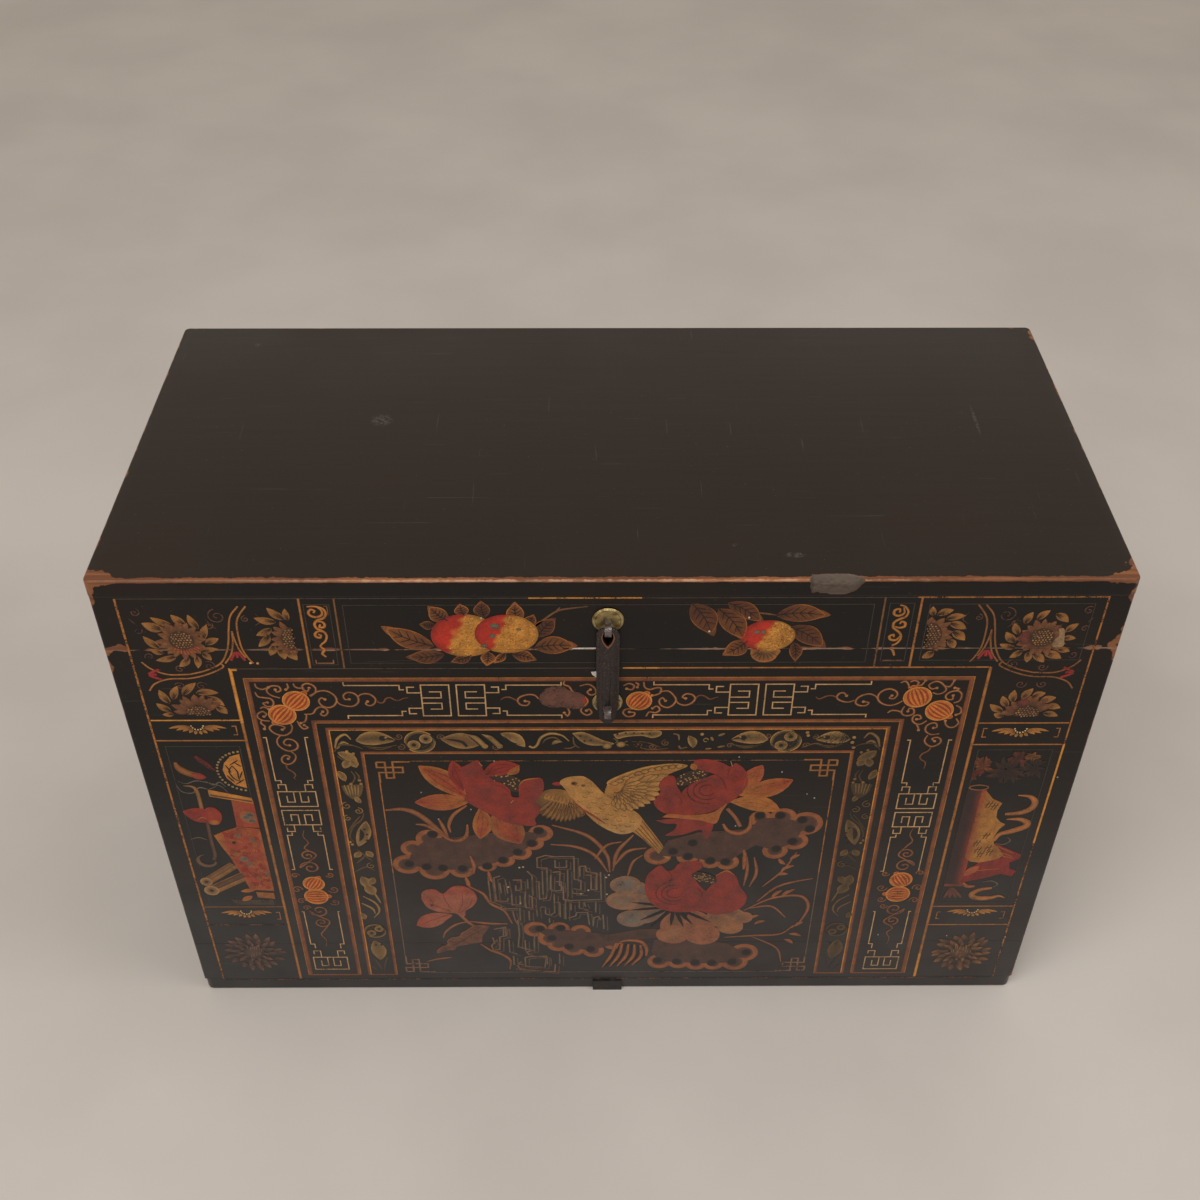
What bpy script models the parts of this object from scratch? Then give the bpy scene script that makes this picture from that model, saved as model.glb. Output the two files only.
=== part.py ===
"""Lacquered wooden trunk: a dovetailed case, a hinged lid, an iron hasp and two bail handles.

Metres, +Z up.  The origin is the middle of the underside and the front faces -Y.
The front and back boards lap over half-blind dovetails on the side boards, the lid is a rim
of the same kind under one wide board, and the ironwork is split pins driven through washers
and spread flat on the inside.
"""

import math

import bmesh
import bpy
from mathutils import Matrix

# Clearance between two pieces that touch
FIT = 0.0003

# Boards
WIDTH = 0.930
DEPTH = 0.430
BASE_THICK = 0.020
CASE_WALL_HEIGHT = 0.5155
LID_RIM_HEIGHT = 0.0635
TOP_THICK = 0.020
WALL = 0.018
FOOT_PLANK_HEIGHT = 0.067
TOP_OVERHANG = 0.0012
TOP_CORNER_RADIUS = 0.006
TOP_ARRIS_ROUND = 0.0025
TOP_UNDER_ROUND = 0.0010
WALL_CORNER_RADIUS = 0.0025
BASE_CORNER_RADIUS = 0.008
BASE_ARRIS_ROUND = 0.0025

# Dovetails
TAIL_WIDTH = 0.036
TAIL_PITCH = 0.090
TAIL_SLOPE = 1.0 / 6.0
FRONT_LAP = 0.006

# Split pins: a strip of iron bent to an eye, driven through a board and spread behind it
STRIP_WIDTH = 0.0062
STRIP_THICK = 0.0022
LEG_REACH = 0.017

# Washers under the pins
WASHER_RADIUS = 0.0145
WASHER_FIELD_RADIUS = 0.0112
WASHER_FIELD_THICK = 0.0012
WASHER_RIM_THICK = 0.0022

# Hasp: the upper pin carries the strap, the lower pin is the staple that a padlock takes
HASP_OFFSET = -0.0040
UPPER_PIN_ABOVE_SEAM = 0.0360
LOWER_PIN_BELOW_SEAM = 0.0680
HASP_EYE_CLEARANCE = 0.0006
HASP_EYE_NECK = 0.0021
HASP_EYE_DROP = 0.0040
STAPLE_EYE_RADIUS = 0.0034
STAPLE_EYE_NECK = 0.0010
STAPLE_EYE_LENGTH = 0.0072
STRAP_WIDTH = 0.0212
STRAP_THICK = 0.0040
STRAP_EDGE_THICK = 0.0022
STRAP_BAR_HEIGHT = 0.0052
STRAP_SHOULDER = 0.0088
STRAP_TAIL_BELOW_SLOT = 0.0175
STRAP_TAIL_WIDTH = 0.0150
STRAP_HIP_ABOVE_SLOT = 0.0053
DROP_HOLE_WIDTH = 0.0098
DROP_HOLE_HEIGHT = 0.0164
STRAP_SLOT_CLEARANCE = 0.0007
STRAP_SLOT_SWING_ROOM = 0.0022

# Back hinges: two rolled leaves and a pin each
HINGE_SPACING = 0.520
LEAF_WIDTH = 0.060
LEAF_HEIGHT = 0.042
LEAF_THICK = 0.0020
LEAF_CORNER_RADIUS = 0.006
HINGE_PIN_RADIUS = 0.0020
HINGE_PIN_HEAD_RADIUS = 0.0033
HINGE_PIN_HEAD_LENGTH = 0.0016
KNUCKLE_WALL = 0.0022
KNUCKLE_LENGTH = 0.020

# Side handles
HANDLE_HEIGHT = 0.370
HANDLE_EYE_SPACING = 0.112
HANDLE_EYE_CLEARANCE = 0.0004
HANDLE_EYE_NECK = 0.0015
BAIL_ROD_RADIUS = 0.0036
BAIL_GRIP_RADIUS = 0.0046
BAIL_HEAD_RADIUS = 0.0052
BAIL_TENON = 0.0110
BAIL_INSET = 0.0140
BAIL_DROP = 0.056
BAIL_BEND_RADIUS = 0.012

# Iron clip on the front edge of the base
CLIP_OFFSET = -0.0020
CLIP_WIDTH = 0.033
CLIP_HEIGHT = 0.017
CLIP_THICK = 0.003
CLIP_FOOT = 0.030

# Facets of round shapes
ARC_STEPS = 5
ROUND_SIDES = 24
WASHER_SIDES = 32
BAIL_BEVEL_STEPS = 3
ROUND_STEPS = 3
SHARP_ANGLE = 35.0
RIM_ANGLE = 60.0

# How far a cutter reaches past what it cuts
SPARE = 0.004

# Levels worked out from the boards
WALL_FOOT = BASE_THICK + FIT
PLANK_SEAM = WALL_FOOT + FOOT_PLANK_HEIGHT
CASE_TOP = WALL_FOOT + CASE_WALL_HEIGHT
LID_FOOT = CASE_TOP + FIT
RIM_TOP = LID_FOOT + LID_RIM_HEIGHT
TOP_FOOT = RIM_TOP + FIT
LID_SEAM = CASE_TOP + FIT / 2
FRONT = -DEPTH / 2
BACK = DEPTH / 2

# Eyes, each as far out of its board as its washer and neck put it
WASHER_SEAT = FIT + WASHER_FIELD_THICK + FIT
HASP_EYE_RADIUS = math.hypot(STRAP_BAR_HEIGHT, STRAP_THICK) / 2 + HASP_EYE_CLEARANCE
HASP_STAND_OFF = WASHER_SEAT + HASP_EYE_NECK + STRIP_THICK + HASP_EYE_RADIUS
STAPLE_EYE_NEAR = WASHER_SEAT + STAPLE_EYE_NECK + STRIP_THICK + STAPLE_EYE_RADIUS
STAPLE_EYE_FAR = STAPLE_EYE_NEAR + STAPLE_EYE_LENGTH
HANDLE_EYE_RADIUS = BAIL_ROD_RADIUS + HANDLE_EYE_CLEARANCE
HANDLE_STAND_OFF = WASHER_SEAT + HANDLE_EYE_NECK + STRIP_THICK + HANDLE_EYE_RADIUS

# Places of the pins and the joint axes
UPPER_PIN_AT = (HASP_OFFSET, FRONT, LID_SEAM + UPPER_PIN_ABOVE_SEAM)
LOWER_PIN_AT = (HASP_OFFSET, FRONT, LID_SEAM - LOWER_PIN_BELOW_SEAM)
HASP_PIVOT = (HASP_OFFSET, FRONT - HASP_STAND_OFF, UPPER_PIN_AT[2] - HASP_EYE_DROP)
KNUCKLE_BORE_RADIUS = HINGE_PIN_RADIUS + FIT
KNUCKLE_RADIUS = KNUCKLE_BORE_RADIUS + KNUCKLE_WALL
HINGE_Y = BACK + FIT + KNUCKLE_RADIUS


def clear_scene():
    """Remove every object, so that the model stands alone"""
    for item in list(bpy.data.objects):
        bpy.data.objects.remove(item, do_unlink=True)


def finish(name, colour, roughness, metallic=0.0):
    """Principled material with one colour"""
    made = bpy.data.materials.new(name)
    made.use_nodes = True
    shader = made.node_tree.nodes["Principled BSDF"]
    shader.inputs["Base Color"].default_value = (*colour, 1.0)
    shader.inputs["Roughness"].default_value = roughness
    shader.inputs["Metallic"].default_value = metallic
    return made


def arc(centre, radius, start, end, steps):
    """Points along an arc, angles in degrees"""
    angles = [math.radians(start + (end - start) * i / steps) for i in range(steps + 1)]
    return [(centre[0] + radius * math.cos(a), centre[1] + radius * math.sin(a)) for a in angles]


def circle(radius, sides=ROUND_SIDES):
    """Closed round loop about the origin, with a flat at each quarter turn"""
    half_step = 180.0 / sides
    return arc((0.0, 0.0), radius, half_step, 360.0 + half_step, sides)[:-1]


def stadium(near, far, radius):
    """Closed loop of two half circles, its middle line from near to far along the first axis"""
    half = ROUND_SIDES // 2
    return arc((far, 0.0), radius, -90.0, 90.0, half) + arc((near, 0.0), radius, 90.0, 270.0, half)


def rounded_rectangle(low, high, radius):
    """Closed loop of a rectangle with round corners"""
    corners = (
        ((high[0] - radius, high[1] - radius), 0.0),
        ((low[0] + radius, high[1] - radius), 90.0),
        ((low[0] + radius, low[1] + radius), 180.0),
        ((high[0] - radius, low[1] + radius), 270.0),
    )
    points = []
    for centre, start in corners:
        points += arc(centre, radius, start, start + 90.0, ARC_STEPS)
    return points


# Where the two axes of a flat loop and the axis it is pushed along point in the model
PUSH_FRAMES = {
    "X": Matrix(((0, 0, 1, 0), (1, 0, 0, 0), (0, 1, 0, 0), (0, 0, 0, 1))),
    "Y": Matrix(((1, 0, 0, 0), (0, 0, 1, 0), (0, 1, 0, 0), (0, 0, 0, 1))),
    "Z": Matrix.Identity(4),
}


def prism(loops, axis, low, high):
    """Closed solid: flat loops, the first the outside and the rest holes, pushed along an axis"""
    shape = bmesh.new()
    for loop in loops:
        verts = [shape.verts.new((a, b, low)) for a, b in loop]
        for pair in zip(verts, verts[1:] + verts[:1]):
            shape.edges.new(pair)
    bmesh.ops.remove_doubles(shape, verts=shape.verts[:], dist=FIT / 100)
    bmesh.ops.triangle_fill(shape, use_beauty=True, use_dissolve=False, edges=shape.edges[:])
    pushed = bmesh.ops.extrude_face_region(shape, geom=shape.faces[:])
    moved = [item for item in pushed["geom"] if isinstance(item, bmesh.types.BMVert)]
    bmesh.ops.translate(shape, vec=(0.0, 0.0, high - low), verts=moved)
    bmesh.ops.transform(shape, matrix=PUSH_FRAMES[axis], verts=shape.verts[:])
    bmesh.ops.recalc_face_normals(shape, faces=shape.faces[:])
    return shape


def block(low, high):
    """Rectangular solid between two corners"""
    shape = bmesh.new()
    size = [high[i] - low[i] for i in range(3)]
    middle = [(high[i] + low[i]) / 2 for i in range(3)]
    bmesh.ops.create_cube(shape, size=1.0)
    bmesh.ops.scale(shape, vec=size, verts=shape.verts[:])
    bmesh.ops.translate(shape, vec=middle, verts=shape.verts[:])
    return shape


def turned(profile, sides, frame):
    """Solid of revolution: (radius, height) points from the foot of the axis to its head"""
    shape = bmesh.new()
    verts = [shape.verts.new((radius, 0.0, height)) for radius, height in profile]
    edges = [shape.edges.new(pair) for pair in zip(verts, verts[1:])]
    bmesh.ops.spin(
        shape,
        geom=verts + edges,
        cent=(0.0, 0.0, 0.0),
        axis=(0.0, 0.0, 1.0),
        angle=2 * math.pi,
        steps=sides,
        use_merge=True,
    )
    bmesh.ops.remove_doubles(shape, verts=shape.verts[:], dist=FIT / 100)
    bmesh.ops.transform(shape, matrix=frame, verts=shape.verts[:])
    bmesh.ops.recalc_face_normals(shape, faces=shape.faces[:])
    return shape


def round_rim(shape, level, offset):
    """Round the outer edge of a board where it lies at one level"""
    near = FIT / 10
    rim = [
        edge
        for edge in shape.edges
        if all(abs(vert.co.z - level) < near for vert in edge.verts)
        and abs(edge.calc_face_angle(0.0)) > math.radians(RIM_ANGLE)
    ]
    bmesh.ops.bevel(
        shape,
        geom=rim,
        offset=offset,
        offset_type="OFFSET",
        segments=ROUND_STEPS,
        profile=0.5,
        affect="EDGES",
        material=-1,
    )


def as_object(name, shape):
    """Object in the scene made from a bmesh, which is used up"""
    mesh = bpy.data.meshes.new(name)
    shape.to_mesh(mesh)
    shape.free()
    item = bpy.data.objects.new(name, mesh)
    bpy.context.scene.collection.objects.link(item)
    return item


def joined_and_cut(base, joined=(), cut=(), kept=()):
    """Mesh of a solid with others fused on, cut away, or kept where they cross it"""
    body = as_object("body", base)
    tools = []
    for operation, shapes in (("UNION", joined), ("DIFFERENCE", cut), ("INTERSECT", kept)):
        for shape in shapes:
            tool = as_object("tool", shape)
            change = body.modifiers.new(operation, "BOOLEAN")
            change.operation = operation
            change.solver = "EXACT"
            change.object = tool
            tools.append(tool)
    depsgraph = bpy.context.evaluated_depsgraph_get()
    mesh = bpy.data.meshes.new_from_object(body.evaluated_get(depsgraph))
    for item in [body, *tools]:
        spent = item.data
        bpy.data.objects.remove(item, do_unlink=True)
        bpy.data.meshes.remove(spent)
    return mesh


def put(name, mesh, surface, at=(0.0, 0.0, 0.0), turn=0.0, carrier=None, smooth=False):
    """Named sub-part with its finish, set in place and hung on the empty that carries it"""
    mesh.name = name
    mesh.materials.clear()
    mesh.materials.append(surface)
    if smooth:
        mesh.shade_smooth()
        mesh.set_sharp_from_angle(angle=math.radians(SHARP_ANGLE))
    item = bpy.data.objects.new(name, mesh)
    item.location = at
    item.rotation_euler = (0.0, 0.0, turn)
    bpy.context.scene.collection.objects.link(item)
    if carrier:
        item.parent = carrier
        item.matrix_parent_inverse = Matrix.Translation(carrier.location).inverted()
    return item


def joint_empty(name, at):
    """Empty on a joint's axis, which carries the pieces that turn about it"""
    item = bpy.data.objects.new(name, None)
    item.location = at
    item.empty_display_size = SPARE
    bpy.context.scene.collection.objects.link(item)
    return item


def tail_places(low, high):
    """Heights of the dovetails' middles on one board"""
    count = max(1, round((high - low) / TAIL_PITCH))
    pitch = (high - low) / count
    return [low + pitch * (i + 0.5) for i in range(count)]


def tail_halves():
    """Half width of a dovetail at its root and at its tip"""
    tip = TAIL_WIDTH / 2
    return tip - TAIL_SLOPE * (WALL - FRONT_LAP), tip


def sockets(side, heights):
    """Cutters for the blind sockets at both ends of a front (side -1) or back (+1) board"""
    root, tip = tail_halves()
    mouth = side * (BACK - WALL - SPARE)
    inner = side * (BACK - WALL)
    blind = side * (BACK - FRONT_LAP)
    cutters = []
    for middle in heights:
        loop = [
            (mouth, middle - root - FIT),
            (inner, middle - root - FIT),
            (blind, middle - tip - FIT),
            (blind, middle + tip + FIT),
            (inner, middle + root + FIT),
            (mouth, middle + root + FIT),
        ]
        depth = WIDTH / 2 - WALL - FIT
        cutters.append(prism([loop], "X", depth, WIDTH / 2 + SPARE))
        cutters.append(prism([loop], "X", -WIDTH / 2 - SPARE, -depth))
    return cutters


def lengthwise_board(side, low, high, slots=()):
    """Mesh of a front (side -1) or back (+1) board with its sockets and pin slots"""
    inner = side * (BACK - WALL)
    centre = side * (BACK - WALL_CORNER_RADIUS)
    reach = WIDTH / 2 - WALL_CORNER_RADIUS
    right = arc((reach, centre), WALL_CORNER_RADIUS, 0.0, side * 90.0, ARC_STEPS)
    left = [(-x, y) for x, y in reversed(right)]
    plan = [(WIDTH / 2, inner), *right, *left, (-WIDTH / 2, inner)]
    board = prism([plan], "Z", low, high)
    return joined_and_cut(board, cut=[*sockets(side, tail_places(low, high)), *slots])


def case_tail_places():
    """Heights of the tails that the two planks of the front or back take from a side board"""
    return tail_places(WALL_FOOT, PLANK_SEAM) + tail_places(PLANK_SEAM + FIT, CASE_TOP)


def crosswise_board(side, low, high, heights, slots=()):
    """Mesh of a left (side -1) or right (+1) board with a row of dovetails at each end"""
    root, tip = tail_halves()
    end = BACK - WALL - FIT
    reach = BACK - FRONT_LAP - FIT
    edge = [(end, low)]
    for middle in heights:
        edge += [
            (end, middle - root),
            (reach, middle - tip),
            (reach, middle + tip),
            (end, middle + root),
        ]
    edge.append((end, high))
    loop = edge + [(-y, z) for y, z in reversed(edge)]
    faces = sorted((side * (WIDTH / 2 - WALL), side * WIDTH / 2))
    return joined_and_cut(prism([loop], "X", *faces), cut=slots)


def shank_slot(at, across):
    """Cutter for a split pin's slot through a board; across is the axis the strip is wide along"""
    wide = STRIP_WIDTH / 2 + FIT
    tall = STRIP_THICK + FIT
    deep = WALL + SPARE
    half = (wide, deep, tall) if across == "X" else (deep, wide, tall)
    return block([at[i] - half[i] for i in range(3)], [at[i] + half[i] for i in range(3)])


def top_board():
    """Mesh of the wide board of the lid, with rounded arrises"""
    half = (WIDTH / 2 + TOP_OVERHANG, DEPTH / 2 + TOP_OVERHANG)
    plan = rounded_rectangle((-half[0], -half[1]), half, TOP_CORNER_RADIUS)
    board = prism([plan], "Z", TOP_FOOT, TOP_FOOT + TOP_THICK)
    round_rim(board, TOP_FOOT + TOP_THICK, TOP_ARRIS_ROUND)
    round_rim(board, TOP_FOOT, TOP_UNDER_ROUND)
    return joined_and_cut(board)


def base_board():
    """Mesh of the board under the case, let in for the iron clip's foot"""
    half = (WIDTH / 2, DEPTH / 2)
    plan = rounded_rectangle((-half[0], -half[1]), half, BASE_CORNER_RADIUS)
    board = prism([plan], "Z", 0.0, BASE_THICK)
    round_rim(board, 0.0, BASE_ARRIS_ROUND)
    housing = block(
        (CLIP_OFFSET - CLIP_WIDTH / 2 - FIT, FRONT - SPARE, -SPARE),
        (CLIP_OFFSET + CLIP_WIDTH / 2 + FIT, FRONT + CLIP_FOOT + FIT, CLIP_THICK + FIT),
    )
    return joined_and_cut(board, cut=[housing])


def base_clip():
    """Mesh of the iron clip: an upright on the front edge and a foot under the base"""
    face = FRONT - FIT
    loop = [
        (face - CLIP_THICK, 0.0),
        (FRONT + CLIP_FOOT, 0.0),
        (FRONT + CLIP_FOOT, CLIP_THICK),
        (face, CLIP_THICK),
        (face, CLIP_HEIGHT),
        (face - CLIP_THICK, CLIP_HEIGHT),
    ]
    bent = prism([loop], "X", CLIP_OFFSET - CLIP_WIDTH / 2, CLIP_OFFSET + CLIP_WIDTH / 2)
    return joined_and_cut(bent)


# Pins and washers are made facing -Y, with the board's face at y = 0
FACING = Matrix.Rotation(math.radians(90.0), 4, "X")


def washer():
    """Mesh of a round washer with a raised rim, slotted for the pin"""
    profile = [
        (0.0, FIT),
        (WASHER_RADIUS - WASHER_FIELD_THICK / 2, FIT),
        (WASHER_RADIUS, FIT + WASHER_FIELD_THICK / 2),
        (WASHER_RADIUS - WASHER_FIELD_THICK, FIT + WASHER_RIM_THICK),
        (WASHER_FIELD_RADIUS + WASHER_FIELD_THICK, FIT + WASHER_RIM_THICK),
        (WASHER_FIELD_RADIUS, FIT + WASHER_FIELD_THICK),
        (0.0, FIT + WASHER_FIELD_THICK),
    ]
    disc = turned(profile, WASHER_SIDES, FACING)
    return joined_and_cut(disc, cut=[shank_slot((0.0, 0.0, 0.0), "X")])


def split_pin(near, far, radius, drop):
    """Mesh of a split pin: its eye from near to far out of the board, dropped below its shank"""
    half = STRIP_WIDTH / 2
    seat = WALL + FIT
    outer = [(-out, up - drop) for out, up in stadium(near, far, radius + STRIP_THICK)]
    hole = [(-out, up - drop) for out, up in stadium(near, far, radius)]
    eye = prism([outer], "X", -half, half)
    shank = block((-half, -near, -STRIP_THICK), (half, seat + STRIP_THICK, STRIP_THICK))
    legs = block((-half, seat, -LEG_REACH), (half, seat + STRIP_THICK, LEG_REACH))
    bore = prism([hole], "X", -half - SPARE, half + SPARE)
    return joined_and_cut(eye, joined=[shank, legs], cut=[bore])


def strap_outline(slot_middle):
    """Loop of the hasp strap, seen from the front, with its pivot at the origin"""
    half = STRAP_WIDTH / 2
    tail_half = STRAP_TAIL_WIDTH / 2
    head = STRAP_BAR_HEIGHT / 2
    foot = slot_middle - STRAP_TAIL_BELOW_SLOT
    crown = [
        (half * math.cos(a), head - STRAP_SHOULDER * (1.0 - math.sin(a)))
        for a in [math.pi * i / (2 * ARC_STEPS) for i in range(2 * ARC_STEPS + 1)]
    ]
    tip = [
        (tail_half * math.cos(a), foot + tail_half * (1.0 + math.sin(a)))
        for a in [math.pi * (1.0 + i / (2 * ARC_STEPS)) for i in range(2 * ARC_STEPS + 1)]
    ]
    hip = slot_middle + STRAP_HIP_ABOVE_SLOT
    return [*crown, (-half, hip), *tip, (half, hip)]


def drop_hole():
    """Loop of the teardrop hole that the upper pin's eye passes through"""
    half = DROP_HOLE_WIDTH / 2
    shoulder = STRIP_WIDTH / 2 + STRAP_SLOT_CLEARANCE
    top = -STRAP_BAR_HEIGHT / 2
    waist = top - half
    tip = top - DROP_HOLE_HEIGHT
    flank = [
        (half * (1.0 - share * share), waist + (tip - waist) * share)
        for share in [1.0 - i / ARC_STEPS for i in range(1, ARC_STEPS + 1)]
    ]
    right = [*flank, (shoulder, top)]
    left = [(-x, z) for x, z in reversed(right)]
    return [*right, *left, (0.0, tip)]


def hasp_strap(slot_middle):
    """Mesh of the wrought strap: a bar with a domed face, cut to its outline"""
    back = STRAP_THICK / 2
    edge = back - STRAP_EDGE_THICK
    half = STRAP_WIDTH / 2
    rise = STRAP_THICK - STRAP_EDGE_THICK
    steps = 2 * ARC_STEPS
    dome = [
        (half * (1.0 - 2.0 * i / steps), edge - rise * (1.0 - (1.0 - 2.0 * i / steps) ** 2))
        for i in range(steps + 1)
    ]
    foot = slot_middle - STRAP_TAIL_BELOW_SLOT - SPARE
    bar = prism([[(-half, back), (half, back), *dome]], "Z", foot, STRAP_BAR_HEIGHT)
    staple_half = STAPLE_EYE_RADIUS + STRIP_THICK
    slot_half = STRIP_WIDTH / 2 + STRAP_SLOT_CLEARANCE
    slot = rounded_rectangle(
        (-slot_half, slot_middle - staple_half - STRAP_SLOT_SWING_ROOM),
        (slot_half, slot_middle + staple_half + STRAP_SLOT_CLEARANCE),
        slot_half / 2,
    )
    blank = prism([strap_outline(slot_middle), drop_hole(), slot], "Y", -STRAP_THICK, STRAP_THICK)
    return joined_and_cut(bar, kept=[blank])


def hinge_leaf(upward, middle_knuckle):
    """Mesh of one leaf, its axis at the origin: upward +1 for the lid's leaf, -1 for the case's"""
    half = LEAF_WIDTH / 2
    cheek = KNUCKLE_LENGTH / 2
    notch = KNUCKLE_RADIUS + FIT
    far = LEAF_HEIGHT
    corner = LEAF_CORNER_RADIUS
    crown = arc((half - corner, far - corner), corner, 0.0, 90.0, ARC_STEPS)
    crown += [(-x, z) for x, z in reversed(crown)]
    if middle_knuckle:
        tongue = cheek - FIT
        comb = [(-half, notch), (-tongue, notch), (-tongue, 0.0)]
        comb += [(tongue, 0.0), (tongue, notch), (half, notch)]
        spans = [(-tongue + FIT, tongue - FIT)]
    else:
        gap = cheek + FIT
        comb = [(-half, 0.0), (-gap, 0.0), (-gap, notch), (gap, notch), (gap, 0.0), (half, 0.0)]
        spans = [(-half + FIT, -gap - FIT), (gap + FIT, half - FIT)]
    loop = [(x, upward * z) for x, z in comb + crown]
    plate = prism([loop], "Y", -KNUCKLE_RADIUS, -KNUCKLE_RADIUS + LEAF_THICK)
    knuckles = [prism([circle(KNUCKLE_RADIUS)], "X", low, high) for low, high in spans]
    bore = prism([circle(KNUCKLE_BORE_RADIUS)], "X", -LEAF_WIDTH, LEAF_WIDTH)
    return joined_and_cut(plate, joined=knuckles, cut=[bore])


def hinge_pin():
    """Mesh of a hinge pin with peened heads, its axis along X"""
    seat = LEAF_WIDTH / 2 + FIT
    end = seat + HINGE_PIN_HEAD_LENGTH
    edge = HINGE_PIN_HEAD_RADIUS - HINGE_PIN_HEAD_LENGTH / 2
    half = [
        (HINGE_PIN_RADIUS, seat),
        (HINGE_PIN_HEAD_RADIUS, seat),
        (HINGE_PIN_HEAD_RADIUS, end - HINGE_PIN_HEAD_LENGTH / 2),
        (edge, end),
        (0.0, end),
    ]
    profile = [(radius, -height) for radius, height in reversed(half)] + half
    along = Matrix.Rotation(math.radians(90.0), 4, "Y")
    return joined_and_cut(turned(profile, ROUND_SIDES, along))


def bail_curve():
    """Curve of a bail: a bent rod whose upset ends turn in the two eyes, its axis at the origin"""
    inner = HANDLE_EYE_SPACING / 2 - BAIL_INSET
    outer = HANDLE_EYE_SPACING / 2 + BAIL_TENON
    bend = BAIL_BEND_RADIUS
    foot = -BAIL_DROP
    half = [(0.0, foot, BAIL_GRIP_RADIUS), (inner / 2, foot, BAIL_GRIP_RADIUS)]
    lower = arc((inner - bend, foot + bend), bend, -90.0, 0.0, 2 * ARC_STEPS)
    half += [(x, z, BAIL_ROD_RADIUS) for x, z in lower]
    small = bend / 2
    upper = arc((inner + small, -small), small, 180.0, 90.0, ARC_STEPS)
    half += [(x, z, BAIL_ROD_RADIUS) for x, z in upper]
    shoulder = HANDLE_EYE_SPACING / 2 + STRIP_WIDTH / 2 + FIT
    half += [(shoulder, 0.0, BAIL_ROD_RADIUS), (shoulder + FIT, 0.0, BAIL_HEAD_RADIUS)]
    half += [(outer, 0.0, BAIL_HEAD_RADIUS), (outer + BAIL_ROD_RADIUS / 2, 0.0, BAIL_ROD_RADIUS)]
    points = [(-x, z, radius) for x, z, radius in reversed(half[1:])] + half
    curve = bpy.data.curves.new("bail", "CURVE")
    curve.dimensions = "3D"
    curve.bevel_depth = 1.0
    curve.bevel_resolution = BAIL_BEVEL_STEPS
    curve.use_fill_caps = True
    spline = curve.splines.new("POLY")
    spline.points.add(len(points) - 1)
    for point, (x, z, radius) in zip(spline.points, points):
        point.co = (x, 0.0, z, 1.0)
        point.radius = radius
    return curve


def build_case(lacquer, bare_wood, iron, brass):
    """Boards of the case and the ironwork that is fixed to it"""
    foot_span = (WALL_FOOT, PLANK_SEAM)
    wall_span = (PLANK_SEAM + FIT, CASE_TOP)
    staple_slot = shank_slot(LOWER_PIN_AT, "X")
    put("base_board", base_board(), bare_wood)
    put("front_foot_plank", lengthwise_board(-1, *foot_span), lacquer)
    put("front_plank", lengthwise_board(-1, *wall_span, [staple_slot]), lacquer)
    put("back_foot_plank", lengthwise_board(1, *foot_span), lacquer)
    put("back_plank", lengthwise_board(1, *wall_span), lacquer)
    for name, side in (("left", -1), ("right", 1)):
        eyes = [
            (side * WIDTH / 2, end * HANDLE_EYE_SPACING / 2, HANDLE_HEIGHT)
            for end in (-1, 1)
        ]
        slots = [shank_slot(eye, "Y") for eye in eyes]
        heights = case_tail_places()
        put(f"{name}_side_board", crosswise_board(side, WALL_FOOT, CASE_TOP, heights, slots), lacquer)
        turn = side * math.radians(90.0)
        for end, eye in zip(("front", "rear"), eyes):
            put(f"{name}_handle_{end}_washer", washer(), iron, eye, turn, smooth=True)
            pin = split_pin(HANDLE_STAND_OFF, HANDLE_STAND_OFF, HANDLE_EYE_RADIUS, 0.0)
            put(f"{name}_handle_{end}_eye", pin, iron, eye, turn, smooth=True)
    put("base_clip", base_clip(), iron)
    staple = split_pin(STAPLE_EYE_NEAR, STAPLE_EYE_FAR, STAPLE_EYE_RADIUS, 0.0)
    put("staple_washer", washer(), brass, LOWER_PIN_AT, smooth=True)
    put("hasp_staple", staple, iron, LOWER_PIN_AT, smooth=True)


def build_lid(lacquer, iron, brass, carrier):
    """Boards of the lid and the ironwork that swings with it"""
    span = (LID_FOOT, RIM_TOP)
    put("lid_top_board", top_board(), lacquer, carrier=carrier)
    front = lengthwise_board(-1, *span, [shank_slot(UPPER_PIN_AT, "X")])
    put("lid_front_rim", front, lacquer, carrier=carrier)
    put("lid_back_rim", lengthwise_board(1, *span), lacquer, carrier=carrier)
    for name, side in (("left", -1), ("right", 1)):
        rim = crosswise_board(side, *span, tail_places(*span))
        put(f"lid_{name}_rim", rim, lacquer, carrier=carrier)
    put("hasp_washer", washer(), brass, UPPER_PIN_AT, carrier=carrier, smooth=True)
    pin = split_pin(HASP_STAND_OFF, HASP_STAND_OFF, HASP_EYE_RADIUS, HASP_EYE_DROP)
    put("hasp_eye", pin, iron, UPPER_PIN_AT, carrier=carrier, smooth=True)


def build_hinges(iron, carrier):
    """Two back hinges, each with a case leaf, a lid leaf and a pin"""
    for name, side in (("left", -1), ("right", 1)):
        at = (side * HINGE_SPACING / 2, HINGE_Y, LID_SEAM)
        put(f"{name}_hinge_case_leaf", hinge_leaf(-1, False), iron, at, smooth=True)
        put(f"{name}_hinge_lid_leaf", hinge_leaf(1, True), iron, at, carrier=carrier, smooth=True)
        put(f"{name}_hinge_pin", hinge_pin(), iron, at, smooth=True)


def build_hasp(iron, carrier):
    """Strap of the hasp, its origin on the axis that it swings about"""
    slot_middle = LOWER_PIN_AT[2] - HASP_PIVOT[2]
    put("hasp_strap", hasp_strap(slot_middle), iron, HASP_PIVOT, carrier=carrier, smooth=True)


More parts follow.
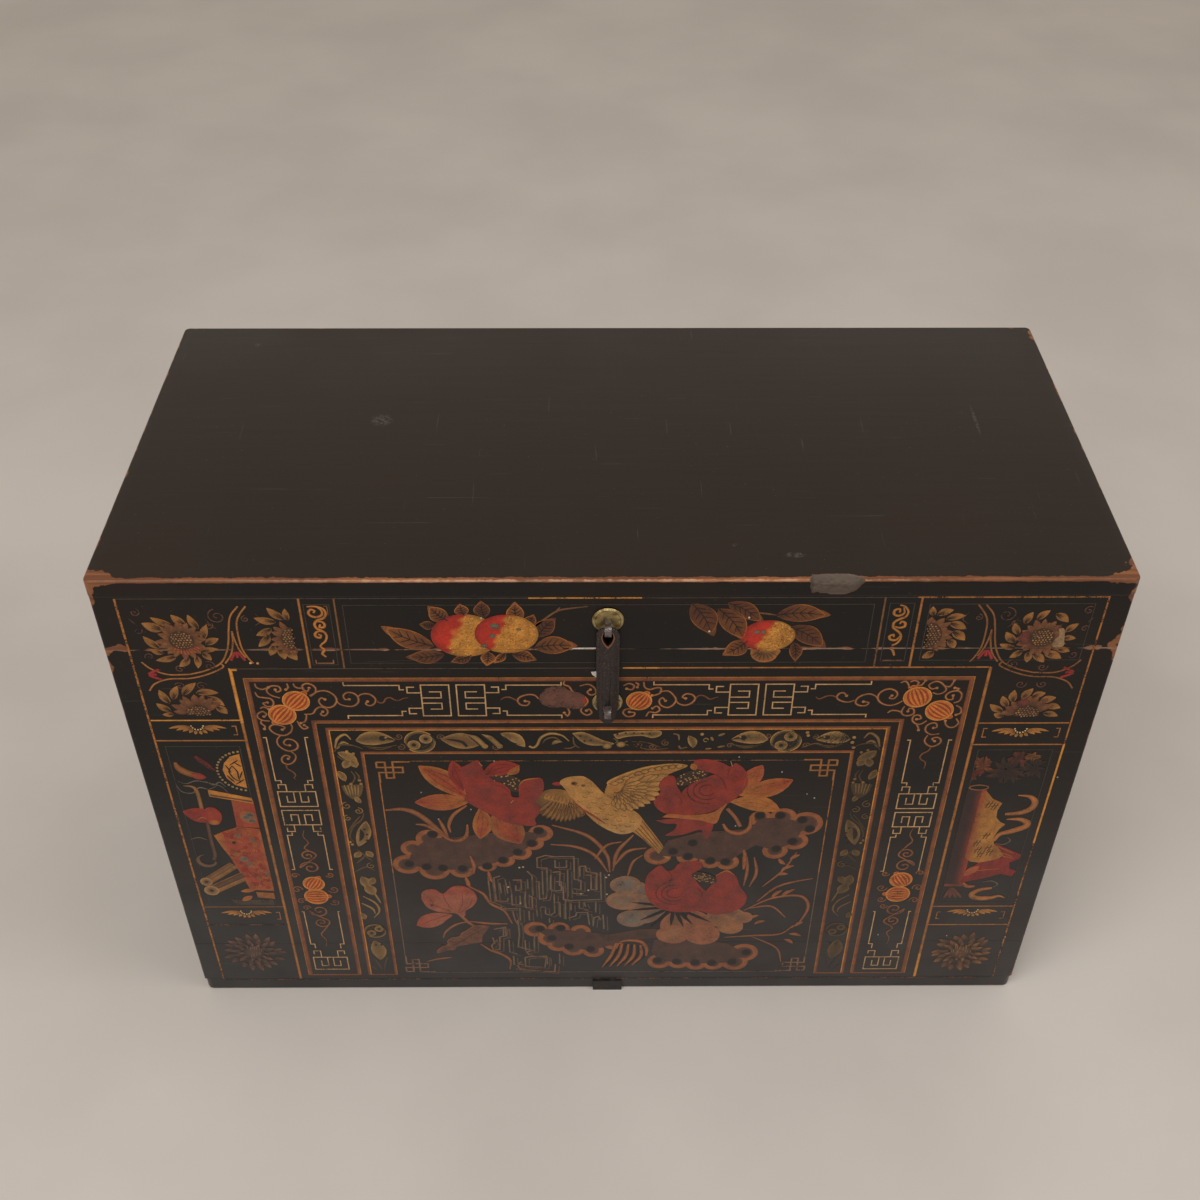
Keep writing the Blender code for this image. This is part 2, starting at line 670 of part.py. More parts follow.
def build_bails(iron):
    """Bail handles, their origins on the axes that they swing about"""
    for name, side in (("left", -1), ("right", 1)):
        curve = bail_curve()
        curve.materials.append(iron)
        bail = bpy.data.objects.new(f"{name}_bail", curve)
        bail.location = (side * (WIDTH / 2 + HANDLE_STAND_OFF), 0.0, HANDLE_HEIGHT)
        bail.rotation_euler = (0.0, 0.0, side * math.radians(90.0))
        bpy.context.scene.collection.objects.link(bail)


def main():
    """Build the trunk"""
    clear_scene()
    lacquer = finish("black_lacquer", (0.022, 0.016, 0.012), 0.35)
    bare_wood = finish("base_wood", (0.040, 0.030, 0.024), 0.6)
    iron = finish("wrought_iron", (0.035, 0.028, 0.024), 0.55, 0.8)
    brass = finish("aged_brass", (0.23, 0.17, 0.09), 0.42, 1.0)
    lid_axis = joint_empty("lid_hinge_axis", (0.0, HINGE_Y, LID_SEAM))
    build_case(lacquer, bare_wood, iron, brass)
    build_lid(lacquer, iron, brass, lid_axis)
    build_hinges(iron, lid_axis)
    build_hasp(iron, lid_axis)
    build_bails(iron)


main()
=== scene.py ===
"""Looks of an antique black lacquer trunk with a painted front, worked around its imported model"""

import math
import random

import bmesh
import bpy
from mathutils import Matrix, Vector, noise


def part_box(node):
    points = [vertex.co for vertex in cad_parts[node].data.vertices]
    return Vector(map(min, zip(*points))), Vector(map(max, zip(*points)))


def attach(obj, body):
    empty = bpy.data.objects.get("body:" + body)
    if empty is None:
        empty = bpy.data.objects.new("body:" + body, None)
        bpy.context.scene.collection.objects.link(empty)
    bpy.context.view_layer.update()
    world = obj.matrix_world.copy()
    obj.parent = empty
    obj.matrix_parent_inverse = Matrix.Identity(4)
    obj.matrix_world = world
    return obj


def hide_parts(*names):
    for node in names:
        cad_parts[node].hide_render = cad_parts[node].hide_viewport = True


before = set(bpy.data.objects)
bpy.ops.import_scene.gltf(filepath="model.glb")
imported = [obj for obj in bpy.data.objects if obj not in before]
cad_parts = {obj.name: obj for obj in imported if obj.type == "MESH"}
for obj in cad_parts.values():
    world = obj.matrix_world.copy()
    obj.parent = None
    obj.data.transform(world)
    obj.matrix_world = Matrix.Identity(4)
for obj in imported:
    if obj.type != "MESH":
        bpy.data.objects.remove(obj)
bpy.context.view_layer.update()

MM = 0.001
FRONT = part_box("front_plank")[0].y
CASE_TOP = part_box("front_plank")[1].z
LID_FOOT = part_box("lid_front_rim")[0].z
LID_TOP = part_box("lid_top_board")[1].z

# Camera: the photograph's standpoint, in metres and degrees
CAMERA_PLACE = (-0.0183, -1.1841, 1.4376)
CAMERA_DOWN = 40.99
CAMERA_ASIDE = 0.416
CAMERA_ROLL = 0.147
CAMERA_LENS = 43.29

# Stage, in metres
FLOOR_RADIUS = 7.0
WORLD_STRENGTH = 0.55
KEY_PLACE = (-1.1, -1.6, 2.9)
FILL_PLACE = (1.8, -0.6, 2.4)
LIGHT_AIM = (0.0, 0.0, 0.4)

# Paint: the first coat stands this far off the boards, each later one a little further
FIRST_COAT = 0.10 * MM
COAT = 0.05 * MM
LIFT_STEP = 0.003 * MM
LIFT_STEPS = 15
PAINT_DEPTH = 0.8 * MM
CURVE_STEP = 1.8
PETAL_CELLS = (8, 4)
DISC_CELLS = (24, 4)
OUTLINE = 0.7
# Lines are painted lighter along their middle and darker at their sides: partly the brush's soft edge,
# partly a painted highlight and painted shade on the raised paint
LINE_HIGHLIGHT = 1.18
LINE_SIDE_SHADE = 0.6
LEAF_RIM_WIDTH = 5.6
TENDRIL_KEEP = 0.94
TENDRIL_WIDTH = 2.6
FILL_CELL = 4.0 * MM
FILL_CUTS = 3


# Colours


def linear(level):
    """Linear value of an 8-bit screen level"""
    share = level / 255
    return share / 12.92 if share <= 0.04045 else ((share + 0.055) / 1.055) ** 2.4


def hue(red, green, blue, keep=0.92):
    """Paint colour from screen levels; keep is the share of the paint that is still there"""
    return (linear(red), linear(green), linear(blue), keep)


def worn(colour, keep):
    """The same colour with another share of it left"""
    return (*colour[:3], keep)


def mixed(first, second, share):
    """Colour between two others"""
    return tuple(a + (b - a) * share for a, b in zip(first, second))


def toned(colour, share):
    """The same paint, brighter or darker"""
    return (*(level * share for level in colour[:3]), colour[3])


GOLD = hue(206, 136, 52)
OLD_GOLD = hue(164, 104, 48)
DULL_GOLD = hue(120, 80, 46)
FRAME_BROWN = hue(126, 72, 40)
VINE_BROWN = hue(116, 70, 42)
VINE_LIGHT = hue(172, 114, 68)
MELON_GOLD = hue(200, 124, 50)
MELON_RIM = hue(188, 110, 44)
MELON_RIDGE = hue(228, 160, 84)
MELON_FURROW = hue(160, 58, 26)
FRET_GOLD = hue(196, 154, 106)
TAN = hue(152, 104, 54)
PETAL_GOLD = hue(168, 114, 54)
PETAL_BROWN = hue(104, 66, 40)
PETAL_RUST = hue(122, 72, 48)
PETAL_DARK = hue(38, 26, 20)
STRIPE_RED = hue(154, 48, 24)
LOTUS_RED = hue(142, 46, 32)
LOTUS_DEEP = hue(116, 34, 27)
SALMON = hue(158, 76, 46)
OCHRE = hue(162, 100, 44)
LEAF = hue(82, 56, 45)
LEAF_RIM = hue(150, 88, 50)
SPOT = hue(24, 19, 17)
BIRD = hue(170, 118, 56)
BIRD_DARK = hue(88, 60, 32)
FRUIT_RED = hue(178, 46, 30)
FRUIT_GOLD = hue(192, 129, 50)
DUSKY_RED = hue(120, 48, 40)
TWIG = hue(112, 76, 46)
REED = hue(140, 86, 52)
ROCK = hue(112, 94, 76)
BAND_GREEN = hue(96, 73, 42)
BAND_LIGHT = hue(160, 122, 70)
BAND_SHADE = hue(32, 26, 20)
PALE_PETAL = hue(142, 96, 66)
GREY_PETAL = hue(108, 98, 88)
CLOTH_RED = hue(132, 44, 36)
FAN_RED = hue(150, 44, 42)
PAPER = hue(146, 100, 56)
PALE_DOT = hue(204, 176, 124)
# White of bare gesso, also laid on as a painted highlight
GESSO_AND_HIGHLIGHT = hue(214, 206, 198, 1.0)
GREY_LINE = hue(104, 92, 78, 0.7)


# Drawing with a brush on the front, in millimetres from the middle of the floor under it


def smooth_run(points):
    """Points a short step apart on a smooth curve through the given ones"""
    marks = [Vector(p) for p in points]
    marks = [2 * marks[0] - marks[1]] + marks + [2 * marks[-1] - marks[-2]]
    run = []
    for before, start, stop, after in zip(marks, marks[1:], marks[2:], marks[3:]):
        parts = max(2, math.ceil((stop - start).length / CURVE_STEP))
        bend = 2 * before - 5 * start + 4 * stop - after
        twist = 3 * start - before - 3 * stop + after
        for part in range(parts):
            x = part / parts
            run.append(0.5 * (2 * start + (stop - before) * x + bend * x**2 + twist * x**3))
    run.append(marks[-2])
    return run


def ray(centre, radius, degrees):
    """Point at a distance and an angle from a centre"""
    angle = math.radians(degrees)
    return (centre[0] + radius * math.cos(angle), centre[1] + radius * math.sin(angle))


def left_of(way):
    """The same step turned a quarter to the left"""
    return Vector((-way.y, way.x))


def clipped(value):
    """Value held between 0 and 1"""
    return min(1.0, max(0.0, value))


def waver(x, y, z):
    """Smooth noise at a place"""
    return noise.noise(Vector((x, y, z)))


def arc_run(centre, radius, start, stop, count=24):
    """Points on an arc, angles in degrees"""
    turns = [math.radians(start + (stop - start) * i / count) for i in range(count + 1)]
    return [(centre[0] + radius * math.cos(a), centre[1] + radius * math.sin(a)) for a in turns]


def rectangle(left, bottom, right, top):
    """Closed outline that starts at the middle of its bottom side"""
    middle = ((left + right) / 2, bottom)
    return [middle, (right, bottom), (right, top), (left, top), (left, bottom), middle]


def mitred_sides(path):
    """Unit step to the left at each point of a path, longer at a corner so that the line keeps its width"""
    sides = []
    for at, point in enumerate(path):
        before = point - path[at - 1] if at else path[1] - point
        after = path[at + 1] - point if at + 1 < len(path) else before
        before = before.normalized()
        after = after.normalized()
        way = (before + after).normalized() if (before + after).length > 1e-6 else before
        stretch = min(2.0, 1 / max(0.5, way.dot(after)))
        sides.append(left_of(way) * stretch)
    return sides


def nearest_on(spine, point):
    """Nearest point to another on a run of straight stretches, or on its only point"""
    best = Vector(spine[0])
    for start, stop in zip(spine, spine[1:]):
        start = Vector(start)
        way = Vector(stop) - start
        share = clipped((point - start).dot(way) / way.length_squared)
        here = start + way * share
        if (here - point).length < (best - point).length:
            best = here
    return best


class PaintedSheet:
    """Flat patches of paint, each corner with its own colour and share of wear"""

    def __init__(self):
        self.mesh = bmesh.new()
        self.paint = self.mesh.verts.layers.float_color.new("paint")
        self.laid = 0

    def level(self, coat):
        """How far forward the next patch lies, a hair more than the last, so that no two share a plane"""
        self.laid += 1
        return FRONT - FIRST_COAT - coat * COAT - (self.laid % LIFT_STEPS) * LIFT_STEP

    def dab(self, vert, place, tint, level):
        """Moves one vertex to its place on the front and colours it"""
        vert.co = (place[0] * MM, level, place[1] * MM)
        vert[self.paint] = tint

    def patch(self, along, across, place, tint, coat):
        """Grid of paint laid out by place(s, t) and coloured by tint(s, t), both shares from 0 to 1"""
        grid = bmesh.ops.create_grid(self.mesh, x_segments=along, y_segments=across, size=0.5)
        level = self.level(coat)
        for vert in grid["verts"]:
            s, t = vert.co.x + 0.5, vert.co.y + 0.5
            self.dab(vert, place(s, t), tint(s, t), level)
        return grid["verts"]

    def line(self, points, width, tint, coat=1, taper=(1.0, 1.0), smooth=True):
        """Brush line along the points, thinner towards its ends by taper, with a painted highlight along its
        middle and painted shade towards its sides
        """
        path = smooth_run(points) if smooth else [Vector(p) for p in points]
        last = len(path) - 1
        sides = mitred_sides(path)
        # Painted highlight along the middle, painted shade at the sides
        lit_middle = toned(tint, LINE_HIGHLIGHT)
        side = toned(tint, LINE_SIDE_SHADE)

        def place(s, t):
            at = round(s * last)
            start = taper[0] + (1 - taper[0]) * min(1.0, s / 0.35)
            stop = taper[1] + (1 - taper[1]) * min(1.0, (1 - s) / 0.35)
            return path[at] + sides[at] * (width * start * stop * (t - 0.5))

        self.patch(last, 2, place, lambda s, t: mixed(lit_middle, side, abs(2 * t - 1)), coat)

    def rule(self, points, width, tint, coat=1, taper=(1.0, 1.0)):
        """Brush line of straight stretches"""
        self.line(points, width, tint, coat, taper, False)

    def petal(self, base, tip, width, tints, coat=2, bend=0.0, belly=1.0, outline=None):
        """Leaf-shaped dab from base to tip; tints are root, tip and edge; belly moves its widest place"""
        base = Vector(base)
        axis = Vector(tip) - base
        across = left_of(axis) / axis.length
        root, end, edge = tints

        def place(s, t):
            spine = base + axis * s + across * (4 * bend * axis.length * s * (1 - s))
            half = width / 2 * max(0.02, math.sin(math.pi * s**belly)) ** 0.75
            return spine + across * half * (2 * t - 1)

        def tint(s, t):
            return mixed(mixed(root, end, s), edge, (2 * abs(t - 0.5)) ** 2)

        self.patch(*PETAL_CELLS, place, tint, coat)
        if outline:
            steps = [i / PETAL_CELLS[0] for i in range(PETAL_CELLS[0] + 1)]
            rim = [place(s, 1) for s in steps] + [place(s, 0) for s in reversed(steps)][1:]
            self.rule(rim, OUTLINE, outline, coat + 1)

    def disc(self, centre, size, tints, coat=2, turn=0.0, lobes=0, depth=0.0, fall=2):
        """Round dab of half-sizes size, coloured from its middle to its rim; lobes scallop the rim"""
        ahead = Vector(ray((0, 0), 1, turn))
        aside = left_of(ahead)

        def place(s, t):
            angle = 2 * math.pi * s
            reach = t * (1 + depth * abs(math.sin(lobes * angle / 2)) - depth)
            out = ahead * (size[0] * math.cos(angle)) + aside * (size[1] * math.sin(angle))
            return Vector(centre) + out * reach

        verts = self.patch(*DISC_CELLS, place, lambda s, t: mixed(*tints, t**fall), coat)
        bmesh.ops.remove_doubles(self.mesh, verts=verts, dist=1e-6)

    def shape(self, outline, spine, tint, coat=2, rings=4, smooth=True):
        """Closed outline filled towards its spine, coloured by tint(place, distance in from the rim)"""
        rim = smooth_run(outline + outline[:1]) if smooth else [Vector(p) for p in outline + outline[:1]]
        inner = [nearest_on(spine, point) for point in rim]
        last = len(rim) - 1

        def place(s, t):
            at = round(s * last)
            return rim[at].lerp(inner[at], (1 - t) ** 1.6)

        def colour(s, t):
            here = place(s, t)
            return tint(here, (rim[round(s * last)] - here).length)

        verts = self.patch(last, rings, place, colour, coat)
        bmesh.ops.remove_doubles(self.mesh, verts=verts, dist=1e-6)

    def fill(self, outline, tint, coat=2, smooth=True):
        """Closed outline of any shape filled with small triangles, coloured by tint(place)"""
        rim = smooth_run(outline + outline[:1])[:-1] if smooth else [Vector(p) for p in outline]
        ring = bmesh.ops.create_circle(self.mesh, cap_ends=True, segments=len(rim), radius=1.0)
        order = sorted(ring["verts"], key=lambda v: math.atan2(v.co.y, v.co.x))
        level = self.level(coat)
        for vert, place in zip(order, rim):
            self.dab(vert, place, tint(place), level)
        whole = list({face for vert in order for face in vert.link_faces})
        for face in whole:
            face.normal_update()
        faces = bmesh.ops.triangulate(self.mesh, faces=whole)["faces"]
        edges = list({edge for face in faces for edge in face.edges if edge.calc_length() > FILL_CELL})
        made = bmesh.ops.subdivide_edges(self.mesh, edges=edges, cuts=FILL_CUTS, use_grid_fill=True)
        for vert in {part for part in made["geom_inner"] if isinstance(part, bmesh.types.BMVert)}:
            place = Vector((vert.co.x / MM, vert.co.z / MM))
            self.dab(vert, place, tint(place), level)

    def field(self, outline, tint, coat=2):
        """Filled outline coloured by tint(u, v)"""
        ring = bmesh.ops.create_circle(self.mesh, cap_ends=True, segments=len(outline), radius=1.0)
        order = sorted(ring["verts"], key=lambda v: math.atan2(v.co.y, v.co.x))
        level = self.level(coat)
        for vert, place in zip(order, outline):
            self.dab(vert, place, tint(*place), level)

    def dots(self, places, radius, tint, coat=3):
        """Small round touches"""
        for place in places:
            ring = bmesh.ops.create_circle(self.mesh, cap_ends=True, segments=7, radius=radius)
            level = self.level(coat)
            for vert in ring["verts"]:
                self.dab(vert, (place[0] + vert.co.x, place[1] + vert.co.y), tint, level)

    def hang(self, name):
        """Cuts the paint at the lid's seam and hangs each half on the body that carries it"""
        for body, seam, lid_half in (("lid", LID_FOOT, True), ("case", CASE_TOP, False)):
            half = self.mesh.copy()
            bmesh.ops.bisect_plane(
                half, geom=half.verts[:] + half.edges[:] + half.faces[:], dist=1e-7, plane_co=(0, 0, seam),
                plane_no=(0, 0, 1), clear_inner=lid_half, clear_outer=not lid_half
            )
            if not half.faces:
                half.free()
                continue
            half.normal_update()
            bmesh.ops.triangulate(half, faces=half.faces[:])
            bmesh.ops.dissolve_degenerate(half, dist=1e-7, edges=half.edges[:])
            half.normal_update()
            turned = [face for face in half.faces if face.normal.y > 0]
            bmesh.ops.reverse_faces(half, faces=turned)
            painted_piece(half, f"{body}_{name}", body)
        self.mesh.free()


def linked_piece(mesh, name, kinds):
    """Object made from a bmesh, which is freed, with the materials of some kinds"""
    data = bpy.data.meshes.new(name)
    mesh.to_mesh(data)
    mesh.free()
    for kind in kinds:
        data.materials.append(materials[kind])
    piece = bpy.data.objects.new(name, data)
    bpy.context.scene.collection.objects.link(piece)
    return piece


def painted_piece(mesh, name, body):
    """Object of painted patches with the paint's thickness, riding on a body"""
    piece = linked_piece(mesh, name, ["painted"])
    shell = piece.modifiers.new("paint_depth", "SOLIDIFY")
    shell.thickness = PAINT_DEPTH
    shell.offset = -1
    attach(piece, body)


# Shader building


def add(tree, kind, inputs=None, **settings):
    """New node with its settings, and its inputs linked or set"""
    made = tree.nodes.new(kind)
    for name, value in settings.items():
        setattr(made, name, value)
    for name, value in (inputs or {}).items():
        if isinstance(value, bpy.types.NodeSocket):
            tree.links.new(value, made.inputs[name])
        else:
            made.inputs[name].default_value = value
    return made


def calc(operation, first, second=0.0):
    """Output of one math node, in the tree that its sockets belong to"""
    tree = (first if isinstance(first, bpy.types.NodeSocket) else second).id_data
    return add(tree, "ShaderNodeMath", {0: first, 1: second}, operation=operation).outputs[0]


def times(first, second):
    """Product of two values"""
    return calc("MULTIPLY", first, second)


def plus(first, second):
    """Sum of two values"""
    return calc("ADD", first, second)


def minus(first, second):
    """Difference of two values"""
    return calc("SUBTRACT", first, second)


def larger(first, second):
    """The larger of two values"""
    return calc("MAXIMUM", first, second)


def smaller(first, second):
    """The smaller of two values"""
    return calc("MINIMUM", first, second)


def on_vectors(operation, first, second=(0.0, 0.0, 0.0)):
    """Result of one vector math node"""
    return add(first.id_data, "ShaderNodeVectorMath", {0: first, 1: second}, operation=operation).outputs


def axes(vector):
    """X, Y and Z of a vector"""
    return add(vector.id_data, "ShaderNodeSeparateXYZ", {0: vector}).outputs


def ramp(value, low, high, to_low=0.0, to_high=1.0):
    """Value carried smoothly from one range to another"""
    limits = {"Value": value, "From Min": low, "From Max": high, "To Min": to_low, "To Max": to_high}
    return add(
        value.id_data, "ShaderNodeMapRange", limits, interpolation_type="SMOOTHSTEP"
    ).outputs["Result"]


def blend(share, first, second):
    """Colour mixed between two others"""
    return add(share.id_data, "ShaderNodeMix", {0: share, 6: first, 7: second}, data_type="RGBA").outputs[2]


def cloud(place, scale, detail=4.0, stretch=(1.0, 1.0, 1.0), turn=0.0):
    """Noise value at a place, stretched and turned about the vertical"""
    tree = place.id_data
    if stretch != (1.0, 1.0, 1.0) or turn:
        change = {"Vector": place, "Scale": stretch, "Rotation": (0.0, 0.0, turn)}
        place = add(tree, "ShaderNodeMapping", change).outputs["Vector"]
    return add(
        tree, "ShaderNodeTexNoise", {"Vector": place, "Scale": scale, "Detail": detail}
    ).outputs["Fac"]


def new_group(name, inputs, outputs):
    """Empty shader group with its sockets; gives the tree, its inputs, its output node and the place"""
    tree = bpy.data.node_groups.new(name, "ShaderNodeTree")
    for label, kind in inputs:
        tree.interface.new_socket(label, in_out="INPUT", socket_type=kind)
    for label, kind in outputs:
        tree.interface.new_socket(label, in_out="OUTPUT", socket_type=kind)
    source = tree.nodes.new("NodeGroupInput")
    result = tree.nodes.new("NodeGroupOutput")
    place = tree.nodes.new("ShaderNodeTexCoord").outputs["Object"]
    return tree, source.outputs, result, place


def finish_group(tree, result, outputs):
    """Links the named values to a group's outputs"""
    for label, value in outputs.items():
        tree.links.new(value, result.inputs[label])
    return tree


def edge_rub_and_highlight_group():
    """Where a box-shaped body is rubbed bare along its edges and its seam, where its outer skin is, and
    where painted highlights lie on its front top arris and on the seam's lips
    """
    tree, given, result, place = new_group(
        "edge_rub_and_highlight",
        [("Centre", "NodeSocketVector"), ("Half Size", "NodeSocketVector"), ("Width", "NodeSocketFloat"),
         ("Front Top Width", "NodeSocketFloat"), ("Seam Level", "NodeSocketFloat"),
         ("Seam Width", "NodeSocketFloat")],
        [("Rub", "NodeSocketFloat"), ("Skin", "NodeSocketFloat"), ("Lip Highlight", "NodeSocketFloat"),
         ("Crest Highlight", "NodeSocketFloat")]
    )
    from_middle = on_vectors("SUBTRACT", place, given["Centre"])[0]
    away = on_vectors("SUBTRACT", on_vectors("ABSOLUTE", from_middle)[0], given["Half Size"])[0]
    x, y, z = axes(away)
    largest = larger(larger(x, y), z)
    least = smaller(smaller(x, y), z)
    total = plus(plus(x, y), z)
    middle = minus(minus(total, largest), least)
    ragged = ramp(cloud(place, 55.0, 8.0), 0.36, 0.72)
    corner = ramp(least, -0.045, 0.0, 1.0, 4.0)
    reach = times(times(given["Width"], corner), ragged)
    rub = ramp(plus(middle, reach), 0.0, 0.0012)

    # The front top arris is bare all along, wider on top than in front, and most of all at its two ends
    sides = axes(from_middle)
    deep = axes(given["Half Size"])
    front = minus(times(sides["Y"], -1.0), deep["Y"])
    below = plus(minus(sides["Z"], deep["Z"]), ARRIS_ROUND)
    top = times(smaller(below, 0.0), ARRIS_SLOPE)
    from_arris = smaller(front, top)
    end = ramp(x, -0.034, -0.004, 1.0, 7.0)
    fine = ramp(cloud(place, 210.0, 4.0), 0.3, 0.7, 0.7, 1.3)
    uneven = times(plus(times(ragged, 0.7), 0.6), fine)
    bare = times(times(given["Front Top Width"], end), uneven)
    bare = plus(bare, given["Front Top Width"])
    arris = ramp(plus(from_arris, bare), 0.0, SOFT_EDGE)
    rub = larger(rub, arris)
    # Painted highlight along the crest of the front top arris, strongest near the middle of the front
    crest = ramp(plus(from_arris, times(fine, CREST_HIGHLIGHT_WIDTH)), 0.0, SOFT_EDGE)
    aside = calc("ABSOLUTE", sides["X"])
    crest = times(crest, ramp(aside, 0.14, 0.36, 1.0, 0.15))
    crest = times(crest, ramp(cloud(place, 90.0, 3.0), 0.35, 0.6, 0.3, 1.0))

    # Both lips of the seam between lid and case are rubbed too, and painted pale there as a highlight on
    # their edges
    gap = axes(place)["Z"]
    gap = calc("ABSOLUTE", minus(gap, given["Seam Level"]))
    broken = ramp(cloud(place, 34.0, 5.0), 0.36, 0.62, 0.1, 1.5)
    lip = minus(times(given["Seam Width"], broken), gap)
    lip = times(ramp(lip, 0.0, 0.0005), ramp(front, -0.006, -0.002))
    skin = ramp(largest, -0.0045, -0.0035)
    return finish_group(tree, result, {"Rub": rub, "Skin": skin, "Lip Highlight": lip, "Crest Highlight": crest})


def low_paling_group():
    """Share by which the trunk turns paler and greyer towards its foot, in patches"""
    tree, _, result, place = new_group("low_paling", [], [("Paling", "NodeSocketFloat")])
    height = axes(place)["Z"]
    patchy = ramp(cloud(place, 18.0, 5.0), 0.2, 0.8, 0.75, 1.2)
    paling = times(ramp(height, 0.46, 0.02), patchy)
    return finish_group(tree, result, {"Paling": paling})


TOP_SCUFFS = (
    ((-0.230, 0.034, LID_TOP), (0.014, 0.013, 0.01)), ((0.369, 0.032, LID_TOP), (0.0022, 0.034, 0.01)),
    ((0.164, -0.182, LID_TOP), (0.012, 0.005, 0.01)), ((0.111, -0.168, LID_TOP), (0.003, 0.003, 0.01)),
    ((-0.380, 0.179, LID_TOP), (0.005, 0.004, 0.01))
)


def handling_group():
    """Marks that years of use leave on lacquer: smudges, specks and scratches, and scuffs on the top"""
    tree, _, result, place = new_group(
        "handling", [],
        [("Smudge", "NodeSocketFloat"), ("Specks", "NodeSocketFloat"), ("Scratches", "NodeSocketFloat")]
    )
    smudge = ramp(cloud(place, 7.0, 6.0), 0.35, 0.7)
    specks = ramp(cloud(place, 420.0, 2.0), 0.735, 0.78)
    along = ramp(cloud(place, 1.0, 2.0, (9.0, 420.0, 420.0), 0.35), 0.73, 0.76)
    across = ramp(cloud(place, 1.0, 2.0, (420.0, 11.0, 420.0), 0.2), 0.735, 0.765)
    scratches = larger(along, across)
    ragged = ramp(cloud(place, 300.0, 4.0), 0.4, 0.6)
    for centre, half in TOP_SCUFFS:
        away = on_vectors("DIVIDE", on_vectors("SUBTRACT", place, centre)[0], half)[0]
        length = on_vectors("LENGTH", away)["Value"]
        scuff = times(ramp(length, 1.0, 0.4, 0.0, 1.6), ragged)
        scratches = larger(scratches, scuff)
    return finish_group(tree, result, {"Smudge": smudge, "Specks": specks, "Scratches": scratches})


def wood_group():
    """Straight-grained softwood with its grain along X, or along Y where Turned is 1"""
    tree, given, result, place = new_group(
        "softwood",
        [("Early Wood", "NodeSocketColor"), ("Late Wood", "NodeSocketColor"),
         ("Turned", "NodeSocketFloat")],
        [("Colour", "NodeSocketColor"), ("Grain", "NodeSocketFloat")]
    )
    x, y, z = axes(place)
    across = add(tree, "ShaderNodeCombineXYZ", {0: y, 1: x, 2: z}).outputs[0]
    place = blend(given["Turned"], place, across)
    rings = cloud(place, 1.0, 3.0, (2.2, 60.0, 38.0))
    fibre = cloud(place, 1.0, 4.0, (14.0, 700.0, 700.0))
    bands = calc("SINE", times(rings, 34.0))
    grain = plus(ramp(bands, -1.0, 1.0, 0.0, 0.6), times(fibre, 0.4))
    tone = blend(grain, given["Early Wood"], given["Late Wood"])
    return finish_group(tree, result, {"Colour": tone, "Grain": grain})


def place_group(tree, name, inputs=None):
    """Places a shared group in a material and gives its outputs"""
    return add(tree, "ShaderNodeGroup", inputs, node_tree=groups[name]).outputs


def new_material(name):
    """Node material; gives it with its tree, its shader and its Object coordinates"""
    made = bpy.data.materials.new(name)
    made.use_nodes = True
    tree = made.node_tree
    shader = tree.nodes["Principled BSDF"]
    place = tree.nodes.new("ShaderNodeTexCoord").outputs["Object"]
    return made, tree, shader, place


def lift(shader, height, distance, strength):
    """Small relief on a surface"""
    tree = height.id_data
    bump = add(tree, "ShaderNodeBump", {"Height": height, "Distance": distance, "Strength": strength})
    tree.links.new(bump.outputs["Normal"], shader.inputs["Normal"])


LACQUER_BLACK = hue(12, 9, 6, 1.0)
LACQUER_BROWN = hue(26, 16, 9, 1.0)
PALE_GREY = hue(144, 142, 142, 1.0)
# Pale wood of the seam's lips, painted as their highlight
SEAM_HIGHLIGHT = hue(156, 130, 114, 1.0)
SEAM_HIGHLIGHT_GRAIN = hue(120, 88, 70, 1.0)
# Pale wood of the arris crest, a painted highlight
CREST_HIGHLIGHT = hue(216, 172, 140, 1.0)
RUBBED_WOOD = hue(146, 93, 58, 1.0)
RUBBED_DARK = hue(98, 57, 36, 1.0)
INNER_EARLY = hue(170, 128, 86, 1.0)
INNER_LATE = hue(124, 84, 52, 1.0)
SCAR_GREY = hue(104, 92, 82, 1.0)
SCAR_DARK = hue(70, 58, 50, 1.0)
# Browner film of the top face, a painted sheen
TOP_SHEEN = hue(44, 33, 24, 1.0)
LOW_PALING_SHARE = 0.14
SCRATCH_SHARE = 0.10
SPECK_SHARE = 0.22
CREST_HIGHLIGHT_SHARE = 0.62
SEAM_WIDTH = 0.55 * MM
ARRIS_ROUND = 1.8 * MM
ARRIS_SLOPE = 3.5
CREST_HIGHLIGHT_WIDTH = 1.5 * MM
SOFT_EDGE = 0.7 * MM
LID_RUB = 3.2 * MM
LID_ARRIS = 2.2 * MM
CASE_RUB = 2.2 * MM
PAINT_PALING_SHARE = 0.07
LACQUER_SHINE = 0.27
PAINT_SHINE = 0.3


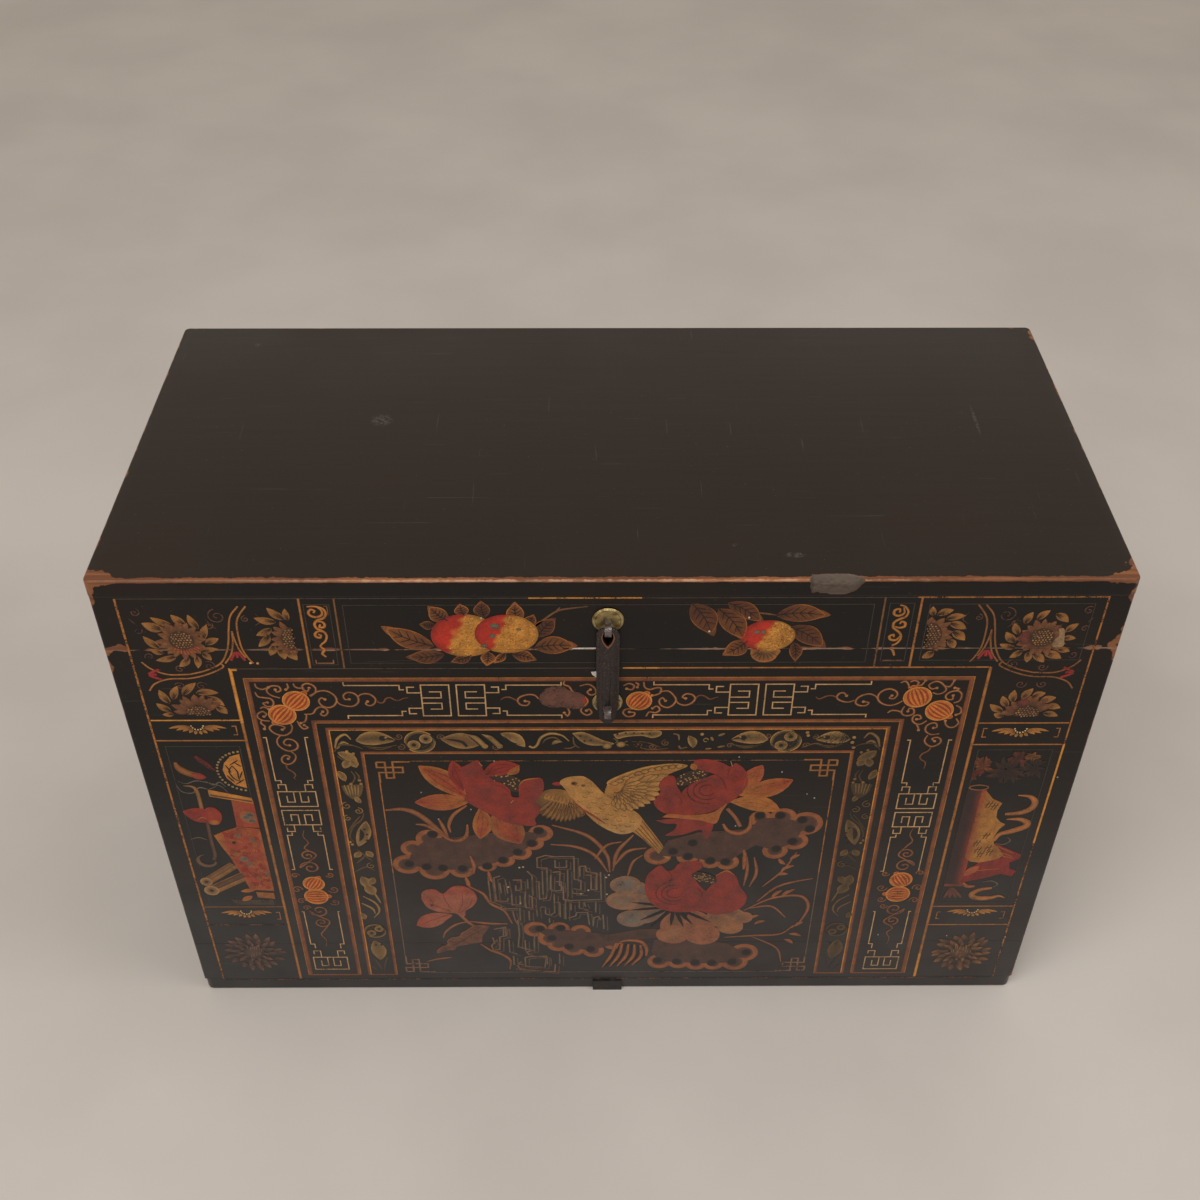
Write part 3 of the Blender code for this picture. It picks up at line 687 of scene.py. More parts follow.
def lacquer(name, low, high, rub_width, arris_width, seam, turned=0.0):
    """Black lacquer on wood, rubbed bare along the edges of the box from low to high, bare wood inside, with
    painted highlights on the front top arris and the seam's lips and a painted sheen on the top
    """
    made, tree, shader, place = new_material(name)
    rub = place_group(
        tree, "edge_rub_and_highlight",
        {"Centre": (Vector(low) + Vector(high)) / 2, "Half Size": (Vector(high) - Vector(low)) / 2,
         "Width": rub_width, "Front Top Width": arris_width, "Seam Level": seam, "Seam Width": SEAM_WIDTH}
    )
    marks = place_group(tree, "handling")
    paling = place_group(tree, "low_paling")["Paling"]
    inside = place_group(
        tree, "softwood", {"Early Wood": INNER_EARLY, "Late Wood": INNER_LATE, "Turned": turned}
    )
    bare = place_group(tree, "softwood", {"Early Wood": RUBBED_WOOD, "Late Wood": RUBBED_DARK})
    scar = add(tree, "ShaderNodeAttribute", attribute_name="scar").outputs["Fac"]
    height = axes(place)["Z"]
    film = blend(marks["Smudge"], LACQUER_BLACK, LACQUER_BROWN)
    # Painted sheen: the top face is made browner and lighter, standing in for the light that it reflects
    top_sheen = ramp(height, LID_TOP - 0.0012, LID_TOP - 0.0002, 0.0, 0.6)
    film = blend(top_sheen, film, TOP_SHEEN)
    film = blend(times(marks["Scratches"], SCRATCH_SHARE), film, PALE_GREY)
    film = blend(times(marks["Specks"], SPECK_SHARE), film, PALE_GREY)
    # Paler and greyer towards the foot
    film = blend(times(paling, LOW_PALING_SHARE), film, PALE_GREY)
    # Bare wood of the arris, made paler along its crest as a painted highlight
    wood = blend(times(rub["Crest Highlight"], CREST_HIGHLIGHT_SHARE), bare["Colour"], CREST_HIGHLIGHT)
    film = blend(rub["Rub"], film, wood)
    # The seam's lips: worn wood painted pale as a highlight
    film = blend(rub["Lip Highlight"], film, blend(bare["Grain"], SEAM_HIGHLIGHT, SEAM_HIGHLIGHT_GRAIN))
    torn = blend(ramp(scar, 0.02, 0.14), RUBBED_DARK, blend(bare["Grain"], SCAR_GREY, SCAR_DARK))
    film = blend(ramp(scar, 0.0, 0.06), film, torn)
    skin = larger(rub["Skin"], ramp(scar, 0.0, 0.02))
    tone = blend(skin, inside["Colour"], film)
    tree.links.new(tone, shader.inputs["Base Color"])
    shader.inputs["Specular IOR Level"].default_value = LACQUER_SHINE
    gloss = plus(times(marks["Smudge"], 0.10), 0.60)
    gloss = plus(gloss, times(scar, 0.3))
    gloss = plus(gloss, times(rub["Skin"], -0.3))
    tree.links.new(gloss, shader.inputs["Roughness"])
    ripple = cloud(place, 1.0, 4.0, (5.0, 70.0, 70.0))
    relief = minus(ripple, times(rub["Rub"], 0.5))
    relief = plus(relief, times(scar, times(bare["Grain"], 3.0)))
    lift(shader, relief, 0.0004, 0.5)
    return made


def painted():
    """Old pigment and gold on the lacquer, flaked and rubbed where little of it is kept"""
    made, tree, shader, place = new_material("painted")
    paint = add(tree, "ShaderNodeAttribute", attribute_name="paint")
    fine = cloud(place, 750.0, 3.0)
    broad = cloud(place, 85.0, 5.0)
    both = plus(times(fine, 0.55), times(broad, 0.45))
    limit = minus(0.74, times(paint.outputs["Alpha"], 0.44))
    left = ramp(minus(both, limit), -0.06, 0.07)
    shade = ramp(broad, 0.3, 0.7, 0.78, 1.12)
    shade = times(shade, ramp(fine, 0.3, 0.7, 0.82, 1.14))
    tone = add(tree, "ShaderNodeVectorMath", {0: paint.outputs["Color"], "Scale": shade}, operation="SCALE")
    film = blend(left, LACQUER_BLACK, tone.outputs[0])
    # Paint paler and greyer towards the foot
    paling = times(place_group(tree, "low_paling")["Paling"], PAINT_PALING_SHARE)
    tree.links.new(blend(paling, film, PALE_GREY), shader.inputs["Base Color"])
    shader.inputs["Specular IOR Level"].default_value = PAINT_SHINE
    tree.links.new(ramp(broad, 0.3, 0.7, 0.36, 0.5), shader.inputs["Roughness"])
    lift(shader, plus(fine, left), 0.00015, 0.5)
    return made


def iron(name, clean, rusty, polish):
    """Forged iron between a clean and a rusty colour, with small bright flecks; polish, from 0 to 1,
    smooths it"""
    made, tree, shader, place = new_material(name)
    rust = ramp(cloud(place, 130.0, 6.0), 0.42, 0.68)
    pits = cloud(place, 520.0, 3.0)
    flecks = ramp(cloud(place, 760.0, 2.0), 0.6, 0.7, 0.0, 0.4)
    tone = blend(flecks, blend(rust, clean, rusty), hue(132, 124, 120, 1.0))
    tree.links.new(tone, shader.inputs["Base Color"])
    tree.links.new(minus(0.85, times(rust, 0.55)), shader.inputs["Metallic"])
    rough = plus(0.42 - 0.16 * polish, times(rust, 0.28))
    tree.links.new(rough, shader.inputs["Roughness"])
    lift(shader, plus(pits, rust), 0.0004, 0.6)
    return made


def brass():
    """Tarnished brass, browner in patches"""
    made, tree, shader, place = new_material("tarnished_brass")
    stain = ramp(cloud(place, 160.0, 6.0), 0.38, 0.7)
    tone = blend(stain, hue(190, 170, 118, 1.0), hue(124, 102, 64, 1.0))
    tree.links.new(tone, shader.inputs["Base Color"])
    shader.inputs["Metallic"].default_value = 0.8
    tree.links.new(plus(0.36, times(stain, 0.2)), shader.inputs["Roughness"])
    lift(shader, stain, 0.0002, 0.5)
    return made


groups = {
    "edge_rub_and_highlight": edge_rub_and_highlight_group(), "handling": handling_group(), "softwood": wood_group(),
    "low_paling": low_paling_group()
}

LID_NODES = ["lid_top_board", "lid_front_rim", "lid_back_rim", "lid_left_rim", "lid_right_rim"]
CASE_NODES = ["base_board", "front_foot_plank", "front_plank", "back_foot_plank", "back_plank"]
CASE_NODES += ["left_side_board", "right_side_board"]
END_NODES = ["left_side_board", "right_side_board", "lid_left_rim", "lid_right_rim"]
BRASS_NODES = ["hasp_washer", "staple_washer"]
RUBBED_NODES = ["hasp_eye", "hasp_staple"]
SHARP_ANGLE = 28.0


def box_of(nodes):
    """Lowest and highest corner of several CAD nodes together"""
    boxes = [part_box(node) for node in nodes]
    low = [min(box[0][axis] for box in boxes) for axis in range(3)]
    high = [max(box[1][axis] for box in boxes) for axis in range(3)]
    return low, high


materials = {
    "lid_lacquer": lacquer("lid_lacquer", *box_of(LID_NODES), LID_RUB, LID_ARRIS, LID_FOOT),
    "case_lacquer": lacquer("case_lacquer", *box_of(CASE_NODES), CASE_RUB, 0.0, CASE_TOP),
    "lid_ends": lacquer("lid_end_lacquer", *box_of(LID_NODES), LID_RUB, LID_ARRIS, LID_FOOT, 1.0),
    "case_ends": lacquer("case_end_lacquer", *box_of(CASE_NODES), CASE_RUB, 0.0, CASE_TOP, 1.0),
    "painted": painted(), "iron": iron("forged_iron", hue(64, 58, 56, 1.0), hue(50, 35, 29, 1.0), 0.0),
    "rubbed": iron("rubbed_iron", hue(124, 117, 117, 1.0), hue(70, 52, 44, 1.0), 1.0),
    "rim": iron("worn_rim", hue(150, 104, 82, 1.0), hue(112, 66, 46, 1.0), 0.3),
    "clip": iron("dusty_iron", hue(62, 61, 62, 1.0), hue(58, 52, 49, 1.0), 0.0), "brass": brass()
}


def finish_nodes():
    """Gives every CAD node its finish"""
    for name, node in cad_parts.items():
        kind = "iron"
        if name in END_NODES:
            kind = "lid_ends" if name in LID_NODES else "case_ends"
        elif name in LID_NODES:
            kind = "lid_lacquer"
        elif name in CASE_NODES:
            kind = "case_lacquer"
        elif name in BRASS_NODES:
            kind = "brass"
        elif name in RUBBED_NODES:
            kind = "rubbed"
        elif name == "base_clip":
            kind = "clip"
        for slot in node.material_slots:
            slot.material = materials[kind]


def hung_piece(mesh, name, body, kinds):
    """Object made from a bmesh, smooth but for its sharp edges, riding on a body"""
    piece = linked_piece(mesh, name, kinds)
    piece.data.shade_smooth()
    piece.data.set_sharp_from_angle(angle=math.radians(SHARP_ANGLE))
    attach(piece, body)
    return piece


def rounded(mesh, edges, radius, segments):
    """Rounds some edges of a mesh and gives the faces that this makes"""
    made = bmesh.ops.bevel(
        mesh, geom=edges, offset=radius, segments=segments, profile=0.5, affect="EDGES", material=-1
    )
    return made["faces"]


def sliced(mesh, axis, places):
    """Cuts a mesh across at places along an axis, 0 to 2 for X to Z"""
    normal = Vector([float(axis == each) for each in range(3)])
    for place in places:
        whole = mesh.verts[:] + mesh.edges[:] + mesh.faces[:]
        bmesh.ops.bisect_plane(mesh, geom=whole, dist=1e-6, plane_co=normal * place, plane_no=normal)


BOARD_CORNER = 6.0 * MM
BOARD_ARRIS = 2.5 * MM
BOARD_UNDER = 1.0 * MM
BOARD_SLICE = 6.0 * MM
DENT = 1.3 * MM
SMALL_DENT = 0.5 * MM
DENT_REACH = 5 * MM
CHIP_LEFT = 173.0 * MM
CHIP_RIGHT = 223.0 * MM
CHIP_ON_TOP = 8.0 * MM
CHIP_DOWN = 17.0 * MM
CHIP_SLICE = 1.3 * MM
CHIP_ROWS_BACK = (1, 2, 3, 4, 5, 6, 7, 8, 9, 10, 12, 16, 24, 40)
CHIP_ROWS_DOWN = (2.5, 4, 5.5, 7, 8.5, 10, 11.5, 13, 14.5, 16, 17.5)


def smooth_share(value, low, high):
    """Share from 0 to 1 that eases in and out between two values"""
    share = clipped((value - low) / (high - low))
    return share * share * (3 - 2 * share)


def chip_share(x):
    """How deep the chip is along the front: abrupt at its left end, rounded at its right"""
    along = (x - CHIP_LEFT) / (CHIP_RIGHT - CHIP_LEFT)
    ragged = 0.07 * waver(x * 240, 4.0, 0.0)
    outline = (0.86 + 0.14 * smooth_share(along, 0.1, 0.5)) * smooth_share(along, 0.0, 0.08)
    outline *= max(0.0, 1 - max(0.0, (along - 0.6) / 0.4) ** 2.2)
    return max(0.0, outline * (1 + ragged))


def lid_board():
    """Top board of the lid: rounded edges, small dents along the front arris and one large chip in it"""
    low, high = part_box("lid_top_board")
    board = bmesh.new()
    bmesh.ops.create_cube(board, size=1.0)
    bmesh.ops.scale(board, vec=high - low, verts=board.verts)
    bmesh.ops.translate(board, vec=(low + high) / 2, verts=board.verts)
    rounded(
        board, [e for e in board.edges if abs(e.verts[0].co.z - e.verts[1].co.z) > BOARD_CORNER],
        BOARD_CORNER, 4
    )
    rounded(board, [e for e in board.edges if min(v.co.z for v in e.verts) > high.z - 1e-5], BOARD_ARRIS, 4)
    rounded(board, [e for e in board.edges if max(v.co.z for v in e.verts) < low.z + 1e-5], BOARD_UNDER, 2)
    steps = round((high.x - low.x) / BOARD_SLICE)
    sliced(board, 0, [low.x + (high.x - low.x) * step / steps for step in range(2, steps - 1)])
    fine = round((CHIP_RIGHT - CHIP_LEFT) / CHIP_SLICE)
    sliced(board, 0, [CHIP_LEFT + CHIP_SLICE * step for step in range(-1, fine + 2)])
    sliced(board, 1, [low.y + MM * step for step in CHIP_ROWS_BACK])
    sliced(board, 2, [high.z - MM * step for step in CHIP_ROWS_DOWN])
    scar = board.verts.layers.float.new("scar")
    for vert in board.verts:
        x = vert.co.x
        back = vert.co.y - low.y
        down = high.z - vert.co.z
        dent = DENT * max(0.0, waver(x * 46, 7.0, 0.0))
        dent += SMALL_DENT * max(0.0, waver(x * 170, 2.0, 0.0))
        near = max(0.0, 1 - max(back, down) / DENT_REACH)
        vert.co += Vector((0, dent * near, -dent * near))
        depth = chip_share(x) - back / CHIP_ON_TOP - down / CHIP_DOWN
        if depth > 0:
            rough = 1 + 0.25 * waver(x * 330, back * 500, down * 330)
            vert.co += Vector((0, CHIP_ON_TOP, -CHIP_DOWN)) * (depth * rough / 2)
            vert[scar] = min(1.0, depth * 4)
    piece = hung_piece(board, "lid_board", "lid", ["lid_lacquer"])
    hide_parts("lid_top_board")


HOLE_HALF = 6.0 * MM
HOLE_LOW = 4.6 * MM
HOLE_DEEP = 23.0 * MM
HOLE_WORN = 1.2 * MM
HOLE_EDGE_ANGLE = 30.0
LEAF_THICK = 2.0 * MM
NAIL_RADIUS = 2.6 * MM
NAIL_ROWS = {"case_leaf": (0.22, 0.58), "lid_leaf": (0.42, 0.78)}


def strap_look():
    """Hasp strap with the edge of its drop-shaped hole worn round and bright"""
    strap = bmesh.new()
    strap.from_mesh(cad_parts["hasp_strap"].data)
    bmesh.ops.remove_doubles(strap, verts=strap.verts, dist=1e-6)
    low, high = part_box("hasp_strap")
    middle = (low.x + high.x) / 2
    rim = []
    for edge in strap.edges:
        in_front = all(vert.co.y < (low.y + high.y) / 2 for vert in edge.verts)
        beside = max(abs(vert.co.x - middle) for vert in edge.verts)
        drops = [high.z - vert.co.z for vert in edge.verts]
        in_hole = beside < HOLE_HALF and HOLE_LOW < min(drops) and max(drops) < HOLE_DEEP
        if in_front and in_hole and edge.calc_face_angle(0.0) > math.radians(HOLE_EDGE_ANGLE):
            rim.append(edge)
    for face in rounded(strap, rim, HOLE_WORN, 2):
        face.material_index = 1
    piece = hung_piece(strap, "hasp_strap_look", "hasp", ["iron", "rim"])
    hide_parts("hasp_strap")


def hinge_nails():
    """Domed nail heads on the leaves of the back hinges"""
    for body, part in (("case", "case_leaf"), ("lid", "lid_leaf")):
        heads = bmesh.new()
        for side in ("left", "right"):
            low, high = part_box(f"{side}_hinge_{part}")
            face = low.y + LEAF_THICK
            for across in (0.2, 0.8):
                for up in NAIL_ROWS[part]:
                    spot = Vector((low.x + (high.x - low.x) * across, face, low.z + (high.z - low.z) * up))
                    dome = bmesh.ops.create_uvsphere(heads, u_segments=14, v_segments=8, radius=NAIL_RADIUS)
                    bmesh.ops.scale(heads, vec=(1.0, 0.42, 1.0), verts=dome["verts"])
                    bmesh.ops.translate(heads, vec=spot, verts=dome["verts"])
        hung_piece(heads, f"{body}_hinge_nails", body, ["iron"])


# Borders and frames


def gate(sheet, left, right, top, foot, width, tint, coat=1):
    """Line up one side, across the top and down the other"""
    sheet.rule([(left, foot), (left, top), (right, top), (right, foot)], width, tint, coat)


def borders():
    """Straight gold and brown lines that divide the front"""
    sheet = PaintedSheet()
    for points, width, tint in (
        ([(-442.5, 20), (-442.5, 598)], 2.2, worn(OLD_GOLD, 0.66)),
        ([(442.5, 20), (442.5, 258)], 1.8, worn(OLD_GOLD, 0.55)), ([(442.5, 258), (442.5, 408)], 2.2, GOLD),
        ([(442.5, 408), (442.5, 598), (272, 598)], 1.8, worn(OLD_GOLD, 0.7)),
        ([(-442, 598), (-75, 598)], 1.2, hue(74, 60, 50, 0.84)),
        ([(-75, 598), (26, 598)], 1.6, worn(GOLD, 0.75)),
        ([(26, 598), (272, 598)], 1.1, hue(74, 60, 50, 0.8)),
        ([(-440, 18), (440, 18)], 1.6, worn(FRAME_BROWN, 0.45)),
        ([(-279.5, 512), (-279.5, 598)], 2.2, worn(OLD_GOLD, 0.85)),
        ([(-248, 512), (-248, 598)], 1.8, worn(DULL_GOLD, 0.8)),
        ([(243, 512), (243, 598)], 1.8, worn(DULL_GOLD, 0.8)),
        ([(276, 512), (276, 598)], 2.2, worn(OLD_GOLD, 0.85)),
        ([(-354, 512), (10, 512)], 1.2, hue(74, 58, 47, 0.8)), ([(10, 512), (44, 512)], 2.0, GOLD),
        ([(44, 512), (352, 512)], 1.8, worn(OLD_GOLD, 0.82)),
        ([(-354, 20), (-354, 512)], 3.0, worn(OLD_GOLD, 0.88)),
        ([(-354, 440), (-354, 511), (-348, 511)], 3.4, GOLD),
        ([(352, 20), (352, 512)], 3.0, worn(OLD_GOLD, 0.85)), ([(352, 20), (352, 64)], 3.2, GOLD)
    ):
        sheet.rule(points, width, tint)
    gate(sheet, -341.5, 337.5, 497.5, 28, 5.0, worn(FRAME_BROWN, 0.95))
    gate(sheet, -343.6, 339.6, 499.6, 27, 1.1, OLD_GOLD, 2)
    gate(sheet, -285.5, 279.0, 441.5, 28, 4.6, worn(FRAME_BROWN, 0.9))
    gate(sheet, -284.0, 277.5, 440.0, 28, 1.0, OLD_GOLD, 2)
    gate(sheet, -273.5, 267.5, 431.5, 28, 4.2, worn(FRAME_BROWN, 0.95))
    gate(sheet, -272.2, 266.2, 430.0, 28, 1.2, worn(GOLD, 0.85), 2)
    gate(sheet, -243.5, 236.5, 398.0, 27, 3.8, worn(FRAME_BROWN, 0.9))
    gate(sheet, -242.4, 235.4, 397.0, 27, 1.0, OLD_GOLD, 2)
    for near, far in ((-343, -284), (-275, -242), (235, 269), (278, 340)):
        sheet.rule([(near, 27.5), (far, 27.5)], 2.6, worn(FRAME_BROWN, 0.85))
    for side, edge in ((-1, -230.5), (1, 222.5)):
        sheet.rule([(edge, 210), (edge, 362)], 1.3, worn(OLD_GOLD, 0.72))
        sheet.rule([(edge, 62), (edge, 210)], 1.3, hue(112, 86, 68, 0.84))
        sheet.rule([(edge + side * -24, 386), (-4, 386)], 1.2, worn(DULL_GOLD, 0.62))
        sheet.rule([(edge + side * -24, 31), (-4, 31)], 1.2, hue(104, 84, 70, 0.74))
    knots(sheet)
    side_column_lines(sheet)
    sheet.hang("border_lines")


def knots(sheet):
    """Knots of two strands in the corners of the middle picture, which run on into its thin frame"""
    for u, v, across, up, keep in (
        (-231.5, 384.5, 1, -1, 0.92), (223.5, 386, -1, -1, 0.92), (-231.5, 33, 1, 1, 0.75),
        (223.5, 33, -1, 1, 0.7)
    ):
        for strand in (
            ((0, 0), (8.5, 0), (8.5, 23), (16, 23), (16, -0.5), (33, -0.5)),
            ((0, 0), (0, 7.5), (25.5, 7.5), (25.5, 15), (1.5, 15), (1.5, 30))
        ):
            run = [(u + across * a, v + up * b) for a, b in strand]
            tint = mixed(OLD_GOLD, DULL_GOLD, 0.3) if up < 0 else hue(128, 94, 72)
            sheet.rule(run, 2.2, worn(tint, keep))


def side_column_lines(sheet):
    """Cross lines and thin inner frames of the two outer columns and of the fields of the lid"""
    low = mixed(DULL_GOLD, FRAME_BROWN, 0.4)
    for left, right, levels in (
        (-441, -355, ((444, GOLD), (416, OLD_GOLD), (154, low), (122, worn(low, 0.5)))),
        (353, 441, ((437.5, OLD_GOLD), (407.5, OLD_GOLD), (151, OLD_GOLD), (118, OLD_GOLD)))
    ):
        for level, tint in levels:
            sheet.rule([(left, level), (right, level)], 1.8, worn(tint, min(0.85, tint[3])))
    for left, foot, right, top in (
        (-434, 162, -362, 408), (360, 158, 433, 400), (-241, 519, 234, 590), (-276, 517, -253, 591),
        (248, 520, 270, 591), (284, 521, 432, 590)
    ):
        sheet.rule(rectangle(left, foot, right, top), 0.9, hue(62, 54, 47, 0.9))
    for u, v, turn in (
        (-361, 430, 1), (434, 424, 1), (360, 424, -1), (-361, 138, 1), (434, 135, 1), (360, 135, -1)
    ):
        bracket = [(u - 4 * turn, v + 6), (u, v + 6), (u, v - 6), (u - 4 * turn, v - 6)]
        sheet.rule(bracket, 1.2, worn(OLD_GOLD, 0.7))


def fret_block(sheet, place, near, far, half, keep):
    """Square key fret: an outline with two hooks turned in from its far side"""
    span = far - near
    inner = near + 0.3 * span
    hook = near + 0.72 * span
    tint = worn(FRET_GOLD, keep)
    for side in (1, -1):
        arm = [(far, 0.17 * half), (inner, 0.17 * half), (inner, 0.56 * half), (hook, 0.56 * half)]
        sheet.rule([place(a, side * b) for a, b in arm], 1.3, tint)
    outline = rectangle(near, -half, far, half)
    sheet.rule([place(a, b) for a, b in outline], 1.4, tint)


def fret(sheet, place, block, hook, line, half, width, keep):
    """Key fret block with a stepped hook and a long line on each side"""
    fret_block(sheet, place, *block, half, keep)
    for side in (1, -1):
        for steps in (hook, line):
            points = [place(a, side * b * half) for a, b in steps]
            sheet.rule(points, width, worn(FRET_GOLD, keep))


def frets():
    """Key frets of the melon band: pairs across the top and down both sides, and one at each foot"""
    sheet = PaintedSheet()
    hook = [(30, 0.5), (43, 0.5), (43, 0.86), (36, 0.86)]
    line = [(102, 1.18), (102, 0.98), (50, 0.98), (50, 0.7), (45.8, 0.7)]
    for middle in (-149.5, 141.5):
        for way in (1, -1):
            fret(sheet, lambda a, b: (middle + way * a, 470 + b), (3.5, 30.0), hook, line, 20.5, 1.4, 0.95)
    hook = [(25.5, 0.5), (36, 0.5), (36, 0.9), (30, 0.9)]
    for middle, level in ((-315.5, 316), (310, 310)):
        for way, run in ((1, 104), (-1, 98)):
            line = [(run, 1.15), (run, 0.98), (42, 0.98), (42, 0.7), (38, 0.7)]
            fret(
                sheet, lambda a, b: (middle + b, level + way * a), (3.0, 25.5), hook, line, 19.0, 1.3, 0.85
            )
    hook = [(23, 0.5), (35, 0.5), (35, 0.9), (29, 0.9)]
    line = [(107, 1.1), (107, 0.98), (48, 0.98), (48, 0.75), (40, 0.75)]
    for middle, level in ((-315.5, 38), (310, 35)):
        fret(sheet, lambda a, b: (middle + b, level + a), (0.0, 23.0), hook, line, 19.0, 1.3, 0.8)
    sheet.hang("key_frets")


# Melons and their vines


def melon(sheet, centre, size, lean, keep):
    """Golden melon with red furrows along its axis, its stem knob lean degrees from level"""
    ahead = Vector(ray((0, 0), 1, lean))
    aside = left_of(ahead)
    middle = Vector(centre)
    rim = worn(MELON_RIM, keep)
    sheet.disc(middle + ahead * size * 0.98, (size * 0.26, size * 0.22), (worn(MELON_FURROW, keep), rim), 3)
    sheet.disc(centre, (size * 0.97, size), (worn(MELON_GOLD, keep), rim), 4, lean, 12, 0.04)
    for rib in (-0.66, -0.34, -0.02, 0.3, 0.62):
        curve = []
        for step in range(-76, 77, 19):
            angle = math.radians(step)
            bow = rib * (0.35 + 0.65 * math.cos(angle))
            along = 0.84 * math.sin(angle) * (1 - 0.25 * rib**2)
            curve.append(middle + aside * (size * bow) + ahead * (size * along))
        sheet.line(curve, 2.1, worn(MELON_FURROW, keep), 5, (0.3, 0.3))
    rim_light = worn(mixed(MELON_RIDGE, MELON_RIM, 0.5), keep)
    sheet.rule(arc_run(centre, size * 0.94, 0, 360, 32), 1.1, rim_light, 6)


def tendril(sheet, points):
    """Curling brown stroke with a lighter back, ending in a round head"""
    back = worn(VINE_LIGHT, TENDRIL_KEEP)
    sheet.line(points, TENDRIL_WIDTH, worn(VINE_BROWN, TENDRIL_KEEP), 2, (0.75, 0.85))
    sheet.line(points, TENDRIL_WIDTH * 0.45, back, 3, (0.7, 0.85))
    sheet.dots(points[-1:], TENDRIL_WIDTH * 0.62, back, 2)


LEFT_TENDRILS = (
    [(-285, 477), (-280, 480), (-275, 483), (-268, 483), (-262, 478), (-260, 471), (-263, 464), (-269, 461),
     (-275, 464), (-277, 470), (-274, 474), (-271, 472)],
    [(-260, 470), (-258, 466), (-252, 463), (-245, 463), (-240, 468), (-239.5, 475), (-243, 480),
     (-249, 481), (-253, 477), (-252, 472), (-248, 472)],
    [(-240, 474), (-237, 478), (-231, 479.5), (-226, 477), (-223, 471), (-226, 465), (-230, 463.5),
     (-233, 466), (-231, 469)],
    [(-293, 452), (-285, 453), (-281, 459), (-276, 462), (-271, 459), (-270.5, 454), (-274, 450),
     (-277.5, 452), (-275, 455.5)],
    [(-284, 476), (-279, 481), (-278, 487), (-281, 491.5), (-286, 493), (-290, 490), (-289.5, 485),
     (-286, 483), (-284, 487)],
    [(-298, 493), (-297, 489), (-294, 487), (-290, 487)],
    [(-313, 474), (-320, 477), (-324, 482), (-323, 487), (-318, 490), (-312, 489), (-311, 484), (-315, 482),
     (-316, 485)],
    [(-304, 493), (-303.5, 488), (-306, 485)], [(-334, 493), (-333, 488), (-328, 485.5), (-322, 488)],
    [(-335.5, 482), (-333.5, 476), (-328, 474.5), (-322, 473), (-320, 468), (-322, 463), (-327, 463),
     (-330, 467), (-326, 468)],
    [(-334, 460), (-330, 462), (-326, 459)],
    [(-327, 443), (-334, 444), (-338, 448), (-337, 453), (-332, 456), (-329, 452), (-332, 449)],
    [(-335, 444), (-336, 440), (-333, 436), (-334, 432)],
    [(-308, 440), (-307, 434), (-310, 427), (-317, 423), (-325, 426), (-329, 433), (-325, 438), (-318, 437),
     (-314, 434), (-317, 431)],
    [(-301, 443), (-299, 436), (-296, 432), (-292, 434), (-295, 437)],
    [(-291, 452), (-292, 446), (-294, 442), (-298, 440)],
    [(-320, 423), (-324, 417), (-324, 410), (-320, 404), (-314, 401), (-307, 404), (-305, 410), (-308, 416),
     (-314, 418), (-318, 414), (-317, 410), (-313, 409)],
    [(-313, 401), (-309, 394), (-312, 386), (-318, 382), (-323, 385), (-323, 391), (-319, 395), (-315, 393),
     (-317, 390)]
)
MIDDLE_TENDRILS = (
    [(30, 494), (31, 487), (36, 484), (41, 486), (46, 486), (46, 480), (42, 477), (38, 476)],
    [(45, 481), (53, 482), (58, 477), (61, 470), (58, 463), (53, 460), (47, 463), (45, 469), (48, 473),
     (51, 469)],
    [(61, 469), (64, 465), (70, 463), (76, 466), (79, 472), (76, 477), (70, 478), (67, 474), (70, 472)],
    [(11, 489), (16, 492), (21, 489), (19, 484), (14, 485)], [(22, 493), (25, 491), (24, 487)],
    [(24, 458), (14, 458), (11, 453), (15, 448), (21, 449), (22, 453), (17, 454)],
    [(33, 448), (36, 454), (42, 453), (46, 457), (43, 462), (39, 459)],
    [(-69, 472), (-73, 477), (-80, 477.5), (-87, 474), (-89, 469), (-86, 464), (-80, 463.5), (-78, 468),
     (-82, 469)],
    [(-44, 497), (-45, 491), (-40, 488), (-37, 481)],
    [(-30, 489), (-22, 491), (-16, 486), (-15, 479), (-20, 477), (-23, 481), (-20, 484)],
    [(-28, 461), (-29, 455), (-24, 450), (-19, 453), (-21, 458), (-24, 456)],
    [(-42, 460), (-40, 454), (-42, 449), (-45, 453)]
)
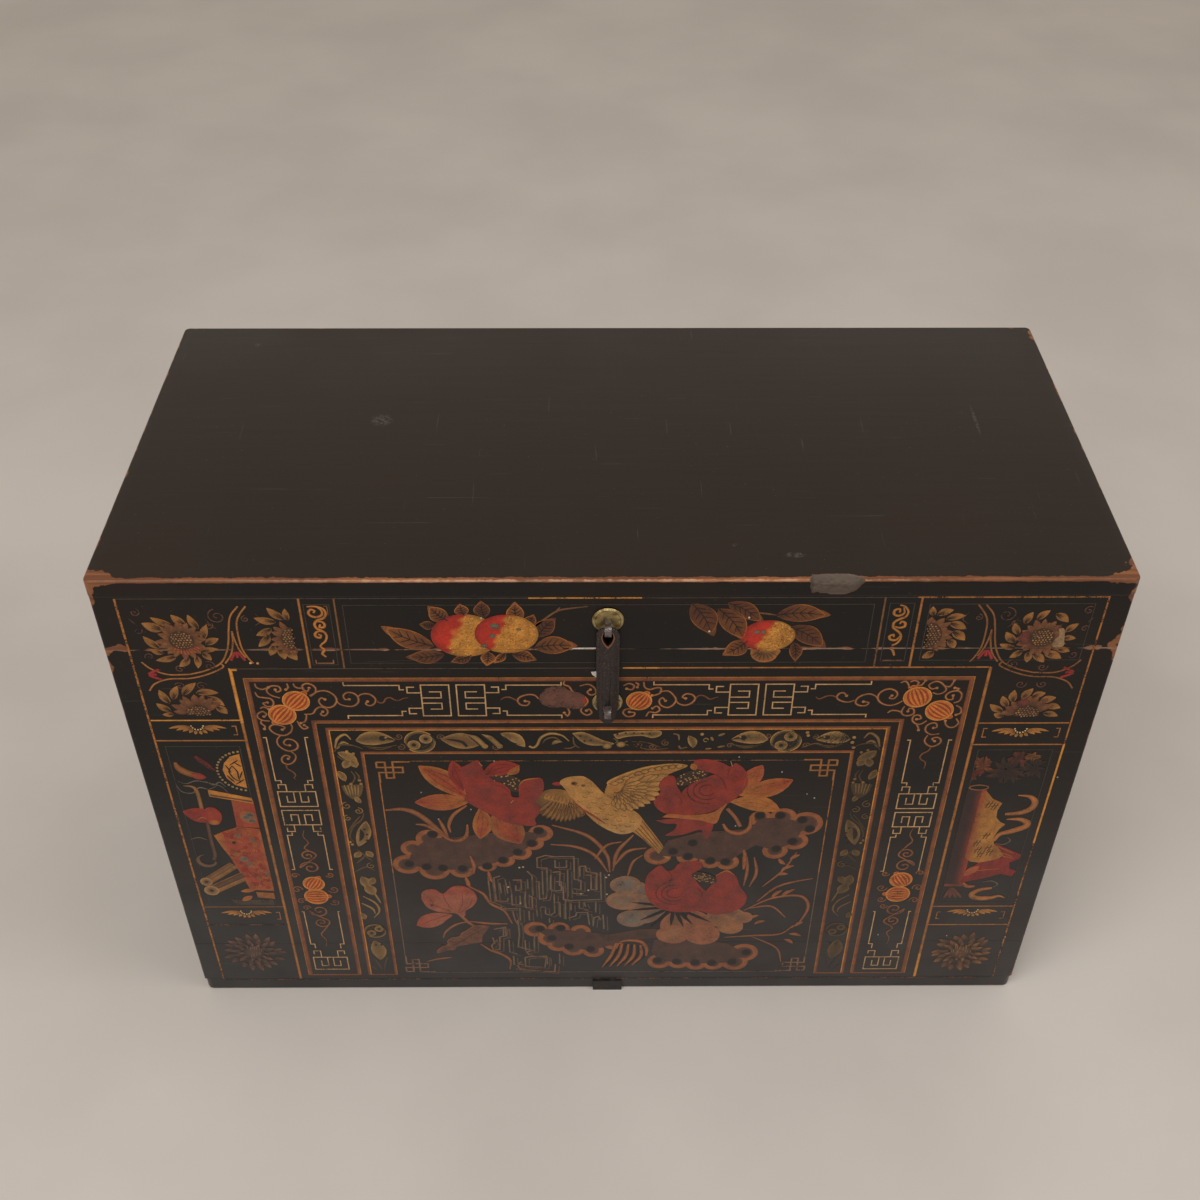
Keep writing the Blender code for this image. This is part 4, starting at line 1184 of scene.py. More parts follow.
RIGHT_TENDRILS = (
    [(276, 468), (271, 464), (265, 462), (258, 464), (253, 469), (252, 476), (256, 482), (262, 484),
     (268, 481), (270, 476), (267, 471), (263, 472), (265, 475)],
    [(252, 471), (249, 475), (243, 477.5), (236, 475), (232, 470), (232, 465), (236, 462), (242, 462),
     (244, 466), (239, 467)],
    [(230, 469), (226, 467), (221, 467), (215, 470), (213, 474), (215, 478), (219, 479), (222, 475)],
    [(264, 452), (267, 455), (272, 455), (277, 453)],
    [(279, 461), (277, 454), (279, 449.5), (284, 448), (289, 451), (288, 457), (284, 458), (283, 454)],
    [(303, 441), (298, 436.5), (293, 437), (289, 442), (290, 448), (295, 448.5), (297, 444), (293, 443)],
    [(294, 436), (296, 432), (297, 428)],
    [(318, 423), (310, 422), (304, 427), (304, 434), (309, 438), (313, 437), (314, 432), (311, 431)],
    [(331, 444), (334, 438), (331, 432.5), (326, 432), (322, 436), (321, 441)],
    [(328, 462), (333, 458), (334, 452), (330, 449)],
    [(325, 465), (330, 468), (331, 476), (327, 481), (320, 480), (316, 475), (318, 470), (323, 470),
     (323, 475)],
    [(324, 481), (327, 484), (323, 485)],
    [(303, 479), (308, 477), (313, 479), (315, 484), (309, 492), (303, 493.5), (298, 489), (301, 484),
     (306, 485)],
    [(312, 488), (318, 487), (321, 495)], [(271, 492), (275, 494), (278, 491), (280, 486)],
    [(280, 493), (284, 495), (288, 492), (287, 489), (291, 489), (294, 495)],
    [(307, 421), (305, 414), (308, 408), (314, 405), (320, 409), (321, 414), (317, 418), (312, 416),
     (315, 412.5)]
)
VINE_TAILS = (
    [(-223, 470), (-219, 467), (-216, 468), (-213, 473), (-209, 474), (-205, 471), (-201, 470.5),
     (-197, 473), (-192, 474)],
    [(-90, 470), (-96, 474), (-101, 474), (-105, 471)],
    [(79, 472), (83, 476), (88, 475), (93, 471), (98, 473), (101, 474)],
    [(213, 473), (209, 475), (204, 475), (199, 472), (196, 471), (193, 474)],
    [(-320, 382), (-320, 376), (-315, 371), (-313, 366), (-315, 362), (-313, 359)],
    [(313, 405), (311, 399), (306, 395), (304, 390), (306, 386), (310, 383), (311, 378), (310, 373)]
)
MELONS = (
    ((-298.5, 470), 13.4, 50), ((-314, 451.5), 13.8, 232), ((26, 469), 12.6, 55), ((289.5, 473), 14.0, 112),
    ((313, 455), 14.0, -39), ((-317, 194), 12.0, 60), ((-317, 172), 13.4, 0), ((312, 197.5), 12.6, 120),
    ((312, 173), 13.6, 180)
)


def curl(sheet, centre, radius, start, turns, width, tint, coat=2, light=None):
    """Spiral tendril from its rim inward; turns below zero run clockwise; light is its brighter back"""
    count = max(10, int(abs(turns) * 16))
    points = []
    for step in range(count + 1):
        share = step / count
        angle = math.radians(start) + 2 * math.pi * turns * share
        reach = radius * (1 - 0.82 * share)
        points.append((centre[0] + reach * math.cos(angle), centre[1] + reach * math.sin(angle)))
    sheet.rule(points, width, tint, coat, (1.0, 0.7))
    sheet.dots([points[-1]], width * 0.7, tint, coat)
    if light:
        sheet.rule(points, width * 0.4, light, coat + 1, (1.0, 0.7))


def vine(sheet, stations, tail, width, tints, side):
    """Wave of tendrils: a curl at every station, on alternate sides, and a wavy tail"""
    wave = []
    for at, (u, v, radius) in enumerate(stations):
        here = Vector((u, v))
        after = Vector(stations[at + 1][:2]) if at + 1 < len(stations) else Vector(tail[0])
        way = (after - here).normalized()
        left = left_of(way) * side
        crest = here + left * radius
        wave.append(crest)
        if at + 1 < len(stations):
            wave.append(here + (after - here) * 0.52)
        start = math.degrees(math.atan2(left.y, left.x))
        curl(sheet, (u, v), radius, start, -1.35 * side, width, tints[0], 2, tints[1])
        side = -side
    path = wave + [Vector(p) for p in tail]
    sheet.line(path, width, tints[0], 2, (1.0, 0.25))
    sheet.line(path, width * 0.4, tints[1], 3, (1.0, 0.2))


SIDE_CURLS = (
    (-18, 208, 4.5), (-19, 184, 6.0), (-17, 164, 5.0), (-13, 152, 4.5), (19, 209, 4.5), (20, 184, 6.0),
    (19, 162, 5.5)
)


def melon_vines():
    """Melons with curling vines in the band's corners, at its middle and on its sides"""
    sheet = PaintedSheet()
    for centre, size, lean in MELONS:
        melon(sheet, centre, size, lean, 0.88 if centre[1] < 300 else 0.98)
    rubbed_melon(sheet)
    for points in LEFT_TENDRILS + MIDDLE_TENDRILS + RIGHT_TENDRILS:
        tendril(sheet, points)
    for points in VINE_TAILS:
        sheet.line(points, 1.8, worn(VINE_BROWN, 0.85), 2, (0.9, 0.4))
    faint = (worn(mixed(VINE_BROWN, LEAF, 0.3), 0.84), worn(mixed(VINE_LIGHT, LEAF, 0.4), 0.78))
    for u, mirror in ((-317, 1), (312, -1)):
        up = [(u - 2, 253), (u + 3, 262), (u - 1, 272), (u + 1, 282)]
        down = [(u + 2, 113), (u - 3, 104), (u + 1, 94), (u, 82)]
        vine(sheet, [(u, 221, 11), (u, 241, 8.5)], up, 2.6, faint, mirror)
        vine(sheet, [(u, 147, 11), (u, 126, 9)], down, 2.6, faint, -mirror)
        for du, v, radius in SIDE_CURLS:
            curl(sheet, (u + du, v), radius, 200 * (du > 0), 1.2 * mirror, 2.0, faint[0], 2, faint[1])
    sheet.hang("melon_vines")


def rubbed_melon(sheet):
    """Melon left of the hasp, rubbed down to a brown smear with some red and gold left at its right"""
    smear = [(-69, 472), (-66, 481), (-58, 488), (-47, 489), (-40, 483), (-30, 480), (-23, 473), (-22, 466)]
    smear += [(-27, 460), (-38, 458), (-47, 461), (-56, 460), (-65, 464)]
    brown = hue(104, 66, 54, 0.86)
    edge = hue(90, 58, 46, 0.66)
    spine = [(-60, 473), (-45, 472), (-31, 469)]
    sheet.shape(smear, spine, lambda place, depth: mixed(edge, brown, min(1.0, depth / 5)), 4)
    sheet.line([(-25, 475), (-22.5, 469), (-26, 462)], 1.5, worn(MELON_RIM, 0.9), 6, (0.4, 0.4))
    sheet.disc((-26, 470), (2.6, 5.0), (worn(STRIPE_RED, 0.85), worn(brown, 0.6)), 5)


# Scroll band round the middle picture


def scroll_roundel(sheet, centre, radius, keep, turn=0, tone=1.0):
    """Disc of two commas that chase each other, each with an eye"""
    body = worn(toned(BAND_GREEN, tone), keep)
    light = worn(toned(BAND_LIGHT, tone), keep)
    shade = worn(BAND_SHADE, 1.0)
    sheet.disc(centre, (radius, radius), (shade, shade), 2)
    stipple = [
        ray(centre, radius * reach, turn + angle) for reach in (0.5, 0.72) for angle in range(70, 150, 20)
    ]
    sheet.dots(stipple, 0.7, body, 3)
    for way in (turn, turn + 180):
        head = ray(centre, radius * 0.46, way)
        tail = arc_run(centre, radius * 0.86, way + 8, way + 168, 18)
        sheet.rule(tail, radius * 0.26, body, 4, (1.0, 0.2))
        edge = arc_run(centre, radius * 0.93, way + 8, way + 150, 18)
        sheet.rule(edge, radius * 0.1, light, 5, (1.0, 0.2))
        sheet.disc(head, (radius * 0.4, radius * 0.4), (body, light), 6)
        sheet.disc(head, (radius * 0.13, radius * 0.13), (shade, shade), 7)


def scroll_leaf(sheet, centre, heading, size, keep, flip=1):
    """Pointed bean of a leaf that rolls round a dark eye, with two thin strokes under it"""
    ahead = Vector(ray((0, 0), 1, heading))
    aside = left_of(ahead) * flip
    middle = Vector(centre) + aside * size * 0.06
    body = worn(BAND_GREEN, keep)
    light = worn(BAND_LIGHT, keep)
    shade = worn(BAND_SHADE, 1.0)
    base = middle - ahead * size * 0.98
    tip = middle + ahead * size * 0.9
    sheet.petal(base, tip, size * 0.94, (body, body, light), 2, 0.08 * flip, 0.82)
    eye = middle + ahead * size * 0.3 + aside * size * 0.14
    sheet.disc(eye, (size * 0.17, size * 0.17), (shade, shade), 3)
    under = eye + ahead * size * 0.3 - aside * size * 0.02
    sheet.line(
        [eye - aside * size * 0.06, under, tip - aside * size * 0.02], size * 0.1, shade, 3, (0.9, 0.3)
    )
    sheet.line(
        [eye + ahead * size * 0.12, eye + ahead * size * 0.2 + aside * size * 0.1], size * 0.1, light, 4
    )
    for drop, length in ((0.5, 1.4), (0.62, 1.0)):
        start = middle - ahead * size * length * 0.5 - aside * size * (drop - 0.12)
        turn = middle + ahead * size * 0.15 - aside * size * drop
        stop = middle + ahead * size * length * 0.66 - aside * size * (drop - 0.16)
        sheet.line([start, turn, stop], size * 0.07, body, 2, (0.2, 0.6))


def scroll_wave(sheet, centre, heading, size, keep, flip=1):
    """Broad faded leaf with a dark fold, whose tip breaks into two fat commas"""
    ahead = Vector(ray((0, 0), 1, heading))
    aside = left_of(ahead) * flip
    middle = Vector(centre)
    body = worn(mixed(BAND_GREEN, PETAL_BROWN, 0.5), keep)
    light = worn(mixed(BAND_LIGHT, BAND_GREEN, 0.3), keep)
    shade = worn(BAND_SHADE, 1.0)
    base = middle - ahead * size * 1.1 + aside * size * 0.16
    sheet.petal(
        base, middle + ahead * size * 0.5 - aside * size * 0.2, size * 0.95, (body, body, light), 2,
        0.05 * flip, 1.1
    )
    fold = [
        base + ahead * size * 0.25, middle - ahead * size * 0.25,
        middle - ahead * size * 0.02 - aside * size * 0.3
    ]
    sheet.line(fold, size * 0.14, shade, 3, (0.3, 1.0))
    for step in (0.0, 0.62):
        root = middle + ahead * size * (0.02 + step) + aside * size * 0.46
        stop = root + ahead * size * 0.72 - aside * size * 0.74
        bend = (root + stop) / 2 + aside * size * 0.12
        sheet.line([root, bend, stop], size * 0.36, shade, 3, (0.1, 1.0))
        sheet.line([root, bend, stop], size * 0.24, light, 4, (0.1, 1.0))
        sheet.disc(stop, (size * 0.13, size * 0.13), (light, light), 5)


def beaded_wing(sheet, keep):
    """Small spread wing with a row of dark beads in the middle of the band's top"""
    light = worn(BAND_LIGHT, keep)
    body = worn(BAND_GREEN, keep)
    shade = worn(BAND_SHADE, 1.0)
    left = [(-38, 425), (-26, 426), (-8, 415), (3, 410), (-8, 408), (-20, 408), (-29, 413)]
    right = [
        (2, 423), (14, 427), (32, 428), (47, 428), (48, 422), (40, 418), (30, 421), (16, 420), (6, 417)
    ]
    for outline, spine in ((left, [(-30, 420), (-10, 411)]), (right, [(8, 421), (44, 424)])):
        sheet.shape(outline, spine, lambda place, depth: mixed(light, body, min(1.0, depth / 4)), 2)
    beads = [(6, 423.5), (14, 425), (22, 425), (30, 424.5), (37, 424), (-30, 421), (-20, 415), (-26, 414)]
    sheet.dots(beads, 1.2, shade, 3)
    for spot, size in (((-4, 407), 4.6), ((9.5, 409), 4.4)):
        sheet.disc(spot, (size, size * 0.9), (light, body), 3)
    for stroke in (
        [(-37, 420), (-36, 410), (-31, 404)], [(2, 418), (6, 414), (4, 411)], [(14, 409), (17, 408)],
        [(13, 412), (16, 414)], [(-46, 404), (-40, 404), (-35, 407)]
    ):
        sheet.line(stroke, 2.0, body, 2, (0.5, 0.6))


def small_commas(sheet, keep):
    """Loose commas and berries right of the wing"""
    light = worn(BAND_LIGHT, keep)
    body = worn(BAND_GREEN, keep)
    for stroke, width in (
        ([(60, 424), (65, 422), (66, 415)], 2.0), ([(66, 407), (68, 403.5), (74, 405)], 2.6),
        ([(104, 421), (110, 424)], 3.0), ([(104, 405), (111, 406.5)], 2.6), ([(92, 402.5), (98, 403)], 2.4),
        ([(97, 419), (99, 414)], 3.0)
    ):
        sheet.line(stroke, width, mixed(body, light, 0.4), 2, (0.7, 0.5))
    sheet.petal((75, 421), (80, 404), 9.0, (body, body, light), 2, 0.1)
    sheet.dots([(88, 423), (190, 425), (191, 421), (236, 418), (235, 411), (237, 404)], 1.9, light, 2)
    sheet.rule(arc_run((92, 415), 2.4, 0, 300, 10), 1.0, light, 3)


def scroll_band():
    """Greenish gold foliage up one side of the middle picture, across and down the other"""
    sheet = PaintedSheet()
    level = 414.5
    scroll_leaf(sheet, (-228, level), 0, 20.5, 0.95, 1)
    scroll_roundel(sheet, (-186, 413.5), 16.0, 0.95, 215)
    scroll_wave(sheet, (-140, 413.5), 0, 23.0, 0.92, 1)
    light = worn(BAND_LIGHT, 0.92)
    body = worn(BAND_GREEN, 0.92)
    arch = [(-80, 407), (-76, 405), (-72, 409), (-68, 419), (-59, 424.5), (-48, 422), (-41, 414)]
    sheet.line(arch, 3.0, light, 2, (0.8, 0.3))
    sheet.line([(-67, 411), (-63, 417), (-55, 419), (-47, 412)], 2.0, body, 2, (0.5, 0.4))
    sheet.petal((-58, 409), (-48, 413), 5.0, (body, light, body), 3, 0.2)
    beaded_wing(sheet, 0.9)
    sheet.petal((-107, 425), (-84, 406), 13.0, (body, mixed(body, light, 0.6), light), 3, 0.12)
    sheet.line([(-104, 421), (-97, 413), (-88, 409)], 1.4, worn(BAND_SHADE, 1.0), 4, (0.5, 0.3))
    small_commas(sheet, 0.86)
    scroll_leaf(sheet, (134, level), 180, 19.0, 0.8, -1)
    scroll_roundel(sheet, (170, 413.5), 16.0, 0.8, 235)
    scroll_leaf(sheet, (215, level), 180, 18.0, 0.66, -1)
    side_band(sheet, lambda a: -258.5 + a, 1.0, 0.78)
    side_band(sheet, lambda a: 251.5 - a, 0.55, 0.34)
    scroll_stems(sheet)
    sheet.hang("scroll_band")


def side_band(sheet, across, high, low):
    """Foliage down one side of the picture; across turns a distance from its middle line into a place,
    and the paint grows fainter from the share high at the top to low at the foot"""

    def faded(tint, v):
        share = clipped((v - 60) / 300)
        return worn(toned(tint, low + (high - low) * share), 0.92)

    def spot(a, v):
        return (across(a), v)

    for strokes, width, tint in (
        (([(-11, 405), (-7, 418), (1, 424), (6, 417)], [(-9, 404), (-3, 413), (3, 411)]), 3.0, BAND_LIGHT),
        (([(-12, 400), (-6, 409), (6, 409), (16, 404)], [(-10, 394), (-4, 388), (4, 391), (6, 397)]), 2.2,
         BAND_GREEN),
        (([(1, 372), (4, 363), (0, 354), (-6, 350)], [(5, 371), (8, 364), (6, 357)]), 2.0, BAND_GREEN),
        (([(7, 309), (4, 299), (-6, 287), (-11, 272), (-8, 263)], [(3, 304), (-4, 294), (-12, 280)]), 2.2,
         BAND_GREEN),
        (([(8, 232), (2, 240), (-6, 251)], [(-9, 228), (-2, 236), (6, 246)],
          [(-12, 214), (0, 222), (9, 216)]), 2.4, BAND_GREEN),
        (([(-8, 172), (4, 160), (7, 146), (0, 134)], [(-11, 160), (0, 150), (2, 141)],
          [(4, 180), (10, 160)]), 2.6, BAND_LIGHT),
        (([(-9, 62), (-4, 50), (0, 36)], [(8, 62), (4, 48), (2, 36)], [(-11, 44), (-6, 36)]), 2.2,
         BAND_GREEN)
    ):
        for points in strokes:
            sheet.line([spot(*p) for p in points], width, faded(tint, points[0][1]), 2, (0.5, 0.4))
    for base, tip, width in (
        ((-9, 399), (9, 386), 11), ((-1, 388), (-5, 376), 9), ((3, 388), (7, 377), 9),
        ((-12, 372), (-6, 357), 8), ((6, 324), (1, 334), 6), ((8, 296), (-4, 256), 15),
        ((-3, 247), (-10, 238), 8), ((3, 248), (9, 238), 8), ((-6, 206), (-1, 186), 12),
        ((7, 204), (0, 192), 9), ((-3, 192), (4, 174), 13), ((-13, 142), (-10, 131), 7),
        ((-4, 92), (0, 56), 17)
    ):
        rim, body = faded(BAND_LIGHT, base[1]), faded(BAND_GREEN, base[1])
        sheet.petal(spot(*base), spot(*tip), width, (body, mixed(body, rim, 0.5), rim), 3, 0.04)
    fan = [(-11, 350), (-8, 338), (-1, 330), (6, 334), (10, 345), (9, 352)]
    sheet.shape(
        [spot(*p) for p in fan], [spot(-2, 344), spot(3, 344)], lambda place, depth: faded(BAND_GREEN, 340),
        3
    )
    for a in (-8, -4.5, -1, 2.5, 6):
        sheet.line([spot(a, 351), spot(a * 0.7, 336)], 1.2, faded(BAND_LIGHT, 345), 4, (0.8, 0.4))
    for a, v, radius, turns in (
        (-9, 320, 5.5, 1.2), (2, 312, 5.0, -1.3), (-10, 301, 4.5, 1.2), (6, 224, 5.0, 1.2)
    ):
        curl(sheet, spot(a, v), radius, 90, turns, 1.8, faded(BAND_GREEN, v), 3, faded(BAND_LIGHT, v))
    scroll_roundel(sheet, spot(-1, 110), 12.5, 0.9, 40, faded((1, 1, 1, 1), 110)[0])
    dark = worn(BAND_SHADE, 1.0)
    sheet.petal(spot(1, 284), spot(-2, 264), 5, (dark, dark, dark), 4, 0.1)
    sheet.dots(
        [spot(*p) for p in ((5, 283), (7, 275), (6, 266), (3, 259), (-3, 84), (3, 84))], 1.5, dark, 4
    )
    berries = [(-1, 353), (8, 358), (9, 353), (-12, 263), (-10, 259), (0, 400), (6, 397)]
    sheet.dots([spot(*p) for p in berries], 1.7, faded(BAND_LIGHT, 330), 4)


def scroll_stems(sheet):
    """Thin curls that fill the gaps along the top of the scroll band"""
    tint = worn(mixed(BAND_GREEN, PETAL_BROWN, 0.5), 0.75)
    for u, v, radius, start, turns in (
        (-206, 421, 4.5, 200, 1.2), (-205, 406, 4.5, 90, -1.2), (-166, 420, 4.0, 0, 1.2),
        (-100, 421, 4.0, 180, -1.2), (-90, 418, 3.6, 0, 1.3), (-112, 405, 4.0, 90, 1.2),
        (27, 409, 4.4, 180, 1.2), (40, 406, 4.0, 0, -1.2), (53, 411, 4.4, 90, 1.3), (116, 407, 4.0, 0, 1.2),
        (152, 421, 4.0, 180, 1.2), (190, 407, 4.0, 0, 1.2), (198, 419, 3.6, 90, -1.2)
    ):
        curl(sheet, (u, v), radius, start, turns, 1.3, tint, 1)
    for stem in (
        [(20, 413), (34, 412), (48, 405)], [(22, 408), (36, 402), (56, 403)],
        [(186, 404), (200, 410), (210, 406)]
    ):
        sheet.line(stem, 1.6, tint, 1, (0.5, 0.3))


# Rosettes, fruit and scrolls of the lid band and the outer columns


def rosette(sheet, centre, radius, tints, seed):
    """Rubbed flower of many narrow petals round a smeared heart; tints are its light and its dark colour"""
    draw = random.Random(seed)
    light, dark = tints
    dim = mixed(dark, LACQUER_BLACK, 0.7)
    for coat, ring, count, width in ((2, 1.0, 18, 0.24), (3, 0.74, 14, 0.2), (4, 0.5, 11, 0.16)):
        for place in range(count):
            angle = 360 * (place + 0.5) / count + draw.uniform(-5, 5)
            base = ray(centre, radius * (ring - 0.36), angle - 6)
            tip = ray(centre, radius * ring * draw.uniform(0.92, 1.06), angle + 6)
            tone = mixed(light, dark, draw.uniform(0, 0.9))
            sheet.petal(
                base, tip, radius * width, (worn(dim, 0.9), worn(tone, 0.9), worn(dim, 0.9)), coat, 0.1, 0.9
            )
    sheet.disc(centre, (radius * 0.34, radius * 0.34), (worn(dark, 0.9), worn(dim, 0.8)), 5)
    for place in range(16):
        stalk = ray(centre, radius * draw.uniform(0.1, 0.3), draw.uniform(0, 360))
        sheet.rule([stalk, (stalk[0], stalk[1] + radius * 0.14)], 1.2, worn(light, 0.8), 6, (0.6, 0.6))


def loose_petals(sheet, petals, keep):
    """Separate gold-brown petals, each from base to tip with its width"""
    dark = worn(PETAL_DARK, 1.0)
    gold = worn(PETAL_GOLD, keep)
    root = worn(PETAL_BROWN, keep)
    for base, tip, width in petals:
        tints = (mixed(root, dark, 0.5), gold, mixed(gold, root, 0.5))
        sheet.petal(base, tip, width, tints, 2, 0.05, 0.85)
        base = Vector(base)
        axis = Vector(tip) - base
        aside = left_of(axis).normalized() * width * 0.2
        for shift in (-1, 0, 1):
            crease = [base + axis * 0.04 + aside * shift * 0.4, base + axis * 0.52 + aside * shift]
            sheet.line(crease, width * 0.09, dark, 3, (1, 0.2))


def beaded_heart(sheet, centre, size, keep, inside):
    """Brown heart of a flower with loose rows of pale beads, both only where inside(u, v) holds"""
    across, up = size
    draw = random.Random(round(centre[0]))
    bead = worn(hue(158, 114, 64), keep)
    ground = worn(hue(66, 43, 29), keep)
    whole = [(centre[0] + u * across, centre[1] + v * up) for u, v in arc_run((0, 0), 1.0, 0, 360, 28)]
    spots = [spot for spot in whole if inside(*spot)]
    sheet.shape(spots, [centre], lambda place, depth: ground, 7, 3, smooth=False)
    rows = int(up / 2.7)
    for row in range(-rows, rows + 1):
        for column in range(-6, 7):
            u = centre[0] + 2.9 * column + 1.4 * (row % 2) + draw.uniform(-0.4, 0.4)
            v = centre[1] + 2.7 * row + 0.25 * column + draw.uniform(-0.4, 0.4)
            reach = math.hypot((u - centre[0]) / across, (v - centre[1]) / up)
            if reach < 0.92 and inside(u, v):
                sheet.dots([(u, v)], draw.uniform(0.6, 1.0), toned(bead, draw.uniform(0.6, 1.2)), 8)


def scale_ring(sheet, centre, radius, start, stop, keep, seed):
    """Two rings of narrow brown petals that overlap round the heart of a flower"""
    draw = random.Random(seed)
    dark = worn(PETAL_DARK, 1.0)
    rust = worn(PETAL_RUST, keep)
    gold = worn(PETAL_GOLD, keep)
    for ring, reach, share in ((0, 1.16, 16), (1, 0.92, 13)):
        count = max(6, round(share * (stop - start) / 360))
        for place in range(count):
            angle = start + (stop - start) * (place + 0.5) / count + draw.uniform(-4, 4)
            base = ray(centre, radius * 0.45, angle - 10)
            tip = ray(centre, radius * reach * draw.uniform(0.92, 1.06), angle + 12)
            shade = mixed(rust, gold, draw.uniform(0.0, 0.4))
            tints = (dark, shade, mixed(shade, dark, 0.5))
            sheet.petal(base, tip, radius * draw.uniform(0.28, 0.36), tints, 4 + ring, 0.12, 1.3)


ROSETTES = (
    {"heart": (-392, 548), "size": (11.5, 11.5), "ring": (20, 0, 360), "keep": 0.95, "edge": None,
     "petals": (((-397, 566), (-415, 576), 7.5), ((-385, 567), (-396, 579), 8.5),
                ((-374, 562), (-381, 579), 7.5), ((-372, 549), (-366, 567), 7.5),
                ((-371, 543), (-358, 550), 8), ((-377, 534), (-361, 537), 6.5),
                ((-376, 532), (-369, 523), 7), ((-382, 529), (-383, 513), 7),
                ((-389, 526), (-400, 515), 7.5), ((-400, 528), (-420, 523), 7.5),
                ((-411, 532), (-423, 537), 7), ((-413, 538), (-426, 553), 8),
                ((-406, 561), (-424, 569), 11))},
    {"heart": (-290, 550), "size": (11, 14), "ring": (19, 95, 265), "keep": 0.92, "edge": ("left", -289),
     "petals": (((-295, 573), (-309, 587), 8.5), ((-292, 572), (-293, 586), 6.5),
                ((-303, 570), (-322, 575), 8.5), ((-308, 562), (-323, 554), 8),
                ((-311, 554), (-323, 540), 8), ((-309, 542), (-314, 529), 8),
                ((-305, 538), (-301, 524), 8.5), ((-299, 535), (-290, 523), 9))},
    {"heart": (-393, 454), "size": (12, 10), "ring": (22, 5, 175), "keep": 0.92, "edge": ("above", 451),
     "petals": (((-418, 467), (-425, 485), 8.5), ((-414, 472), (-407, 490), 8),
                ((-404, 478), (-389, 494), 8.5), ((-391, 481), (-370, 481), 8.5),
                ((-381, 476), (-367, 464), 8), ((-375, 463), (-366, 453), 9), ((-419, 457), (-431, 467), 8),
                ((-417, 453), (-428, 452), 6))},
    {"heart": (392, 549), "size": (11.5, 11.5), "ring": (20, 0, 360), "keep": 0.8, "edge": None,
     "petals": (((373, 566), (378, 580), 8), ((383, 571), (393, 582), 7.5), ((399, 578), (412, 568), 8.5),
                ((412, 556), (422, 566), 7), ((411, 548), (423, 548), 6.5), ((370, 553), (364, 567), 7.5),
                ((369, 543), (358, 556), 8.5), ((370, 536), (355, 541), 7), ((377, 533), (367, 524), 7.5),
                ((383, 531), (384, 518), 7.5), ((388, 529), (400, 518), 8.5), ((398, 530), (415, 523), 9.5),
                ((409, 534), (421, 532), 7))},
    {"heart": (287, 552), "size": (13, 16), "ring": (21, -80, 85), "keep": 0.8, "edge": ("right", 285.5),
     "petals": (((289, 576), (287, 587), 6.5), ((292, 577), (306, 583), 8), ((301, 572), (318, 576), 8),
                ((305, 567), (321, 560), 9), ((309, 557), (322, 546), 9.5), ((307, 547), (314, 536), 8.5),
                ((296, 532), (286, 524), 8.5))},
    {"heart": (397, 450), "size": (12, 12), "ring": (22, 5, 175), "keep": 0.86, "edge": ("above", 446.5),
     "petals": (((374, 453), (360, 463), 8), ((377, 460), (370, 474), 8), ((381, 466), (380, 482), 8),
                ((389, 470), (397, 484), 8.5), ((398, 473), (410, 478), 8.5), ((407, 466), (421, 472), 9.5),
                ((414, 461), (428, 458), 8.5), ((413, 451), (428, 447), 7.5),
                ((376, 447), (366, 450), 7.5))}
)


def kept_side(edge):
    """Test of which side of a flower's straight edge a place is on; edge is None, or a side and a level"""
    if edge is None:
        return lambda u, v: True
    side, level = edge
    if side == "left":
        return lambda u, v: u <= level
    if side == "right":
        return lambda u, v: u >= level
    return lambda u, v: v >= level


def corner_rosettes(sheet):
    """Whole and half flowers in the corners of lid and columns"""
    for seed, flower in enumerate(ROSETTES):
        keep = flower["keep"]
        loose_petals(sheet, flower["petals"], keep)
        scale_ring(sheet, flower["heart"], *flower["ring"], keep, seed)
        beaded_heart(sheet, flower["heart"], flower["size"], keep, kept_side(flower["edge"]))
    for step in range(9):
        root = ray((-390, 549), 12.5, -132 + 11 * step)
        sheet.line([root, ray((-390, 549), 18.5, -128 + 11 * step)], 2.0, worn(SALMON, 0.9), 6, (0.6, 0.8))
    sheet.disc((377, 549), (6.5, 8.0), (hue(112, 54, 40, 0.85), hue(84, 46, 36, 0.7)), 6)
    sheet.disc((391, 465), (7.0, 5.0), (hue(112, 54, 40, 0.85), hue(84, 46, 36, 0.7)), 6)
    worn_spot = [(405, 560), (410, 560), (413, 546), (413, 538), (404, 538), (404, 546), (407, 552)]
    sheet.shape(worn_spot, [(407, 556), (408, 542)], lambda place, depth: hue(146, 118, 84, 0.85), 9)


def red_fan(sheet, centre, heading):
    """Three red strokes in the corner between two circles"""
    for spread in (-26, 0, 26):
        tip = ray(centre, 15 if spread else 10, heading + spread)
        sheet.line([ray(centre, 2.5, heading + spread), tip], 3.0, worn(FAN_RED, 0.8), 2, (0.5, 0.9))


